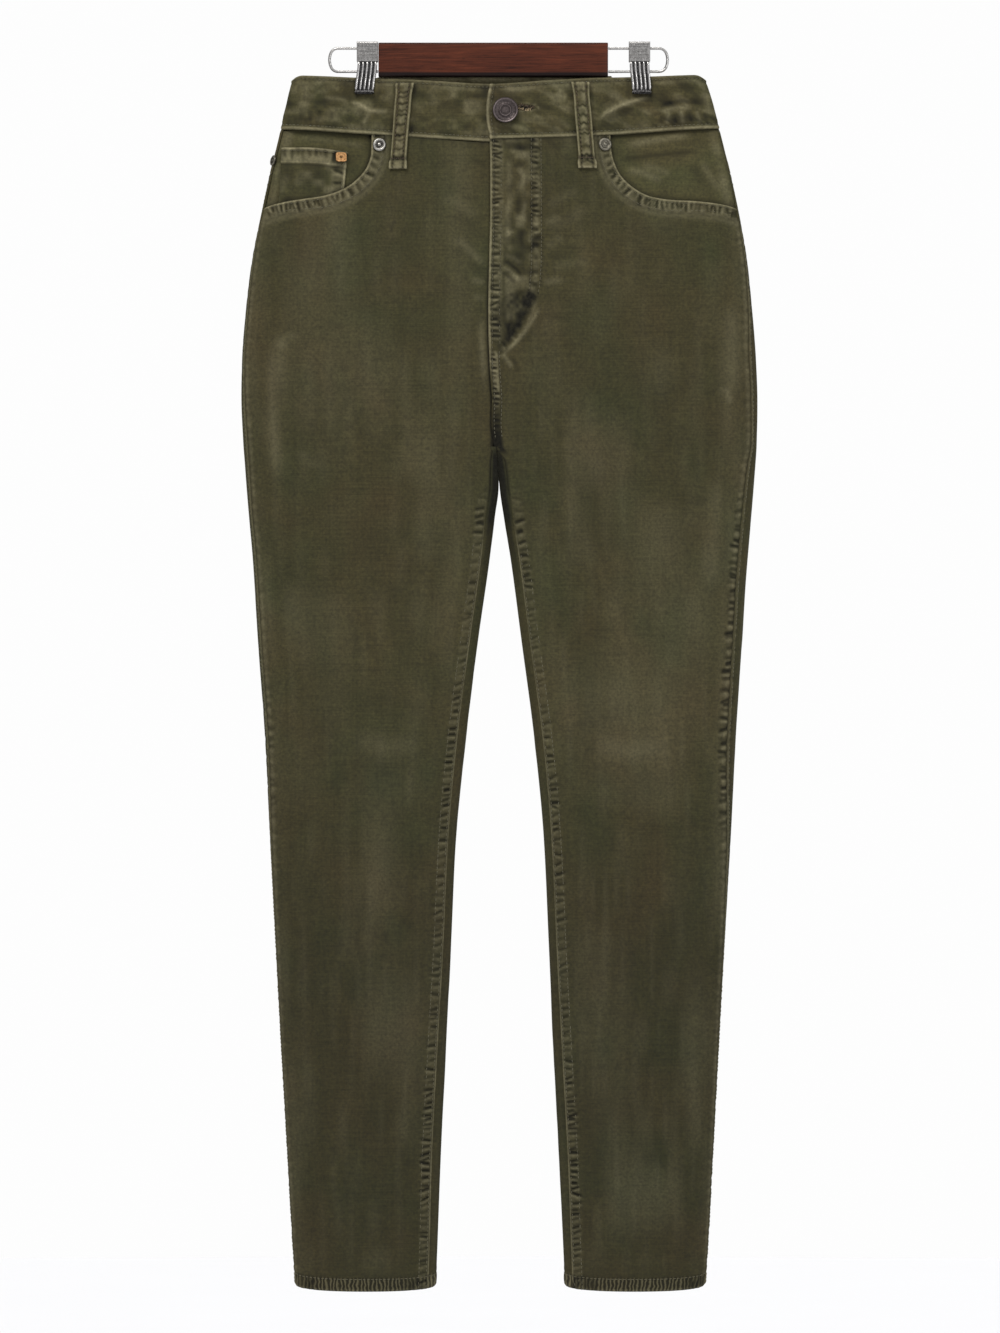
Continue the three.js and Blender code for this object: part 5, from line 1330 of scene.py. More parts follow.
BAND_STROKES = [  # picture places; width, height, lightening (wear and painted highlight), painted shade
    ([(322, 99), (336, 99), (350, 101)], 2.2, 0.55, 0.22, 0.0),
    ([(348, 101), (359, 105), (370, 111), (382, 112), (392, 111)], 1.9, 1.0, 0.50, 0.0),
    ([(370, 113), (366, 119), (363, 126)], 2.0, 0.6, 0.30, 0.0),
    ([(356, 110), (362, 114), (366, 121)], 2.6, -0.7, 0.0, 0.28),
    ([(300, 96), (318, 101), (336, 104)], 3.0, -0.6, 0.0, 0.22),
    ([(302, 108), (302, 116), (300, 124)], 1.9, -0.7, 0.0, 0.42),
    ([(311, 110), (311, 117), (310, 123)], 1.9, -0.7, 0.0, 0.46),
    ([(320, 109), (320, 116), (319, 122)], 1.9, -0.6, 0.0, 0.38),
    ([(332, 111), (332, 117), (331, 123)], 2.0, -0.7, 0.0, 0.44),
    ([(371, 96), (374, 102), (378, 108)], 3.0, -0.6, 0.0, 0.25),
    ([(596, 124), (604, 115), (614, 109), (628, 103), (642, 99), (654, 96)], 2.0, 1.4, 0.55, 0.0),
    ([(598, 129), (610, 120), (624, 112), (640, 107)], 3.2, -0.9, 0.0, 0.30),
    ([(592, 110), (604, 104), (620, 97)], 3.4, -0.8, 0.0, 0.20),
    ([(656, 107), (674, 102), (690, 102), (704, 105)], 2.0, -0.8, 0.0, 0.55),
    ([(658, 113), (676, 108), (694, 109)], 2.2, 0.5, 0.30, 0.0),
    ([(668, 112), (668, 119), (667, 126)], 1.8, 0.6, 0.34, 0.0),
    ([(680, 110), (682, 118), (683, 126)], 1.8, 0.6, 0.36, 0.0),
    ([(674, 113), (675, 119), (675, 126)], 1.7, -0.5, 0.0, 0.42),
    ([(688, 111), (690, 118), (692, 125)], 1.8, -0.5, 0.0, 0.42),
    ([(662, 116), (661, 121), (660, 127)], 1.6, -0.5, 0.0, 0.34),
    ([(696, 110), (698, 118), (700, 126)], 1.6, 0.5, 0.26, 0.0),
    ([(703, 112), (706, 119), (708, 126)], 1.8, -0.5, 0.0, 0.4),
    ([(702, 92), (706, 102), (710, 112)], 3.0, 0.5, 0.2, 0.0),
    ([(556, 92), (561, 97), (568, 100)], 3.0, 0.5, 0.28, 0.0),
    ([(538, 126), (554, 129), (572, 127)], 4.0, -0.5, 0.0, 0.20),
    ([(500, 92), (518, 90), (536, 91)], 3.0, 0.4, 0.16, 0.0),
    ([(426, 92), (434, 99), (440, 108)], 3.6, 0.4, 0.10, 0.0),
    ([(470, 96), (478, 105), (482, 116)], 3.6, -0.4, 0.0, 0.16),
    ([(452, 122), (466, 128), (482, 130)], 3.6, -0.4, 0.0, 0.18),
]


def waistband():
    z0 = -55.0
    halves, s_list, face, lift = [], [], [], []

    def columns(half, x_from, x_to, gap, name):
        out = np.linspace(x_from, x_to, max(2, int(round(abs(x_to - x_from) / gap)) + 1))
        return [(half, float(v), name) for v in out]

    inner = float(section("innerL", z0))
    cols = [("left", inner + v, "under") for v in np.linspace(UNDERLAP, 1.5, 22)]
    xr_in, xr_out = float(section("innerR", z0)), float(section("outerR", z0))
    xl_in, xl_out = float(section("innerL", z0)), float(section("outerL", z0))
    at = lambda half, s: float(on_loop(half, np.array([s]), np.array([z0]))[0, 0])
    cols += columns("right", at("right", 0.985), xr_out + 5, 1.35, "front")
    cols += [("right", xr_out + v, "front") for v in (3.6, 2.4, 1.4, 0.6, 0.15)] + [("right", xr_out, "back")] + [("right", xr_out + v, "back") for v in (0.15, 0.6, 1.4, 2.4, 3.6)]
    cols += columns("right", xr_out + 5, xr_in - 0.4, 2.2, "back")
    cols += columns("left", xl_in + 0.4, xl_out - 5, 2.2, "back")
    cols += [("left", xl_out - v, "back") for v in (3.6, 2.4, 1.4, 0.6, 0.15)] + [("left", xl_out, "front")] + [("left", xl_out - v, "front") for v in (0.15, 0.6, 1.4, 2.4, 3.6)]
    cols += columns("left", xl_out - 5, at("left", 1.0), 1.3, "front")
    while (len(cols) - 1) % 3:
        cols.insert(24, (cols[23][0], (cols[23][1] + cols[24][1]) / 2, cols[23][2])) if cols[23][0] == cols[24][0] else cols.insert(30, (cols[29][0], (cols[29][1] + cols[30][1]) / 2, cols[29][2]))
    half_id = np.array([0 if c[0] == "right" else 1 for c in cols])
    x0 = np.array([c[1] for c in cols])
    kind = np.array([{"under": 0, "front": 1, "back": 2}[c[2]] for c in cols])
    s0 = np.empty(len(cols))
    for k, (half, x, what) in enumerate(cols):
        s = float(s_of_x(half, np.array(x), np.array(z0), "back" if what == "back" else "front"))
        s0[k] = min(s, 1.0) if what != "back" else max(s, WALL_END)
    # fronts of the left half come after its back
    rows = 45
    v = np.linspace(0, 1, rows)[:, None]
    top = np.where(kind == 2, through(BAND_TOP_BACK, x0), through(BAND_TOP_FRONT, x0))
    corner = np.minimum(np.abs(x0 - xr_out), np.abs(x0 - xl_out))
    top = top - 3.6 * np.clip(1 - corner / 9.0, 0, 1) ** 2.4
    bottom = np.where(kind == 2, through(BAND_BOTTOM["back"], x0), np.where((half_id == 0) | (kind == 0), through(BAND_BOTTOM["right"], x0), through(BAND_BOTTOM["left"], x0)))
    # the two tables meet smoothly over the side
    Z = lerp(top[None], bottom[None], v) + np.where(kind == 0, -0.6, 0.0)[None] * (1 - 2 * v)
    S, H = np.repeat(s0[None], rows, 0), np.repeat(half_id[None], rows, 0)
    base = np.where(H[..., None] == 0, on_loop("right", S, Z), on_loop("left", S, Z))
    n = np.where(H[..., None] == 0, normal("right", S, Z), normal("left", S, Z))
    K = np.repeat(kind[None], rows, 0)
    x = base[..., 0]
    run = arclength(base)
    run = run - run[:, 24:25]
    top_d, foot_d = top[None] - Z, Z - bottom[None]
    seed = 600
    h, wear_and_highlight, dark = (np.zeros(S.shape) for _ in range(3))
    front = K == 1
    h += 0.35 * noise2(run, Z, seed, 34, 22) + 0.12 * noise2(run, Z, seed + 1, 9, 9)
    # top edge: rolled, stitched 2.5 mm under it, with painted shade in its stitch line and puckers
    p = Puckers(-60, 760, 7.0, seed + 2, near=0.6, far=6.0, uneven=0.5)(run, top_d)
    h += 0.35 * bell(top_d - 1.2, 1.3) - 0.55 * (1 - smooth(top_d / 0.9)) - 0.28 * bell(top_d - 3.0, 0.8) - 0.35 * p
    wear_and_highlight += (0.46 * bell(top_d - 0.5, 1.3) + 0.12 * bell(top_d - 5, 2.4)) * (0.75 + 0.25 * noise1(run, seed + 3, 12))
    dark += 0.28 * bell(top_d - 3.2, 0.8) + 0.3 * p
    # foot: seam edge that stands proud and is lighter, rubbed and given a painted highlight, with painted shade in a
    # line below it and in its puckers
    p = Puckers(-60, 760, 6.2, seed + 4, near=3.0, far=13.5, uneven=0.55, strength=lambda a: 0.55)(run, foot_d)
    side = np.repeat(smooth(corner / 7.0)[None], rows, 0)
    h += 0.62 * side * bell(foot_d - 1.5, 1.5) - 0.7 * (1 - smooth(foot_d / 0.8)) - 0.32 * bell(foot_d - 4.2, 0.9) - 0.45 * p
    wear_and_highlight += 0.86 * bell(foot_d - 1.25, 1.15) * (0.82 + 0.18 * noise1(run, seed + 5, 8))
    rubbed = noise2(run, Z, seed + 10, 13, 6.5) + 0.5 * noise2(run, Z, seed + 11, 5.5, 3.5)
    wear_and_highlight += 0.25 * np.clip(rubbed, 0, 1) * smooth(foot_d / 6) * smooth(top_d / 5)
    dark += 0.54 * np.clip(-rubbed - 0.1, 0, 1) * smooth(foot_d / 6) * smooth(top_d / 5)
    dark += 0.32 * bell(foot_d - 4.3, 1.0) * (0.7 + 0.3 * noise1(run, seed + 6, 4)) + 0.5 * p
    # lapped end on the left, its edge lighter, and painted shade along the stitches beside it
    end_d = run[:, -1:] - run
    h += 0.75 * bell(end_d - 1.5, 1.3) - 0.8 * (1 - smooth(end_d / 0.8)) - 0.35 * bell(end_d - 4.4, 0.9)
    wear_and_highlight += 0.92 * bell(end_d - 1.2, 1.25)
    dark += 0.35 * bell(end_d - 4.6, 1.0)
    # shadow that the lapped end throws on the right front, and painted shade in the hollow round the button
    under_button = front & (H == 1)
    bd = np.hypot(x - 5.4, Z + 58.3)
    h += under_button * (-0.55 * bell(bd, 12.5))
    dark += under_button * 0.36 * bell(bd - 13, 4.5)
    start_d = run
    dark += (front & (H == 0)) * 0.3 * bell(start_d, 3.0)
    # buttonhole: a worn slit beyond the button, painted near black inside as shade
    slit_x, slit_z = px(524, 108.5)
    sx, sz = (x - slit_x) / 8.6, (Z - slit_z) / 2.1
    hole = under_button * np.clip(1.25 - np.hypot(sx, sz), 0, 1)
    rim = under_button * bell(np.hypot(sx * 0.92, sz * 0.72) - 1.25, 0.28)
    fray = noise2(x, Z, seed + 7, 1.6, 1.2)
    h += -1.3 * smooth(hole * 2) + 0.55 * rim * (0.7 + 0.5 * fray)
    dark += 0.95 * smooth(hole * 2.4) + 0.3 * rim * np.clip(fray, 0, 1)
    wear_and_highlight += 0.34 * rim * np.clip(-fray + 0.3, 0, 1)
    for pts, width, height, w, k in BAND_STROKES:
        t = stroke(x, Z, [px(*q) for q in pts], width) * front
        h, wear_and_highlight, dark = h + height * t, wear_and_highlight + w * t, dark + k * t
    # under each clip the cloth is squeezed and throws folds down from it, with painted shade along the clip's sides and
    # under it
    for c, cx in enumerate(CLIP_AT):
        gripped = bell(np.abs(x - cx) - 0, 9.5) * smooth((Z + 50) / 8)
        h -= 0.5 * gripped
        dark += 0.35 * bell(np.abs(np.abs(x - cx) - 9.8), 1.6) * smooth((Z + 47) / 4) + 0.25 * bell(Z + 45.5, 1.8) * (np.abs(x - cx) < 10)
    # beside the front belt loops the cloth dips, with painted shade
    for lx, half_l in ((-79.4, 0), (68.8, 1)):
        lean = -6 if half_l == 0 else 6
        centre = lx + lean * (band_top(np.array(lx), "front") - 3.2 - Z) / LOOP_LENGTH
        off = np.abs(x - centre)
        dark += front * 0.30 * bell(off - 8.6, 1.6) * smooth((top_d - 3) / 2)
        h -= front * 0.35 * bell(off - 8.8, 2.0) * smooth((top_d - 3) / 2)
    # painted light on the back band's inside just under the bar, which lies in the bar's shade
    wear_and_highlight += (K == 2) * 1.1 * smooth((8.5 - top_d) / 3) * (0.75 + 0.35 * noise1(run, seed + 12, 9))
    tone = 0.8 * noise2(run, Z, seed + 8, 30, 22) + 0.5 * noise2(run, Z, seed + 9, 11, 12)
    # the underlap under the lapped end: tinted greener and painted darker as shade
    tone = np.where(K == 0, tone - 0.6, tone)
    dark = np.where(K == 0, dark * 0.5 + 0.25, dark)
    h = np.where(K == 0, h * 0.3, h)
    h = np.where((K == 1) & (H == 0) & (run < 26) & (run > -2), h * 0.55 - 0.15, h)
    lift = np.where(K == 0, BAND_PROUD - BAND_WALL - GAP, BAND_PROUD - 0.45 * (1 - side))
    bow = np.sin(np.pi * np.clip((v - 0.02) / 0.96, 0, 1)) * smooth((26 - end_d) / 26)
    lift = lift + 0.9 * bow * smooth((12 - end_d) / 8)
    outer = base + n * (lift + h)[..., None]
    inner_face = base + n * (lift - BAND_WALL)[..., None] + n * (np.minimum(h, 0) * 0.3)[..., None]
    for side_face in (outer, inner_face):
        side_face[..., 0] -= 3.0 * bow
    beside = (K == 2) * smooth((Z + 33.5) / 2.5) * smooth((x - BAR["left"] + 6) / 4) * smooth((BAR["right"] + 6 - x) / 4)
    push = np.maximum(0, 6.7 - inner_face[..., 1]) * beside
    outer[..., 1] += push
    inner_face[..., 1] += push
    inner_face = inner_face[::4, ::3]
    attrs = {"wear_and_highlight": np.clip(wear_and_highlight, 0, 1), "dark": np.clip(dark, 0, 1), "tone": tone, "across": run}
    return build("waistband_cloth", slab(outer, inner_face, 4, 3, attrs), BAND_CLOTH), outer, n, {"top": top_d, "foot": foot_d, "end": end_d + 0 * Z, "kind": K, "half": H}


# ------------------------------------------------------------------ pockets
def facing(half, under):
    sign = SIDES[half][3]
    inner = -100.0 if half == "right" else 86.0
    n_c, n_r = 64, 48
    u = np.linspace(0, 1, n_c + 1)[None] ** 1.25
    v = np.linspace(0, 1, n_r + 1)[:, None]
    edge = lambda z: section(SIDES[half][0], z) - sign * (section(SIDES[half][2], z) + 0.4)
    top_x = lerp(edge(np.array(-80.0)), inner, u)
    foot = lerp(-143.6, -128.0, u)
    Z = lerp(band_bottom(half, top_x) + 6.0, foot, v)
    X = lerp(edge(np.minimum(Z, -70.0)), inner, u)
    S = s_of_x(half, X, Z)
    seed = 640 if half == "right" else 660
    h, wear_and_highlight, dark = (np.zeros(S.shape) for _ in range(3))
    h += 0.25 * noise2(X, Z, seed, 30, 16)
    below = band_bottom(half, X) - GAP - Z
    # painted shade under the waistband
    dark += 0.6 * bell(below, 2.0)
    h -= 0.2 * bell(below, 2.0)
    # its edge in the side seam, with a line of painted shade at it
    c0 = np.abs(X - edge(np.minimum(Z, -70.0)))
    shown = smooth((below + 1.0) / 2.0)
    wear_and_highlight += 0.22 * bell(c0 - 5, 4.0) * shown * (0.7 + 0.5 * noise1(Z, seed + 9, 9))
    dark += 0.12 * bell(c0 - 0.3, 0.9)
    rise = (under - (0.9 if half == "right" else 0.1)) * smooth((10.0 - c0) / 10.0) * shown
    # painted shade along the pocket's mouth, where the front lies over the facing
    cx, cz = mouth_curve(half)
    d, a = nearest(cx, cz, X, Z, 30)
    dark += 0.55 * bell(d, 3.2) * (Z > -300)
    strokes = {
        "left": [([(612, 163), (630, 158), (652, 155), (680, 153), (706, 151)], 2.6, -0.5, 0.0, 0.55), ([(622, 146), (646, 141), (672, 137), (694, 135)], 3.2, 0.5, 0.26, 0.0),
                 ([(624, 170), (642, 172), (664, 182)], 3.4, 0.3, 0.20, 0.0), ([(640, 164), (655, 168), (672, 176)], 3.0, 0.3, 0.14, 0.0), ([(672, 146), (694, 142), (712, 142)], 2.4, -0.3, 0.0, 0.22),
                 ([(700, 160), (712, 178), (722, 194)], 3.4, 0.3, 0.14, 0.0), ([(690, 162), (698, 176), (704, 190)], 5.0, -0.2, 0.0, 0.30)],
        "right": [([(350, 150), (352, 164), (350, 178)], 5.5, -0.3, 0.0, 0.30), ([(330, 141), (350, 143), (366, 146)], 2.6, 0.3, 0.12, 0.0), ([(292, 137), (316, 138), (340, 141)], 3.0, 0.2, 0.10, 0.0)],
    }[half]
    for pts, width, height, w, k in strokes:
        t = stroke(X, Z, [px(*q) for q in pts], width)
        h, wear_and_highlight, dark = h + height * t, wear_and_highlight + w * t, dark + k * t
    tone = 0.7 * noise2(X, Z, seed + 1, 26, 16) - 0.35
    attrs = {"wear_and_highlight": np.clip(wear_and_highlight, 0, 1), "dark": np.clip(dark, 0, 1), "tone": tone, "across": np.abs(X)}
    return cloth("pocket_facing_" + half + "_cloth", half, S, Z, np.minimum(h, 0.5) - 0.1 + rise, WALL, 4, 4, attrs, FACING_CLOTH, out=-under)


def coin_pocket(under):
    corner = np.array([[-184.6, -89.0], [-127.8, -92.6], [-132.4, -142.0], [-187.0, -139.2]])
    n_c, n_r = 52, 48
    u = np.linspace(0, 1, n_c + 1)[None]
    ue = u ** 1.12
    v = np.linspace(0, 1, n_r + 1)[:, None]
    lean = lambda k, a, b: corner[a][k] + (corner[b][k] - corner[a][k]) * ue
    # the top edge bows up a little
    Z = lerp(lean(1, 0, 1) + 1.5 * np.sin(np.pi * ue), lean(1, 3, 2), v)
    X = lerp(lean(0, 0, 1), lean(0, 3, 2), v)
    S = s_of_x("right", X, Z)
    base = on_loop("right", S, Z)
    along = arclength(base)
    seed = 680
    top_d = (Z[:1] - Z) * 1.0
    right_d = np.abs(X - X[:, -1:])
    h, wear_and_highlight, dark = (np.zeros(S.shape) for _ in range(3))
    h += 0.22 * noise2(X, Z, seed, 18, 14)
    # hem of the top, with painted shade in its puckers and stitch lines
    p = Puckers(-200, -120, 5.6, seed + 1, near=1.8, far=12.5, uneven=0.35)(X, top_d)
    band = smooth((13.5 - top_d) / 1.6)
    h += 0.32 * band + 0.45 * bell(top_d - 1.1, 1.1) - 0.6 * (1 - smooth(top_d / 0.8)) - 0.6 * p * band + 0.35 * bell(top_d - 12.6, 1.0) - 0.3 * bell(top_d - 14.6, 0.8)
    wear_and_highlight += 0.74 * bell(top_d - 1.0, 1.1) + 0.46 * bell(top_d - 12.7, 0.95) + 0.18 * band * (1 - np.minimum(1, 1.3 * p))
    rubbed = noise2(X, Z, seed + 7, 9, 7)
    wear_and_highlight += 0.22 * np.clip(rubbed, 0, 1)
    dark += 0.40 * np.clip(-rubbed, 0, 1)
    wear_and_highlight += 0.16 * np.clip(rubbed, 0, 1)
    dark += 0.5 * p * band + 0.25 * bell(top_d - 2.9, 0.6) + 0.34 * bell(top_d - 14.8, 1.0)
    # inner edge, folded under and stitched, with puckers across it and painted shade in them
    p = Puckers(92, 146, 5.4, seed + 2, near=2.2, far=16.5, uneven=0.6)(-Z, right_d)
    low = smooth((top_d - 12) / 3)
    h += 0.5 * bell(right_d - 1.2, 1.1) - 0.7 * (1 - smooth(right_d / 0.7)) - 0.85 * p * low
    wear_and_highlight += 0.62 * bell(right_d - 1.0, 1.0) + 0.22 * smooth((14 - right_d) / 4) * (1 - np.minimum(1, 1.4 * p)) * low
    dark += 0.7 * p * low + 0.25 * bell(right_d - 3.1, 0.6)
    # painted shade in its hollow middle, which is also tinted greener
    hx, hz = px(311, 180)
    hollow = bell(np.hypot((X - hx) / 1.7, Z - hz), 11)
    dark += 0.30 * hollow
    t = stroke(X, Z, [px(279, 172), px(278, 182), px(274, 196)], 1.8)
    wear_and_highlight += 0.32 * t
    h += 0.3 * t
    t = stroke(X, Z, [px(288, 173), px(284, 184), px(279, 196)], 3.0)
    wear_and_highlight += 0.14 * t
    # painted shade round its outer rivet
    rd = np.hypot(X + 133.8, Z + 97.3)
    dark += 0.4 * bell(rd - 6.0, 1.8)
    # painted shade along the pocket's mouth above it and at its left edge
    cx, cz = mouth_curve("right")
    d, a = nearest(cx, cz, X, Z, 30)
    dark += 0.5 * bell(d, 2.8)
    left_d = np.abs(X - X[:, :1])
    h += (under - 0.1) * smooth((11.0 - left_d) / 11.0)
    dark += 0.3 * bell(left_d - 0.3, 0.7) * smooth((13 - top_d) / 3)
    tone = 0.7 * noise2(X, Z, seed + 3, 18, 14) - 0.3 - 0.5 * hollow
    attrs = {"wear_and_highlight": np.clip(wear_and_highlight, 0, 1), "dark": np.clip(dark, 0, 1), "tone": tone, "across": along}
    return cloth("coin_pocket_cloth", "right", S, Z, h, PATCH_WALL, 4, 4, attrs, BAND_CLOTH, out=-under)


def fly_shield():
    n_r, n_c = 88, 20
    v = np.linspace(0, 1, n_r + 1)[:, None]
    u = np.linspace(0, 1, n_c + 1)[None]
    Z = np.repeat(lerp(-88, -262, v), n_c + 1, 1)
    X = section("innerL", Z) + lerp(-5, 26, u) * lerp(1, 0.75, v)
    base = np.where((X < section("innerL", Z))[..., None], on_front("right", X, Z), on_front("left", X, Z))
    n = np.where((X < section("innerL", Z))[..., None], front_normal("right", X, Z), front_normal("left", X, Z))
    h = 0.15 * noise2(X, Z, 700, 9, 14)
    outer = base + n * (h - 2.9)[..., None]
    inner = (base + n * (h * 0 - 4.1)[..., None])[::4, ::4]
    # painted shade all over, as it lies under the fly
    attrs = {"wear_and_highlight": np.zeros(Z.shape), "dark": np.full(Z.shape, 0.4), "tone": 0.5 * noise2(X, Z, 701, 20, 30), "across": X}
    return build("fly_shield_cloth", slab(outer, inner, 4, 4, attrs), FACING_CLOTH)


def back_pocket(half):
    sign, b = SIDES[half][3], BACK_POCKET
    n_r, n_c = 96, 84
    v = np.linspace(0, 1, n_r + 1)[:, None]
    u = np.linspace(0, 1, n_c + 1)[None]
    width = lerp(b["width"], b["foot"], v)
    X = sign * b["centre"] - 2 + (u - 0.5) * width
    Z = b["top"] - v * (b["depth"] - b["point"]) - v * b["point"] * (1 - np.abs(2 * u - 1))
    S = s_of_x(half, X, Z, "back")
    seed = 720 if half == "right" else 740
    side_d = np.minimum(u, 1 - u) * width
    top_d = b["top"] - Z
    foot_d = (1 - v) * (b["depth"] - b["point"]) * 0.99
    edge = np.minimum(side_d, foot_d)
    h, wear_and_highlight, dark = (np.zeros(S.shape) for _ in range(3))
    h += 0.35 * noise2(X, Z, seed, 34, 30) * smooth(edge / 14)
    p1 = Puckers(150, 330, 5.0, seed + 1, near=1.6, far=9.6, uneven=0.45)(-Z, side_d)
    p2 = Puckers(-180, 180, 5.0, seed + 2, near=1.6, far=9.6, uneven=0.45)(X, foot_d)
    p = np.where(side_d < foot_d, p1, p2) * smooth((top_d - 3) / 3)
    body = 0.5 * bell(edge - 1.3, 1.2) - 0.7 * (1 - smooth(edge / 0.8)) - 0.8 * p
    h += body
    wear_and_highlight += 0.66 * bell(edge - 0.9, 1.1) + 0.2 * smooth((9 - edge) / 2) * (1 - np.minimum(1, 1.5 * p))
    # painted shade in the puckers and stitch lines round its edges
    dark += 0.7 * p + 0.25 * bell(edge - 3.0, 0.7) + 0.25 * bell(edge - 9.0, 0.8) + 0.2 * bell(edge - 10.6, 1.0)
    # hem of the pocket's mouth, with painted shade in its puckers and stitch line
    p = Puckers(-180, 180, 6.6, seed + 3, near=1.4, far=18, uneven=0.5)(X, top_d)
    band = smooth((19.5 - top_d) / 2)
    h += 0.35 * band + 0.4 * bell(top_d - 1.4, 1.3) - 0.6 * (1 - smooth(top_d / 0.8)) - 0.55 * p * band - 0.3 * bell(top_d - 20, 0.9)
    wear_and_highlight += 0.6 * bell(top_d - 1.0, 1.2) + 0.14 * band + 0.2 * bell(top_d - 18.6, 1.2)
    dark += 0.42 * p * band + 0.3 * bell(top_d - 20.2, 1.0) + 0.22 * bell(top_d - 3.0, 0.7)
    tone = 0.75 * noise2(X, Z, seed + 4, 34, 34) + 0.45 * noise2(X, Z, seed + 5, 13, 15)
    attrs = {"wear_and_highlight": np.clip(wear_and_highlight, 0, 1), "dark": np.clip(dark, 0, 1), "tone": tone, "across": X}
    S = np.where(S < WALL_END, WALL_END, S)
    return cloth("back_pocket_" + half + "_cloth", half, S, Z, h, b["wall"], 4, 4, attrs, BACK_CLOTH, out=GAP + b["wall"] + 0.3)


# ------------------------------------------------------------------ belt loops
def belt_loop(name, half, x, lean, face):
    seed = 760 + sum(ord(c) for c in name) % 97
    top = float(through(BAND_TOP_FRONT, np.array(x))) - 3.2 if face == "front" else float(through(BAND_TOP_BACK, np.array(x))) - 1.5
    n_r, n_c = 76, 18
    v = np.linspace(0, 1, n_r + 1)[:, None]
    q = np.linspace(-1, 1, n_c + 1)[None]
    q = np.sign(q) * (1 - (1 - np.abs(q)) ** 1.15)
    wide = LOOP_WIDTH / 2 * (0.90 + 0.025 * noise1(v * 60, seed, 7.0) + 0.14 * smooth((v - 0.87) / 0.06) + 0.10 * (1 - smooth(v / 0.16)))
    Z = np.repeat(top - v * LOOP_LENGTH, n_c + 1, 1)
    X = x + lean * v + q * wide
    if face == "front":
        where = np.where(X < section("innerL", Z), 0, 1)
        base = np.where(where[..., None] == 0, on_front("right", X, Z), on_front("left", X, Z))
        n = np.where(where[..., None] == 0, front_normal("right", X, Z), front_normal("left", X, Z))
    else:
        where = np.where(X < section("innerL", Z), 0, 1)
        sr, sl = s_of_x("right", X, Z, "back"), s_of_x("left", X, Z, "back")
        base = np.where(where[..., None] == 0, on_loop("right", np.maximum(sr, WALL_END), Z), on_loop("left", np.maximum(sl, WALL_END), Z))
        n = np.where(where[..., None] == 0, normal("right", np.maximum(sr, WALL_END), Z), normal("left", np.maximum(sl, WALL_END), Z))
    d = v * LOOP_LENGTH
    edge = (1 - np.abs(q)) * LOOP_WIDTH / 2
    bulge = np.interp(v, [0, 0.05, 0.3, 0.6, 0.82, 0.9, 0.955, 1.0], [1.4, 2.1, 2.0, 1.7, 1.5, 1.3, 1.9, 1.2])
    h, wear_and_highlight, dark = (np.zeros(X.shape) for _ in range(3))
    lines = bell(np.abs(q) - 0.58, 0.10)
    p = Puckers(2, 66, 6.6, seed + 1, near=-5, far=30, uneven=0.5, wide=0.62)((d + 1.2 * noise1(q * 9, seed + 7, 3.0)) * np.ones_like(q), np.full(X.shape, 8.0))
    inside = smooth((0.60 - np.abs(q)) / 0.16)
    h += -0.35 * lines + 0.28 * inside * (1 - p) - 0.5 * p * inside + 0.3 * bell(edge - 1.0, 0.9) - 0.55 * (1 - smooth(edge / 0.7))
    dash = smooth((np.sin(2 * np.pi * d / 3.4 + 1.2 * noise1(d, seed + 2, 9)) + 0.15) / 0.5)
    # the stitch lines painted dark, as dark thread and as shade where they sink, and painted shade in the puckers
    # between them
    dark += 0.62 * lines * dash + 0.66 * p * inside + 0.34 * lines
    wear_and_highlight += 0.78 * bell(edge - 0.7, 0.75) + 0.50 * inside * (1 - np.minimum(1, 1.3 * p)) * np.clip(0.6 + 0.55 * noise2(X, Z, seed + 8, 3.4, 5.0), 0, 1)
    dark += 0.34 * np.clip(noise2(X, Z, seed + 6, 2.6, 4.0) - 0.1, 0, 1)
    # folded foot, with its bar of stitches about 9 mm up, in painted shade
    foot_d = (1 - v) * LOOP_LENGTH * np.ones_like(q)
    tack = smooth((np.sin(X * 2.9 + seed) + 0.4) / 0.5)
    h += -0.55 * bell(foot_d - 9.2, 1.1) + 0.5 * bell(foot_d - 4.6, 3.2) - 0.9 * (1 - smooth(foot_d / 1.0)) + 0.3 * bell(foot_d - 12.4, 1.6)
    dark += 0.85 * bell(foot_d - 8.6, 1.9) * (0.65 + 0.35 * tack)
    wear_and_highlight += 0.78 * bell(foot_d - 0.9, 0.9) + 0.18 * bell(foot_d - 4.4, 2.2)
    top_d = d * np.ones_like(q)
    h += 0.3 * bell(top_d - 2.0, 1.8) - 0.7 * (1 - smooth(top_d / 1.0))
    dark += 0.4 * bell(top_d - 4.2, 1.2) * tack
    wear_and_highlight += 0.35 * bell(top_d - 0.8, 1.2)
    tone = 0.7 * noise2(X, Z, seed + 3, 8, 16) + 0.3
    out = BAND_PROUD + GAP + LOOP_WALL
    outer = base + n * (out + bulge * 0.55 + h)[..., None]
    inner = (base + n * np.broadcast_to(BAND_PROUD + GAP + 0.15 + bulge * 0.15 + 0.25, X.shape)[..., None])[::4, ::3]
    attrs = {"wear_and_highlight": np.clip(wear_and_highlight, 0, 1), "dark": np.clip(dark, 0, 1), "tone": tone, "across": X}
    GRIDS[name] = (outer, n, q * np.ones_like(X), foot_d)
    return build(name + "_cloth", slab(outer, inner, 4, 3, attrs), LOOP_CLOTH)


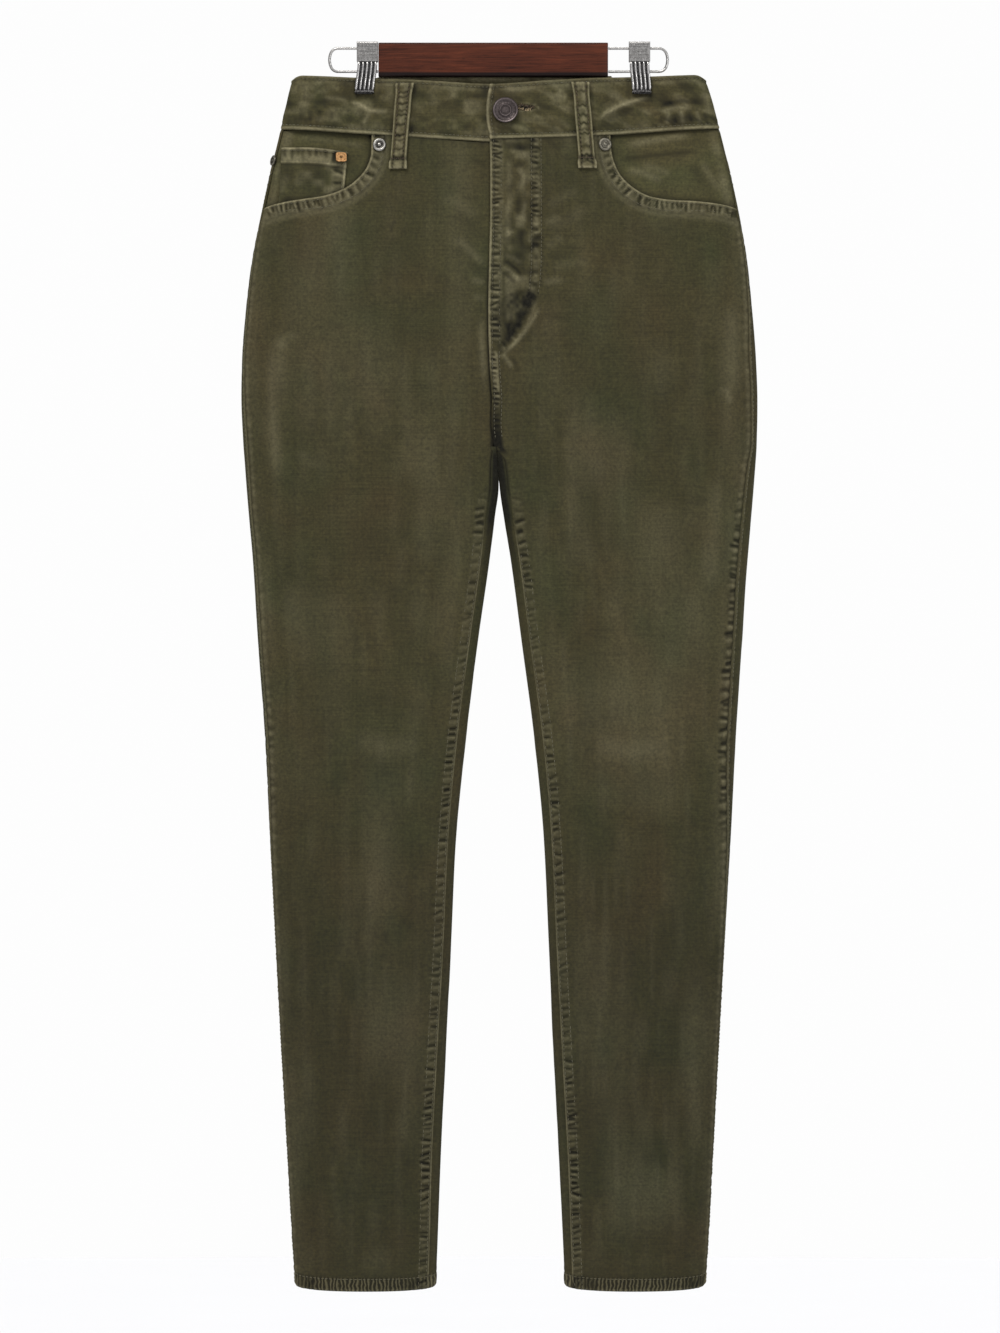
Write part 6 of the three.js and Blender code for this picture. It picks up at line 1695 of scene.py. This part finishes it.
# ------------------------------------------------------------------ metal pieces
def solid(name, verts, faces, material, smooth_shade=True, angle=None):
    me = bpy.data.meshes.new(name)
    me.from_pydata([tuple(np.asarray(p) * MM) for p in verts], [], faces)
    me.update()
    me.polygons.foreach_set("use_smooth", np.full(len(me.polygons), smooth_shade))
    if angle is not None:
        me.set_sharp_from_angle(angle=math.radians(angle))
    ob = bpy.data.objects.new(name, me)
    bpy.context.scene.collection.objects.link(ob)
    me.materials.append(material)
    TRIANGLES[name] = sum(len(f) - 2 for f in faces)
    return ob


def mark(ob, values):
    a = ob.data.attributes.new("grime_and_shade", "FLOAT", "POINT")
    a.data.foreach_set("value", np.asarray(values, np.float32))
    return ob


def turned(name, profile, centre, axis, material, segments=56, wobble=None):
    """Turned about an axis. profile: (radius, height, grime and painted shade) from the front's middle to the back's.
    """
    dirt_and_shade = [p[2] if len(p) > 2 else 0.0 for p in profile]
    profile = [(p[0], p[1]) for p in profile]
    axis = np.array(axis, float) / np.linalg.norm(axis)
    side = np.cross(axis, (0, 0, 1.0))
    side /= np.linalg.norm(side)
    up = np.cross(side, axis)
    verts, faces = [], []
    first, last = profile[0], profile[-1]
    verts.append(np.array(centre) + axis * first[1])
    body = profile[1:-1]
    for r, hgt in body:
        for k in range(segments):
            q = 2 * math.pi * k / segments
            rr, hh = (r, hgt) if wobble is None else wobble(r, hgt, q)
            verts.append(np.array(centre) + axis * hh + (side * math.cos(q) + up * math.sin(q)) * rr)
    verts.append(np.array(centre) + axis * last[1])
    for k in range(segments):
        faces.append((0, 1 + k, 1 + (k + 1) % segments))
    for i in range(len(body) - 1):
        for k in range(segments):
            a, b = 1 + i * segments + k, 1 + i * segments + (k + 1) % segments
            faces.append((a, a + segments, b + segments, b))
    end = len(verts) - 1
    base = 1 + (len(body) - 1) * segments
    for k in range(segments):
        faces.append((end, base + (k + 1) % segments, base + k))
    ob = solid(name, verts, faces, material, True, 40)
    return mark(ob, [dirt_and_shade[0]] + [g for g in dirt_and_shade[1:-1] for _ in range(segments)] + [dirt_and_shade[-1]])


def front_place(half, x, z, out):
    p, n = on_front(half, np.array(float(x)), np.array(float(z))), front_normal(half, np.array(float(x)), np.array(float(z)))
    return p + n * out, n


def tube(points, radius, sides=16, close=False):
    """Rings round a path of points in the plane y = 0."""
    pts = np.array(points, float)
    tangent = np.gradient(pts, axis=0)
    tangent /= np.linalg.norm(tangent, axis=1, keepdims=True)
    verts, faces = [], []
    for p, t in zip(pts, tangent):
        side = np.array([0, 1.0, 0])
        up = np.cross(t, side)
        for k in range(sides):
            q = 2 * math.pi * k / sides
            verts.append(p + (side * math.cos(q) + up * math.sin(q)) * radius)
    for i in range(len(pts) - 1):
        for k in range(sides):
            a, b = i * sides + k, i * sides + (k + 1) % sides
            faces.append((a, b, b + sides, a + sides))
    faces.append(tuple(range(sides))[::-1])
    faces.append(tuple((len(pts) - 1) * sides + k for k in range(sides)))
    return verts, faces


def wire(name, start, end):
    w, out = WIRE, math.copysign(1, end - start)
    turn = end - out * w["corner"]
    pts = [(start + (turn - start) * k / 8, 0, w["top"]) for k in range(9)]
    mid = (w["top"] + w["bottom"]) / 2
    quad = lambda a, b, c, t: tuple((1 - t) ** 2 * a[i] + 2 * t * (1 - t) * b[i] + t * t * c[i] for i in range(3))
    a, b, c = (turn, 0, w["top"]), (end - out * 0.5, 0, w["top"]), (end, 0, mid)
    pts += [quad(a, b, c, k / 12) for k in range(1, 13)]
    a, b, c = (end, 0, mid), (end - out * 0.5, 0, w["bottom"]), (turn, 0, w["bottom"])
    pts += [quad(a, b, c, k / 12) for k in range(1, 13)]
    pts += [(turn + (start - turn) * k / 8, 0, w["bottom"]) for k in range(1, 9)]
    v, f = tube(pts, 1.2, 16)
    # the wire is marked darker on the side that faces into its loop and back
    around = [0.75 * max(0.0, math.cos(2 * math.pi * k / 16 + 1.2)) ** 2 for k in range(16)]
    return mark(solid(name, v, f, CHROME, True, 50), around * len(pts))


def bar():
    """Wooden bar with rounded long edges."""
    b, half_t, e, k = BAR, BAR["thickness"] / 2, 1.9, 6
    ring = []
    for cy, cz, a0 in ((half_t - e, b["top"] - e, 0), (-half_t + e, b["top"] - e, 90), (-half_t + e, b["bottom"] + e, 180), (half_t - e, b["bottom"] + e, 270)):
        for j in range(k + 1):
            q = math.radians(a0 + 90 * j / k)
            ring.append((cy + e * math.cos(q), cz + e * math.sin(q)))
    xs = [b["left"], b["left"] + 0.25, b["left"] + 0.8] + list(np.linspace(b["left"] + 6, b["right"] - 6, 24)) + [b["right"] - 0.8, b["right"] - 0.25, b["right"]]
    inset = [0.7, 0.2, 0.0] + [0.0] * 24 + [0.0, 0.2, 0.7]
    verts, faces, m = [], [], len(ring)
    cz = (b["top"] + b["bottom"]) / 2
    for x, i in zip(xs, inset):
        for y, z in ring:
            verts.append((x, y - math.copysign(i, y), z - math.copysign(i, z - cz)))
    for i in range(len(xs) - 1):
        for j in range(m):
            a, c = i * m + j, i * m + (j + 1) % m
            faces.append((a, a + m, c + m, c))
    faces.append(tuple(range(m)))
    faces.append(tuple((len(xs) - 1) * m + j for j in range(m))[::-1])
    return solid("hanger_bar_wood", verts, faces, WOOD, True, 38)


def box_rounded(x0, x1, outline, e=0.35):
    """A (y, z) outline pushed along x, its two end faces bevelled by e."""
    pts = np.array(outline, float)
    nxt, prv = np.roll(pts, -1, 0), np.roll(pts, 1, 0)
    t = nxt - prv
    nrm = np.stack([t[:, 1], -t[:, 0]], 1)
    nrm /= np.maximum(1e-9, np.linalg.norm(nrm, axis=1, keepdims=True))
    area = 0.5 * np.sum(pts[:, 0] * nxt[:, 1] - nxt[:, 0] * pts[:, 1])
    if area < 0:
        nrm = -nrm
    verts, faces, m = [], [], len(pts)
    for x, shrink in ((x0, e), (x0 + e, 0), (x1 - e, 0), (x1, e)):
        for p, q in zip(pts, nrm):
            verts.append((x, p[0] - q[0] * shrink, p[1] - q[1] * shrink))
    for i in range(3):
        for j in range(m):
            a, c = i * m + j, i * m + (j + 1) % m
            faces.append((a, c, c + m, a + m))
    faces.append(tuple(range(m))[::-1])
    faces.append(tuple(3 * m + j for j in range(m)))
    return verts, faces


class Parts:
    def __init__(self):
        self.v, self.f, self.g = [], [], []

    def add(self, vf, grime_and_shade=0.0):
        base = len(self.v)
        self.v += list(vf[0])
        self.f += [tuple(base + k for k in f) for f in vf[1]]
        self.g += list(grime_and_shade) if np.ndim(grime_and_shade) else [grime_and_shade] * len(vf[0])


def clip(name, at, seed, lean):
    """Clip of plated sheet: a saddle over the wires, two ribbed jaws and a curled lip on each."""
    c = CLIP
    m, half = c["metal"], c["half"]
    w = CLIP_WIDTH / 2
    parts = Parts()

    def leg(points, thick, x0, x1, e=0.35, grime_and_shade=0.0):
        """A strip of sheet metal along (y, z) points."""
        pts = np.array(points, float)
        t = np.gradient(pts, axis=0)
        t /= np.linalg.norm(t, axis=1, keepdims=True)
        nrm = np.stack([-t[:, 1], t[:, 0]], 1)
        ring = list(pts + nrm * thick / 2) + list((pts - nrm * thick / 2)[::-1])
        parts.add(box_rounded(x0, x1, [tuple(p) for p in ring], e), grime_and_shade)

    y_out = half - m / 2
    saddle = []
    for k in range(13):
        q = math.pi * k / 12
        saddle.append((math.cos(q) * y_out * -1, c["top"] - 1.9 + math.sin(q) * 1.25))
    front_down = [(-y_out, z) for z in np.linspace(c["shoulder"], c["top"] - 2.4, 7)]
    back_down = [(y_out, z) for z in np.linspace(c["top"] - 2.4, c["shoulder"], 7)]
    leg(front_down + saddle + back_down, m, at - w, at + w, 0.35, 0.12)
    for side in (-1, 1):
        jaw_y = (c["bite"] + c["jaw"]) / 2 + 0.15
        depth = lambda z: float(lerp(half - m / 2 - 0.2, jaw_y, smooth((c["shoulder"] - z) / (c["shoulder"] - c["grip"]))))
        pts = [(side * depth(z), z) for z in np.linspace(c["shoulder"] + 1.2, c["bottom"] + 4.2, 20)]
        pts += [(side * (jaw_y + 0.25), c["bottom"] + 3.0), (side * (jaw_y + 0.9), c["bottom"] + 1.7), (side * (jaw_y + 1.9), c["bottom"] + 0.7)]
        pts = pts if side < 0 else pts[::-1]
        # the jaws are marked 0.95, so their metal is painted darker all over
        leg(pts, 1.0, at - w + 1.0, at + w - 1.0, 0.35, 0.95)
        # pressed ribs: the middle ones narrow, the outer ones the folded sides; painted shade where each meets the jaw
        for k in range(5):
            cx, wide = at + (k - 2) * 3.55, (1.15 if k in (0, 4) else 0.98)
            ring, n = [], 11
            for j in range(n):
                q = math.pi * j / (n - 1)
                ring.append((math.cos(q) * wide, math.sin(q) ** 0.7 * 1.1 if 0 < j < n - 1 else 0.0))
            verts, faces, dirt_and_shade = [], [], []
            zs = list(np.linspace(c["shoulder"] - 0.4, c["bottom"] + 4.2, 24))
            for i, z in enumerate(zs):
                y0 = depth(z)
                grow = float(smooth((i + 0.3) / 2.0)) * float(smooth((len(zs) - 0.7 - i) / 2.0))
                for j, (a, b) in enumerate(ring):
                    verts.append((cx + a * (0.5 + 0.5 * grow), side * (y0 + 0.2 + b * (0.12 + 0.88 * grow)), z))
                    dirt_and_shade.append(0.9 * (1 - math.sin(math.pi * j / (n - 1))) ** 1.3)
            for i in range(len(zs) - 1):
                for j in range(n):
                    a, b = i * n + j, i * n + (j + 1) % n
                    faces.append((a, b, b + n, a + n) if side > 0 else (a, a + n, b + n, b))
            faces.append(tuple(range(n))[::-1] if side > 0 else tuple(range(n)))
            faces.append(tuple((len(zs) - 1) * n + j for j in range(n)) if side > 0 else tuple((len(zs) - 1) * n + j for j in range(n))[::-1])
            parts.add((verts, faces), dirt_and_shade)
        # lip across the foot, with painted shade on its underside
        zl = c["bottom"] + 2.0
        lip = [(side * (jaw_y + 0.4 + 0.75 * math.cos(2 * math.pi * k / 12)), zl + 0.95 * math.sin(2 * math.pi * k / 12)) for k in range(12)]
        parts.add(box_rounded(at - w + 0.7, at + w - 0.7, lip if side > 0 else lip[::-1], 0.3), [0.25 + 0.5 * max(0, -math.sin(2 * math.pi * k / 12)) for _ in range(4) for k in range(12)])
    # pressed ledges of the saddle's faces, with painted shade in the corners where they meet the face
    for side in (-1, 1):
        for zz, hh, inset in ((-2.6, 1.3, 1.4), (-7.0, 1.2, 2.6), (-11.6, 1.8, 1.0)):
            outline = [(side * (half - 0.35), zz + hh), (side * (half + 0.5), zz + hh - 0.5), (side * (half + 0.5), zz - hh + 0.5), (side * (half - 0.35), zz - hh)]
            parts.add(box_rounded(at - w + inset, at + w - inset, outline if side > 0 else outline[::-1], 0.3), [0.75, 0.05, 0.3, 0.9] * 4)
    # pivot across, inside the saddle, painted darker as shade
    v, f = tube([(at - w + 0.4 + k * (2 * w - 0.8) / 4, 0, -13.2) for k in range(5)], 1.5, 14)
    parts.add((v, f), 0.6)
    verts = []
    for x, y, z in parts.v:
        verts.append((x + lean * float(smooth((-16 - z) / 26)), y, z))
    return mark(solid(name, verts, parts.f, CHROME, True, 32), parts.g)

WORLD_LIGHT, KEY, FILL, FRONT = 0.45, 2.25, 0.45, 0.5
COIN_UNDER = WALL + 2 * GAP
FACING_UNDER_COIN = COIN_UNDER + PATCH_WALL + 3 * GAP


def placed(ob, node):
    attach(ob, "root")
    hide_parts(*([node] if isinstance(node, str) else node))
    return ob


fronts, made = {}, {}
for half in ("right", "left"):
    ob, outer, n, f = front_panel(half)
    fronts[half] = (outer, n, f)
    made["front_" + half] = placed(ob, "front_" + half)
backs = {}
for half in ("right", "left"):
    ob, outer, n, f = back_panel(half)
    backs[half] = (outer, n, f)
    made["back_" + half] = placed(ob, "back_" + half)
    made["yoke_" + half] = placed(yoke_panel(half), "yoke_" + half)
    made["back_pocket_" + half] = placed(back_pocket(half), "back_pocket_" + half)
made["pocket_facing_right"] = placed(facing("right", FACING_UNDER_COIN), "pocket_facing_right")
made["pocket_facing_left"] = placed(facing("left", WALL + 4 * GAP), "pocket_facing_left")
made["coin_pocket"] = placed(coin_pocket(COIN_UNDER), "coin_pocket")
made["fly_shield"] = placed(fly_shield(), "fly_shield")
band, band_outer, band_n, band_f = waistband()
made["waistband"] = placed(band, "waistband")
for name, half, x, lean, face in (("front_right", "right", -79.4, -6, "front"), ("front_left", "left", 68.8, 6, "front"), ("side_right", "right", -84, 0, "back"), ("side_left", "left", 88, 0, "back"), ("back", "left", -4, 0, "back")):
    made["belt_loop_" + name] = placed(belt_loop("belt_loop_" + name, half, x, lean, face), "belt_loop_" + name)

# button and rivets
# third values: darker in the recessed ring, and painted shade down the side and back
BUTTON = [(0, 2.3, 0.35), (1.6, 2.3, 0.3), (3.2, 2.2, 0.6), (3.9, 2.25, 0.7), (4.3, 2.7, 0.1), (5.0, 2.75, 0.1), (5.4, 2.3, 0.7), (6.6, 2.05, 0.5), (8.4, 2.2, 0.55), (9.0, 2.7, 0.3), (9.5, 3.15, 0.0), (10.1, 3.25, 0.0), (10.6, 2.95, 0.1), (10.95, 2.3, 0.4), (10.95, 1.4, 0.8), (10.5, 0.7, 1), (9.6, 0.2, 1), (4.0, -0.3, 1), (0, -0.3, 1)]
c, n = front_place("left", 5.4, -58.3, BAND_PROUD + GAP + 0.3)
made["button"] = placed(turned("button_metal", BUTTON, c, n, GUNMETAL, 72, lambda r, h, q: (r, h + (0.16 * math.sin(11 * q + r) * math.sin(5 * q) if 5.4 < r < 8.6 and h > 1 else 0))), "button")
# third values: darker in the dimple, and painted shade down the side and back
RIVET = [(0, 1.75, 0.1), (0.8, 1.75, 0.1), (1.3, 1.6, 0.3), (1.7, 1.05, 0.95), (2.6, 0.9, 0.9), (3.2, 1.1, 0.8), (3.7, 1.7, 0.15), (4.5, 1.9, 0.0), (5.2, 1.6, 0.05), (5.7, 0.9, 0.5), (5.6, 0.3, 0.9), (5.0, 0.0, 1), (2.0, -0.6, 1), (0, -0.6, 1)]
c, n = front_place("right", -101.5, -87.0, GAP + 0.6)
made["rivet_right"] = placed(turned("rivet_right_metal", RIVET, c, n, NICKEL, 48), "rivet_right")
c, n = front_place("left", 89.7, -87.0, GAP + 0.6)
WORN_RIVET = [(r, h, g * (0.45 if h > 0.7 else 1.0)) for r, h, g in RIVET]
made["rivet_left"] = placed(turned("rivet_left_metal", WORN_RIVET, c, n, DULL, 48, lambda r, h, q: (r, h - (0.25 * max(0, math.sin(2 * q + 0.6)) if r > 3.4 and h > 0.5 else 0))), "rivet_left")
# third values: darker in the middle, and painted shade down the side and back
SQUARE = [(0, 1.1, 0.75), (0.9, 1.2, 0.85), (1.6, 1.5, 0.2), (2.6, 1.5, 0.05), (3.1, 1.3, 0.45), (3.7, 1.45, 0.0), (4.5, 1.3, 0.05), (4.85, 0.6, 0.6), (4.7, 0.1, 1), (2.0, -0.5, 1), (0, -0.5, 1)]


def squared(r, h, q):
    c, s = abs(math.cos(q)), abs(math.sin(q))
    k = (c ** 5 + (s / 0.86) ** 5) ** (-1 / 5)
    return r * lerp(1, k, min(1, r / 4.0)), h


c, n = front_place("right", -133.8, -97.3, GAP + 0.5 - COIN_UNDER)
made["rivet_coin_inner"] = placed(turned("rivet_coin_inner_metal", SQUARE, c, n, COPPER, 48, squared), "rivet_coin_inner")
c, n = front_place("right", -191.6, -100.1, -0.2)
made["rivet_coin_outer"] = placed(turned("rivet_coin_outer_metal", [(r * 0.82, h * 0.9, g) for r, h, g in RIVET], c, n, DULL, 40), "rivet_coin_outer")

# hanger
made["hanger_bar"] = placed(bar(), "hanger_bar")
made["hanger_wire_right"] = placed(wire("hanger_wire_right_metal", BAR["left"] - GAP, WIRE["endRight"]), "hanger_wire_right")
made["hanger_wire_left"] = placed(wire("hanger_wire_left_metal", BAR["right"] + GAP, WIRE["endLeft"]), "hanger_wire_left")
made["hanger_clip_right"] = placed(clip("hanger_clip_right_metal", CLIP_AT[0], 1, -2.6), "hanger_clip_right")
made["hanger_clip_left"] = placed(clip("hanger_clip_left_metal", CLIP_AT[1], 2, 1.8), "hanger_clip_left")

# ------------------------------------------------------------------ stitches
def threads(name, material, lines, node):
    """lines: (points and normals, options)."""
    t = Threads(name, material)
    for k, (pn, options) in enumerate(lines):
        pts, nor = pn
        if len(pts) > 3:
            t.line(pts, nor, **{"seed": 900 + k, "length": 2.5, "gap": 0.95, "radius": 0.27, "lift": 0.02, **options})
    ob = t.make()
    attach(ob, "root")
    return ob


def offset_curve(cx, cz, by):
    tx, tz = np.gradient(cx), np.gradient(cz)
    size = np.hypot(tx, tz)
    return cx - tz / size * by, cz + tx / size * by


sewn = {}
for half in ("right", "left"):
    outer, n, f = fronts[half]
    rows = np.arange(outer.shape[0])
    m, Zf = f["n_mouth"], f["Z"]
    mouth = np.zeros(Zf.shape, bool)
    mouth[:m] = True
    legs = Zf < -425
    lines = [(iso(outer, n, f["c0"], 2.6, 1, mouth), {}), (iso(outer, n, f["c0"], 9.8, 1, mouth), {"keep": 0.9}),
             (iso(outer, n, -f["c1"], -2.9, 1, legs), {"keep": 0.85}), (iso(outer, n, -f["c1"], -9.4, 1, legs), {"keep": 0.7}),
             (iso(outer, n, f["up"], 10.4, 0, Zf < -1030), {})]
    if half == "left":
        fly = Zf > -262
        seam = (Zf < -262) & (Zf > -338)
        jx, jz = curve_of(J_LINE)
        gone = np.concatenate([[0], np.cumsum(np.hypot(np.diff(jx), np.diff(jz)))])
        jx, jz = jx[gone < 132], jz[gone < 132]
        for by in (-4.1, 4.1):
            ox, oz = offset_curve(jx, jz, by)
            lines.append((lay(outer, n, ox[::3], oz[::3]), {}))
        lines += [(iso(outer, n, -f["c1"], -3.4, 1, fly), {}), (iso(outer, n, -f["c1"], -9.6, 1, fly), {"keep": 0.6}),
                  (iso(outer, n, -f["c1"], -2.8, 1, seam), {}), (iso(outer, n, -f["c1"], -8.9, 1, seam), {})]
    sewn["front_" + half] = threads("stitches_front_" + half, THREAD, lines, "front_" + half)
    outer, n, f = backs[half]
    Zb, over = f["Z"], f["over"]
    lines = [(iso(outer, n, f["up"], 10.4, 0, Zb < -1030), {}), (iso(outer, n, -f["out"], -2.4, 1, Zb < -118), {"keep": 0.8})]
    if half == "left":
        lines += [(iso(outer, n, f["seat"], 3.2, 1, over & (Zb > -372)), {}), (iso(outer, n, f["seat"], 9.2, 1, over & (Zb > -372)), {})]
    sewn["back_" + half] = threads("stitches_back_" + half, THREAD, lines, "back_" + half)
    outer, n = GRIDS["yoke_" + half + "_cloth"]
    d = outer[..., 2] - outer[-1:, :, 2]
    sewn["yoke_" + half] = threads("stitches_yoke_" + half, THREAD, [(iso(outer, n, d, v, 0), {}) for v in (3.2, 9.2)], "yoke_" + half)
    outer, n = GRIDS["back_pocket_" + half + "_cloth"]
    R, C = outer.shape[:2]
    u, v = np.linspace(0, 1, C)[None], np.linspace(0, 1, R)[:, None]
    width = lerp(BACK_POCKET["width"], BACK_POCKET["foot"], v)
    left_e, right_e, foot_e = u * width, (1 - u) * width, (1 - v) * (BACK_POCKET["depth"] - BACK_POCKET["point"]) * np.ones((1, C))
    lines = []
    for e in (2.6, 8.6):
        lines += [(iso(outer, n, left_e, e, 1, foot_e > e), {}), (iso(outer, n, -right_e, -e, 1, foot_e > e), {}), (iso(outer, n, -foot_e, -e, 0, (left_e > e) & (right_e > e)), {})]
    top_e = (BACK_POCKET["top"] - outer[..., 2])
    lines.append((iso(outer, n, top_e, 19.8, 0, (left_e > 3) & (right_e > 3)), {}))
    sewn["back_pocket_" + half] = threads("stitches_back_pocket_" + half, THREAD, lines, "back_pocket_" + half)
outer, n = GRIDS["coin_pocket_cloth"]
top_e = (outer[:1, :, 2] - outer[..., 2])
right_e = np.abs(outer[..., 0] - outer[:, -1:, 0])
sewn["coin_pocket"] = threads("stitches_coin_pocket", THREAD, [(iso(outer, n, top_e, 2.6, 0), {"radius": 0.24}), (iso(outer, n, top_e, 11.6, 0), {"radius": 0.24}), (iso(outer, n, -right_e, -2.6, 1), {"radius": 0.24})], "coin_pocket")
shown = band_f["kind"] > 0
lines = [(iso(band_outer, band_n, band_f["top"], 2.9, 0, shown), {}), (iso(band_outer, band_n, band_f["foot"], 3.9, 0, shown), {}), (iso(band_outer, band_n, -band_f["end"], -4.2, 1, shown), {})]
sewn["waistband"] = threads("stitches_waistband", THREAD, lines, "waistband")
lines = []
for name in ("front_right", "front_left", "side_right", "side_left", "back"):
    outer, n, q, foot_d = GRIDS["belt_loop_" + name]
    for side in (-0.58, 0.58):
        lines.append((iso(outer, n, q, side, 1, foot_d > 10), {"length": 2.1, "gap": 1.3, "radius": 0.24}))
    lines.append((iso(outer, n, -foot_d, -9.0, 0), {"length": 1.4, "gap": 0.3, "radius": 0.34}))
sewn["loops"] = threads("stitches_belt_loops", DARK_THREAD, lines, "belt_loop_back")

# frayed threads of the buttonhole
fray, pale = Threads("buttonhole_threads", DARK_THREAD), Threads("buttonhole_ends", LIGHT_THREAD)
rs = np.random.RandomState(77)
bx, bz = px(524, 108.5)
near = (band_f["kind"] == 1) & (band_f["half"] == 1) & (np.abs(band_outer[..., 0] - bx) < 24)
flat, flat_n = band_outer[near][:, None], band_n[near][:, None]
for k in range(74):
    q = 2 * math.pi * k / 74 + rs.uniform(-0.05, 0.05)
    wide = rs.uniform(0.45, 1.05)
    x, z = bx + 8.6 * wide * math.cos(q), bz + 2.9 * wide * math.sin(q)
    (p,), (nn,) = lay(flat, flat_n, np.array([x]), np.array([z]))
    way = np.array([math.cos(q) * 0.5 + rs.uniform(-0.5, 0.5), 0, math.sin(q) + rs.uniform(-0.5, 0.5)])
    way /= np.linalg.norm(way)
    long = rs.uniform(1.2, 2.4) if rs.uniform() < 0.8 else rs.uniform(2.6, 4.2)
    p = np.array([p[0], p[1] + 0.5 * (1.05 - wide), p[2]])
    (pale if z < bz - 0.6 and rs.uniform() < 0.55 else fray).bar(p - way * long * 0.5 + nn * 0.15, p + way * long * 0.5 + nn * rs.uniform(0.15, 0.7), nn, rs.uniform(0.16, 0.26), 5)
for t in (fray, pale):
    ob = t.make()
    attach(ob, "root")

# ------------------------------------------------------------------ floor, light and camera
def floor():
    me = bpy.data.meshes.new("floor")
    r, z = 14.0, -2.2
    ring = [(r * math.cos(2 * math.pi * k / 64), r * math.sin(2 * math.pi * k / 64), z) for k in range(64)]
    me.from_pydata(ring, [], [tuple(range(64))])
    me.update()
    ob = bpy.data.objects.new("floor", me)
    bpy.context.scene.collection.objects.link(ob)
    m = Nodes("pale_floor")
    m.set(Base_Color=m.mix(m.noise(m.place(), 3.0), srgb(224, 224.5, 227), srgb(225.5, 226, 228.5)), Roughness=0.9)
    me.materials.append(m.mat)


def light(name, kind, energy, location=None, aim=None, size=None, angle=None, colour=(1, 1, 1)):
    data = bpy.data.lights.new(name, kind)
    data.energy = energy
    data.color = colour
    if kind == "AREA":
        data.shape, data.size, data.size_y = "RECTANGLE", size[0], size[1]
    if kind == "SUN":
        data.angle = angle
    ob = bpy.data.objects.new(name, data)
    bpy.context.scene.collection.objects.link(ob)
    ob.location = location
    ob.rotation_mode = "QUATERNION"
    ob.rotation_quaternion = (Vector(aim) - Vector(location)).to_track_quat("-Z", "Y")
    return ob


floor()
world = bpy.data.worlds.new("studio")
bpy.context.scene.world = world
world.use_nodes = True
wt = world.node_tree
wt.nodes.clear()
wo, seen, lit, which, ray = (wt.nodes.new(k) for k in ("ShaderNodeOutputWorld", "ShaderNodeBackground", "ShaderNodeBackground", "ShaderNodeMixShader", "ShaderNodeLightPath"))
seen.inputs[0].default_value, seen.inputs[1].default_value = (0.985, 0.985, 0.985, 1), 1.0
lit.inputs[0].default_value, lit.inputs[1].default_value = (1, 1, 1, 1), WORLD_LIGHT
wt.links.new(ray.outputs["Is Camera Ray"], which.inputs[0])
wt.links.new(lit.outputs[0], which.inputs[1])
wt.links.new(seen.outputs[0], which.inputs[2])
wt.links.new(which.outputs[0], wo.inputs[0])
light("key", "SUN", KEY, (-1.2, -2.6, 2.6), (0, 0, -0.4), angle=math.radians(32), colour=(1.0, 0.985, 0.955))
light("fill", "SUN", FILL, (2.4, -2.2, 0.9), (0, 0, -0.5), angle=math.radians(70), colour=(0.95, 0.98, 1.0))
light("front", "SUN", FRONT, (1.7, -3.0, -0.34), (0, 0, -0.5), angle=math.radians(9))
light("back", "SUN", 1.2, (0.6, 3.0, 2.4), (0, 0, -0.5), angle=math.radians(50))

camera = bpy.data.cameras.new("camera")
camera.sensor_width = 36.0
DISTANCE = 6.0
camera.lens = 36.0 * DISTANCE / (1333 * 0.85 * MM)
camera.clip_start, camera.clip_end = 0.05, 60.0
eye = bpy.data.objects.new("camera", camera)
bpy.context.scene.collection.objects.link(eye)
eye.location = ((500 - 499) * 0.85 * MM, -DISTANCE, -(666.5 - 43) * 0.85 * MM)
eye.rotation_euler = (math.pi / 2, 0, 0)
bpy.context.scene.camera = eye
bpy.context.scene.view_settings.view_transform = "Standard"
bpy.context.scene.view_settings.look = "None"
bpy.context.scene.view_settings.exposure = 0.0
bpy.context.scene.view_settings.gamma = 1.0

print("triangles", sum(TRIANGLES.values()), json.dumps(TRIANGLES))
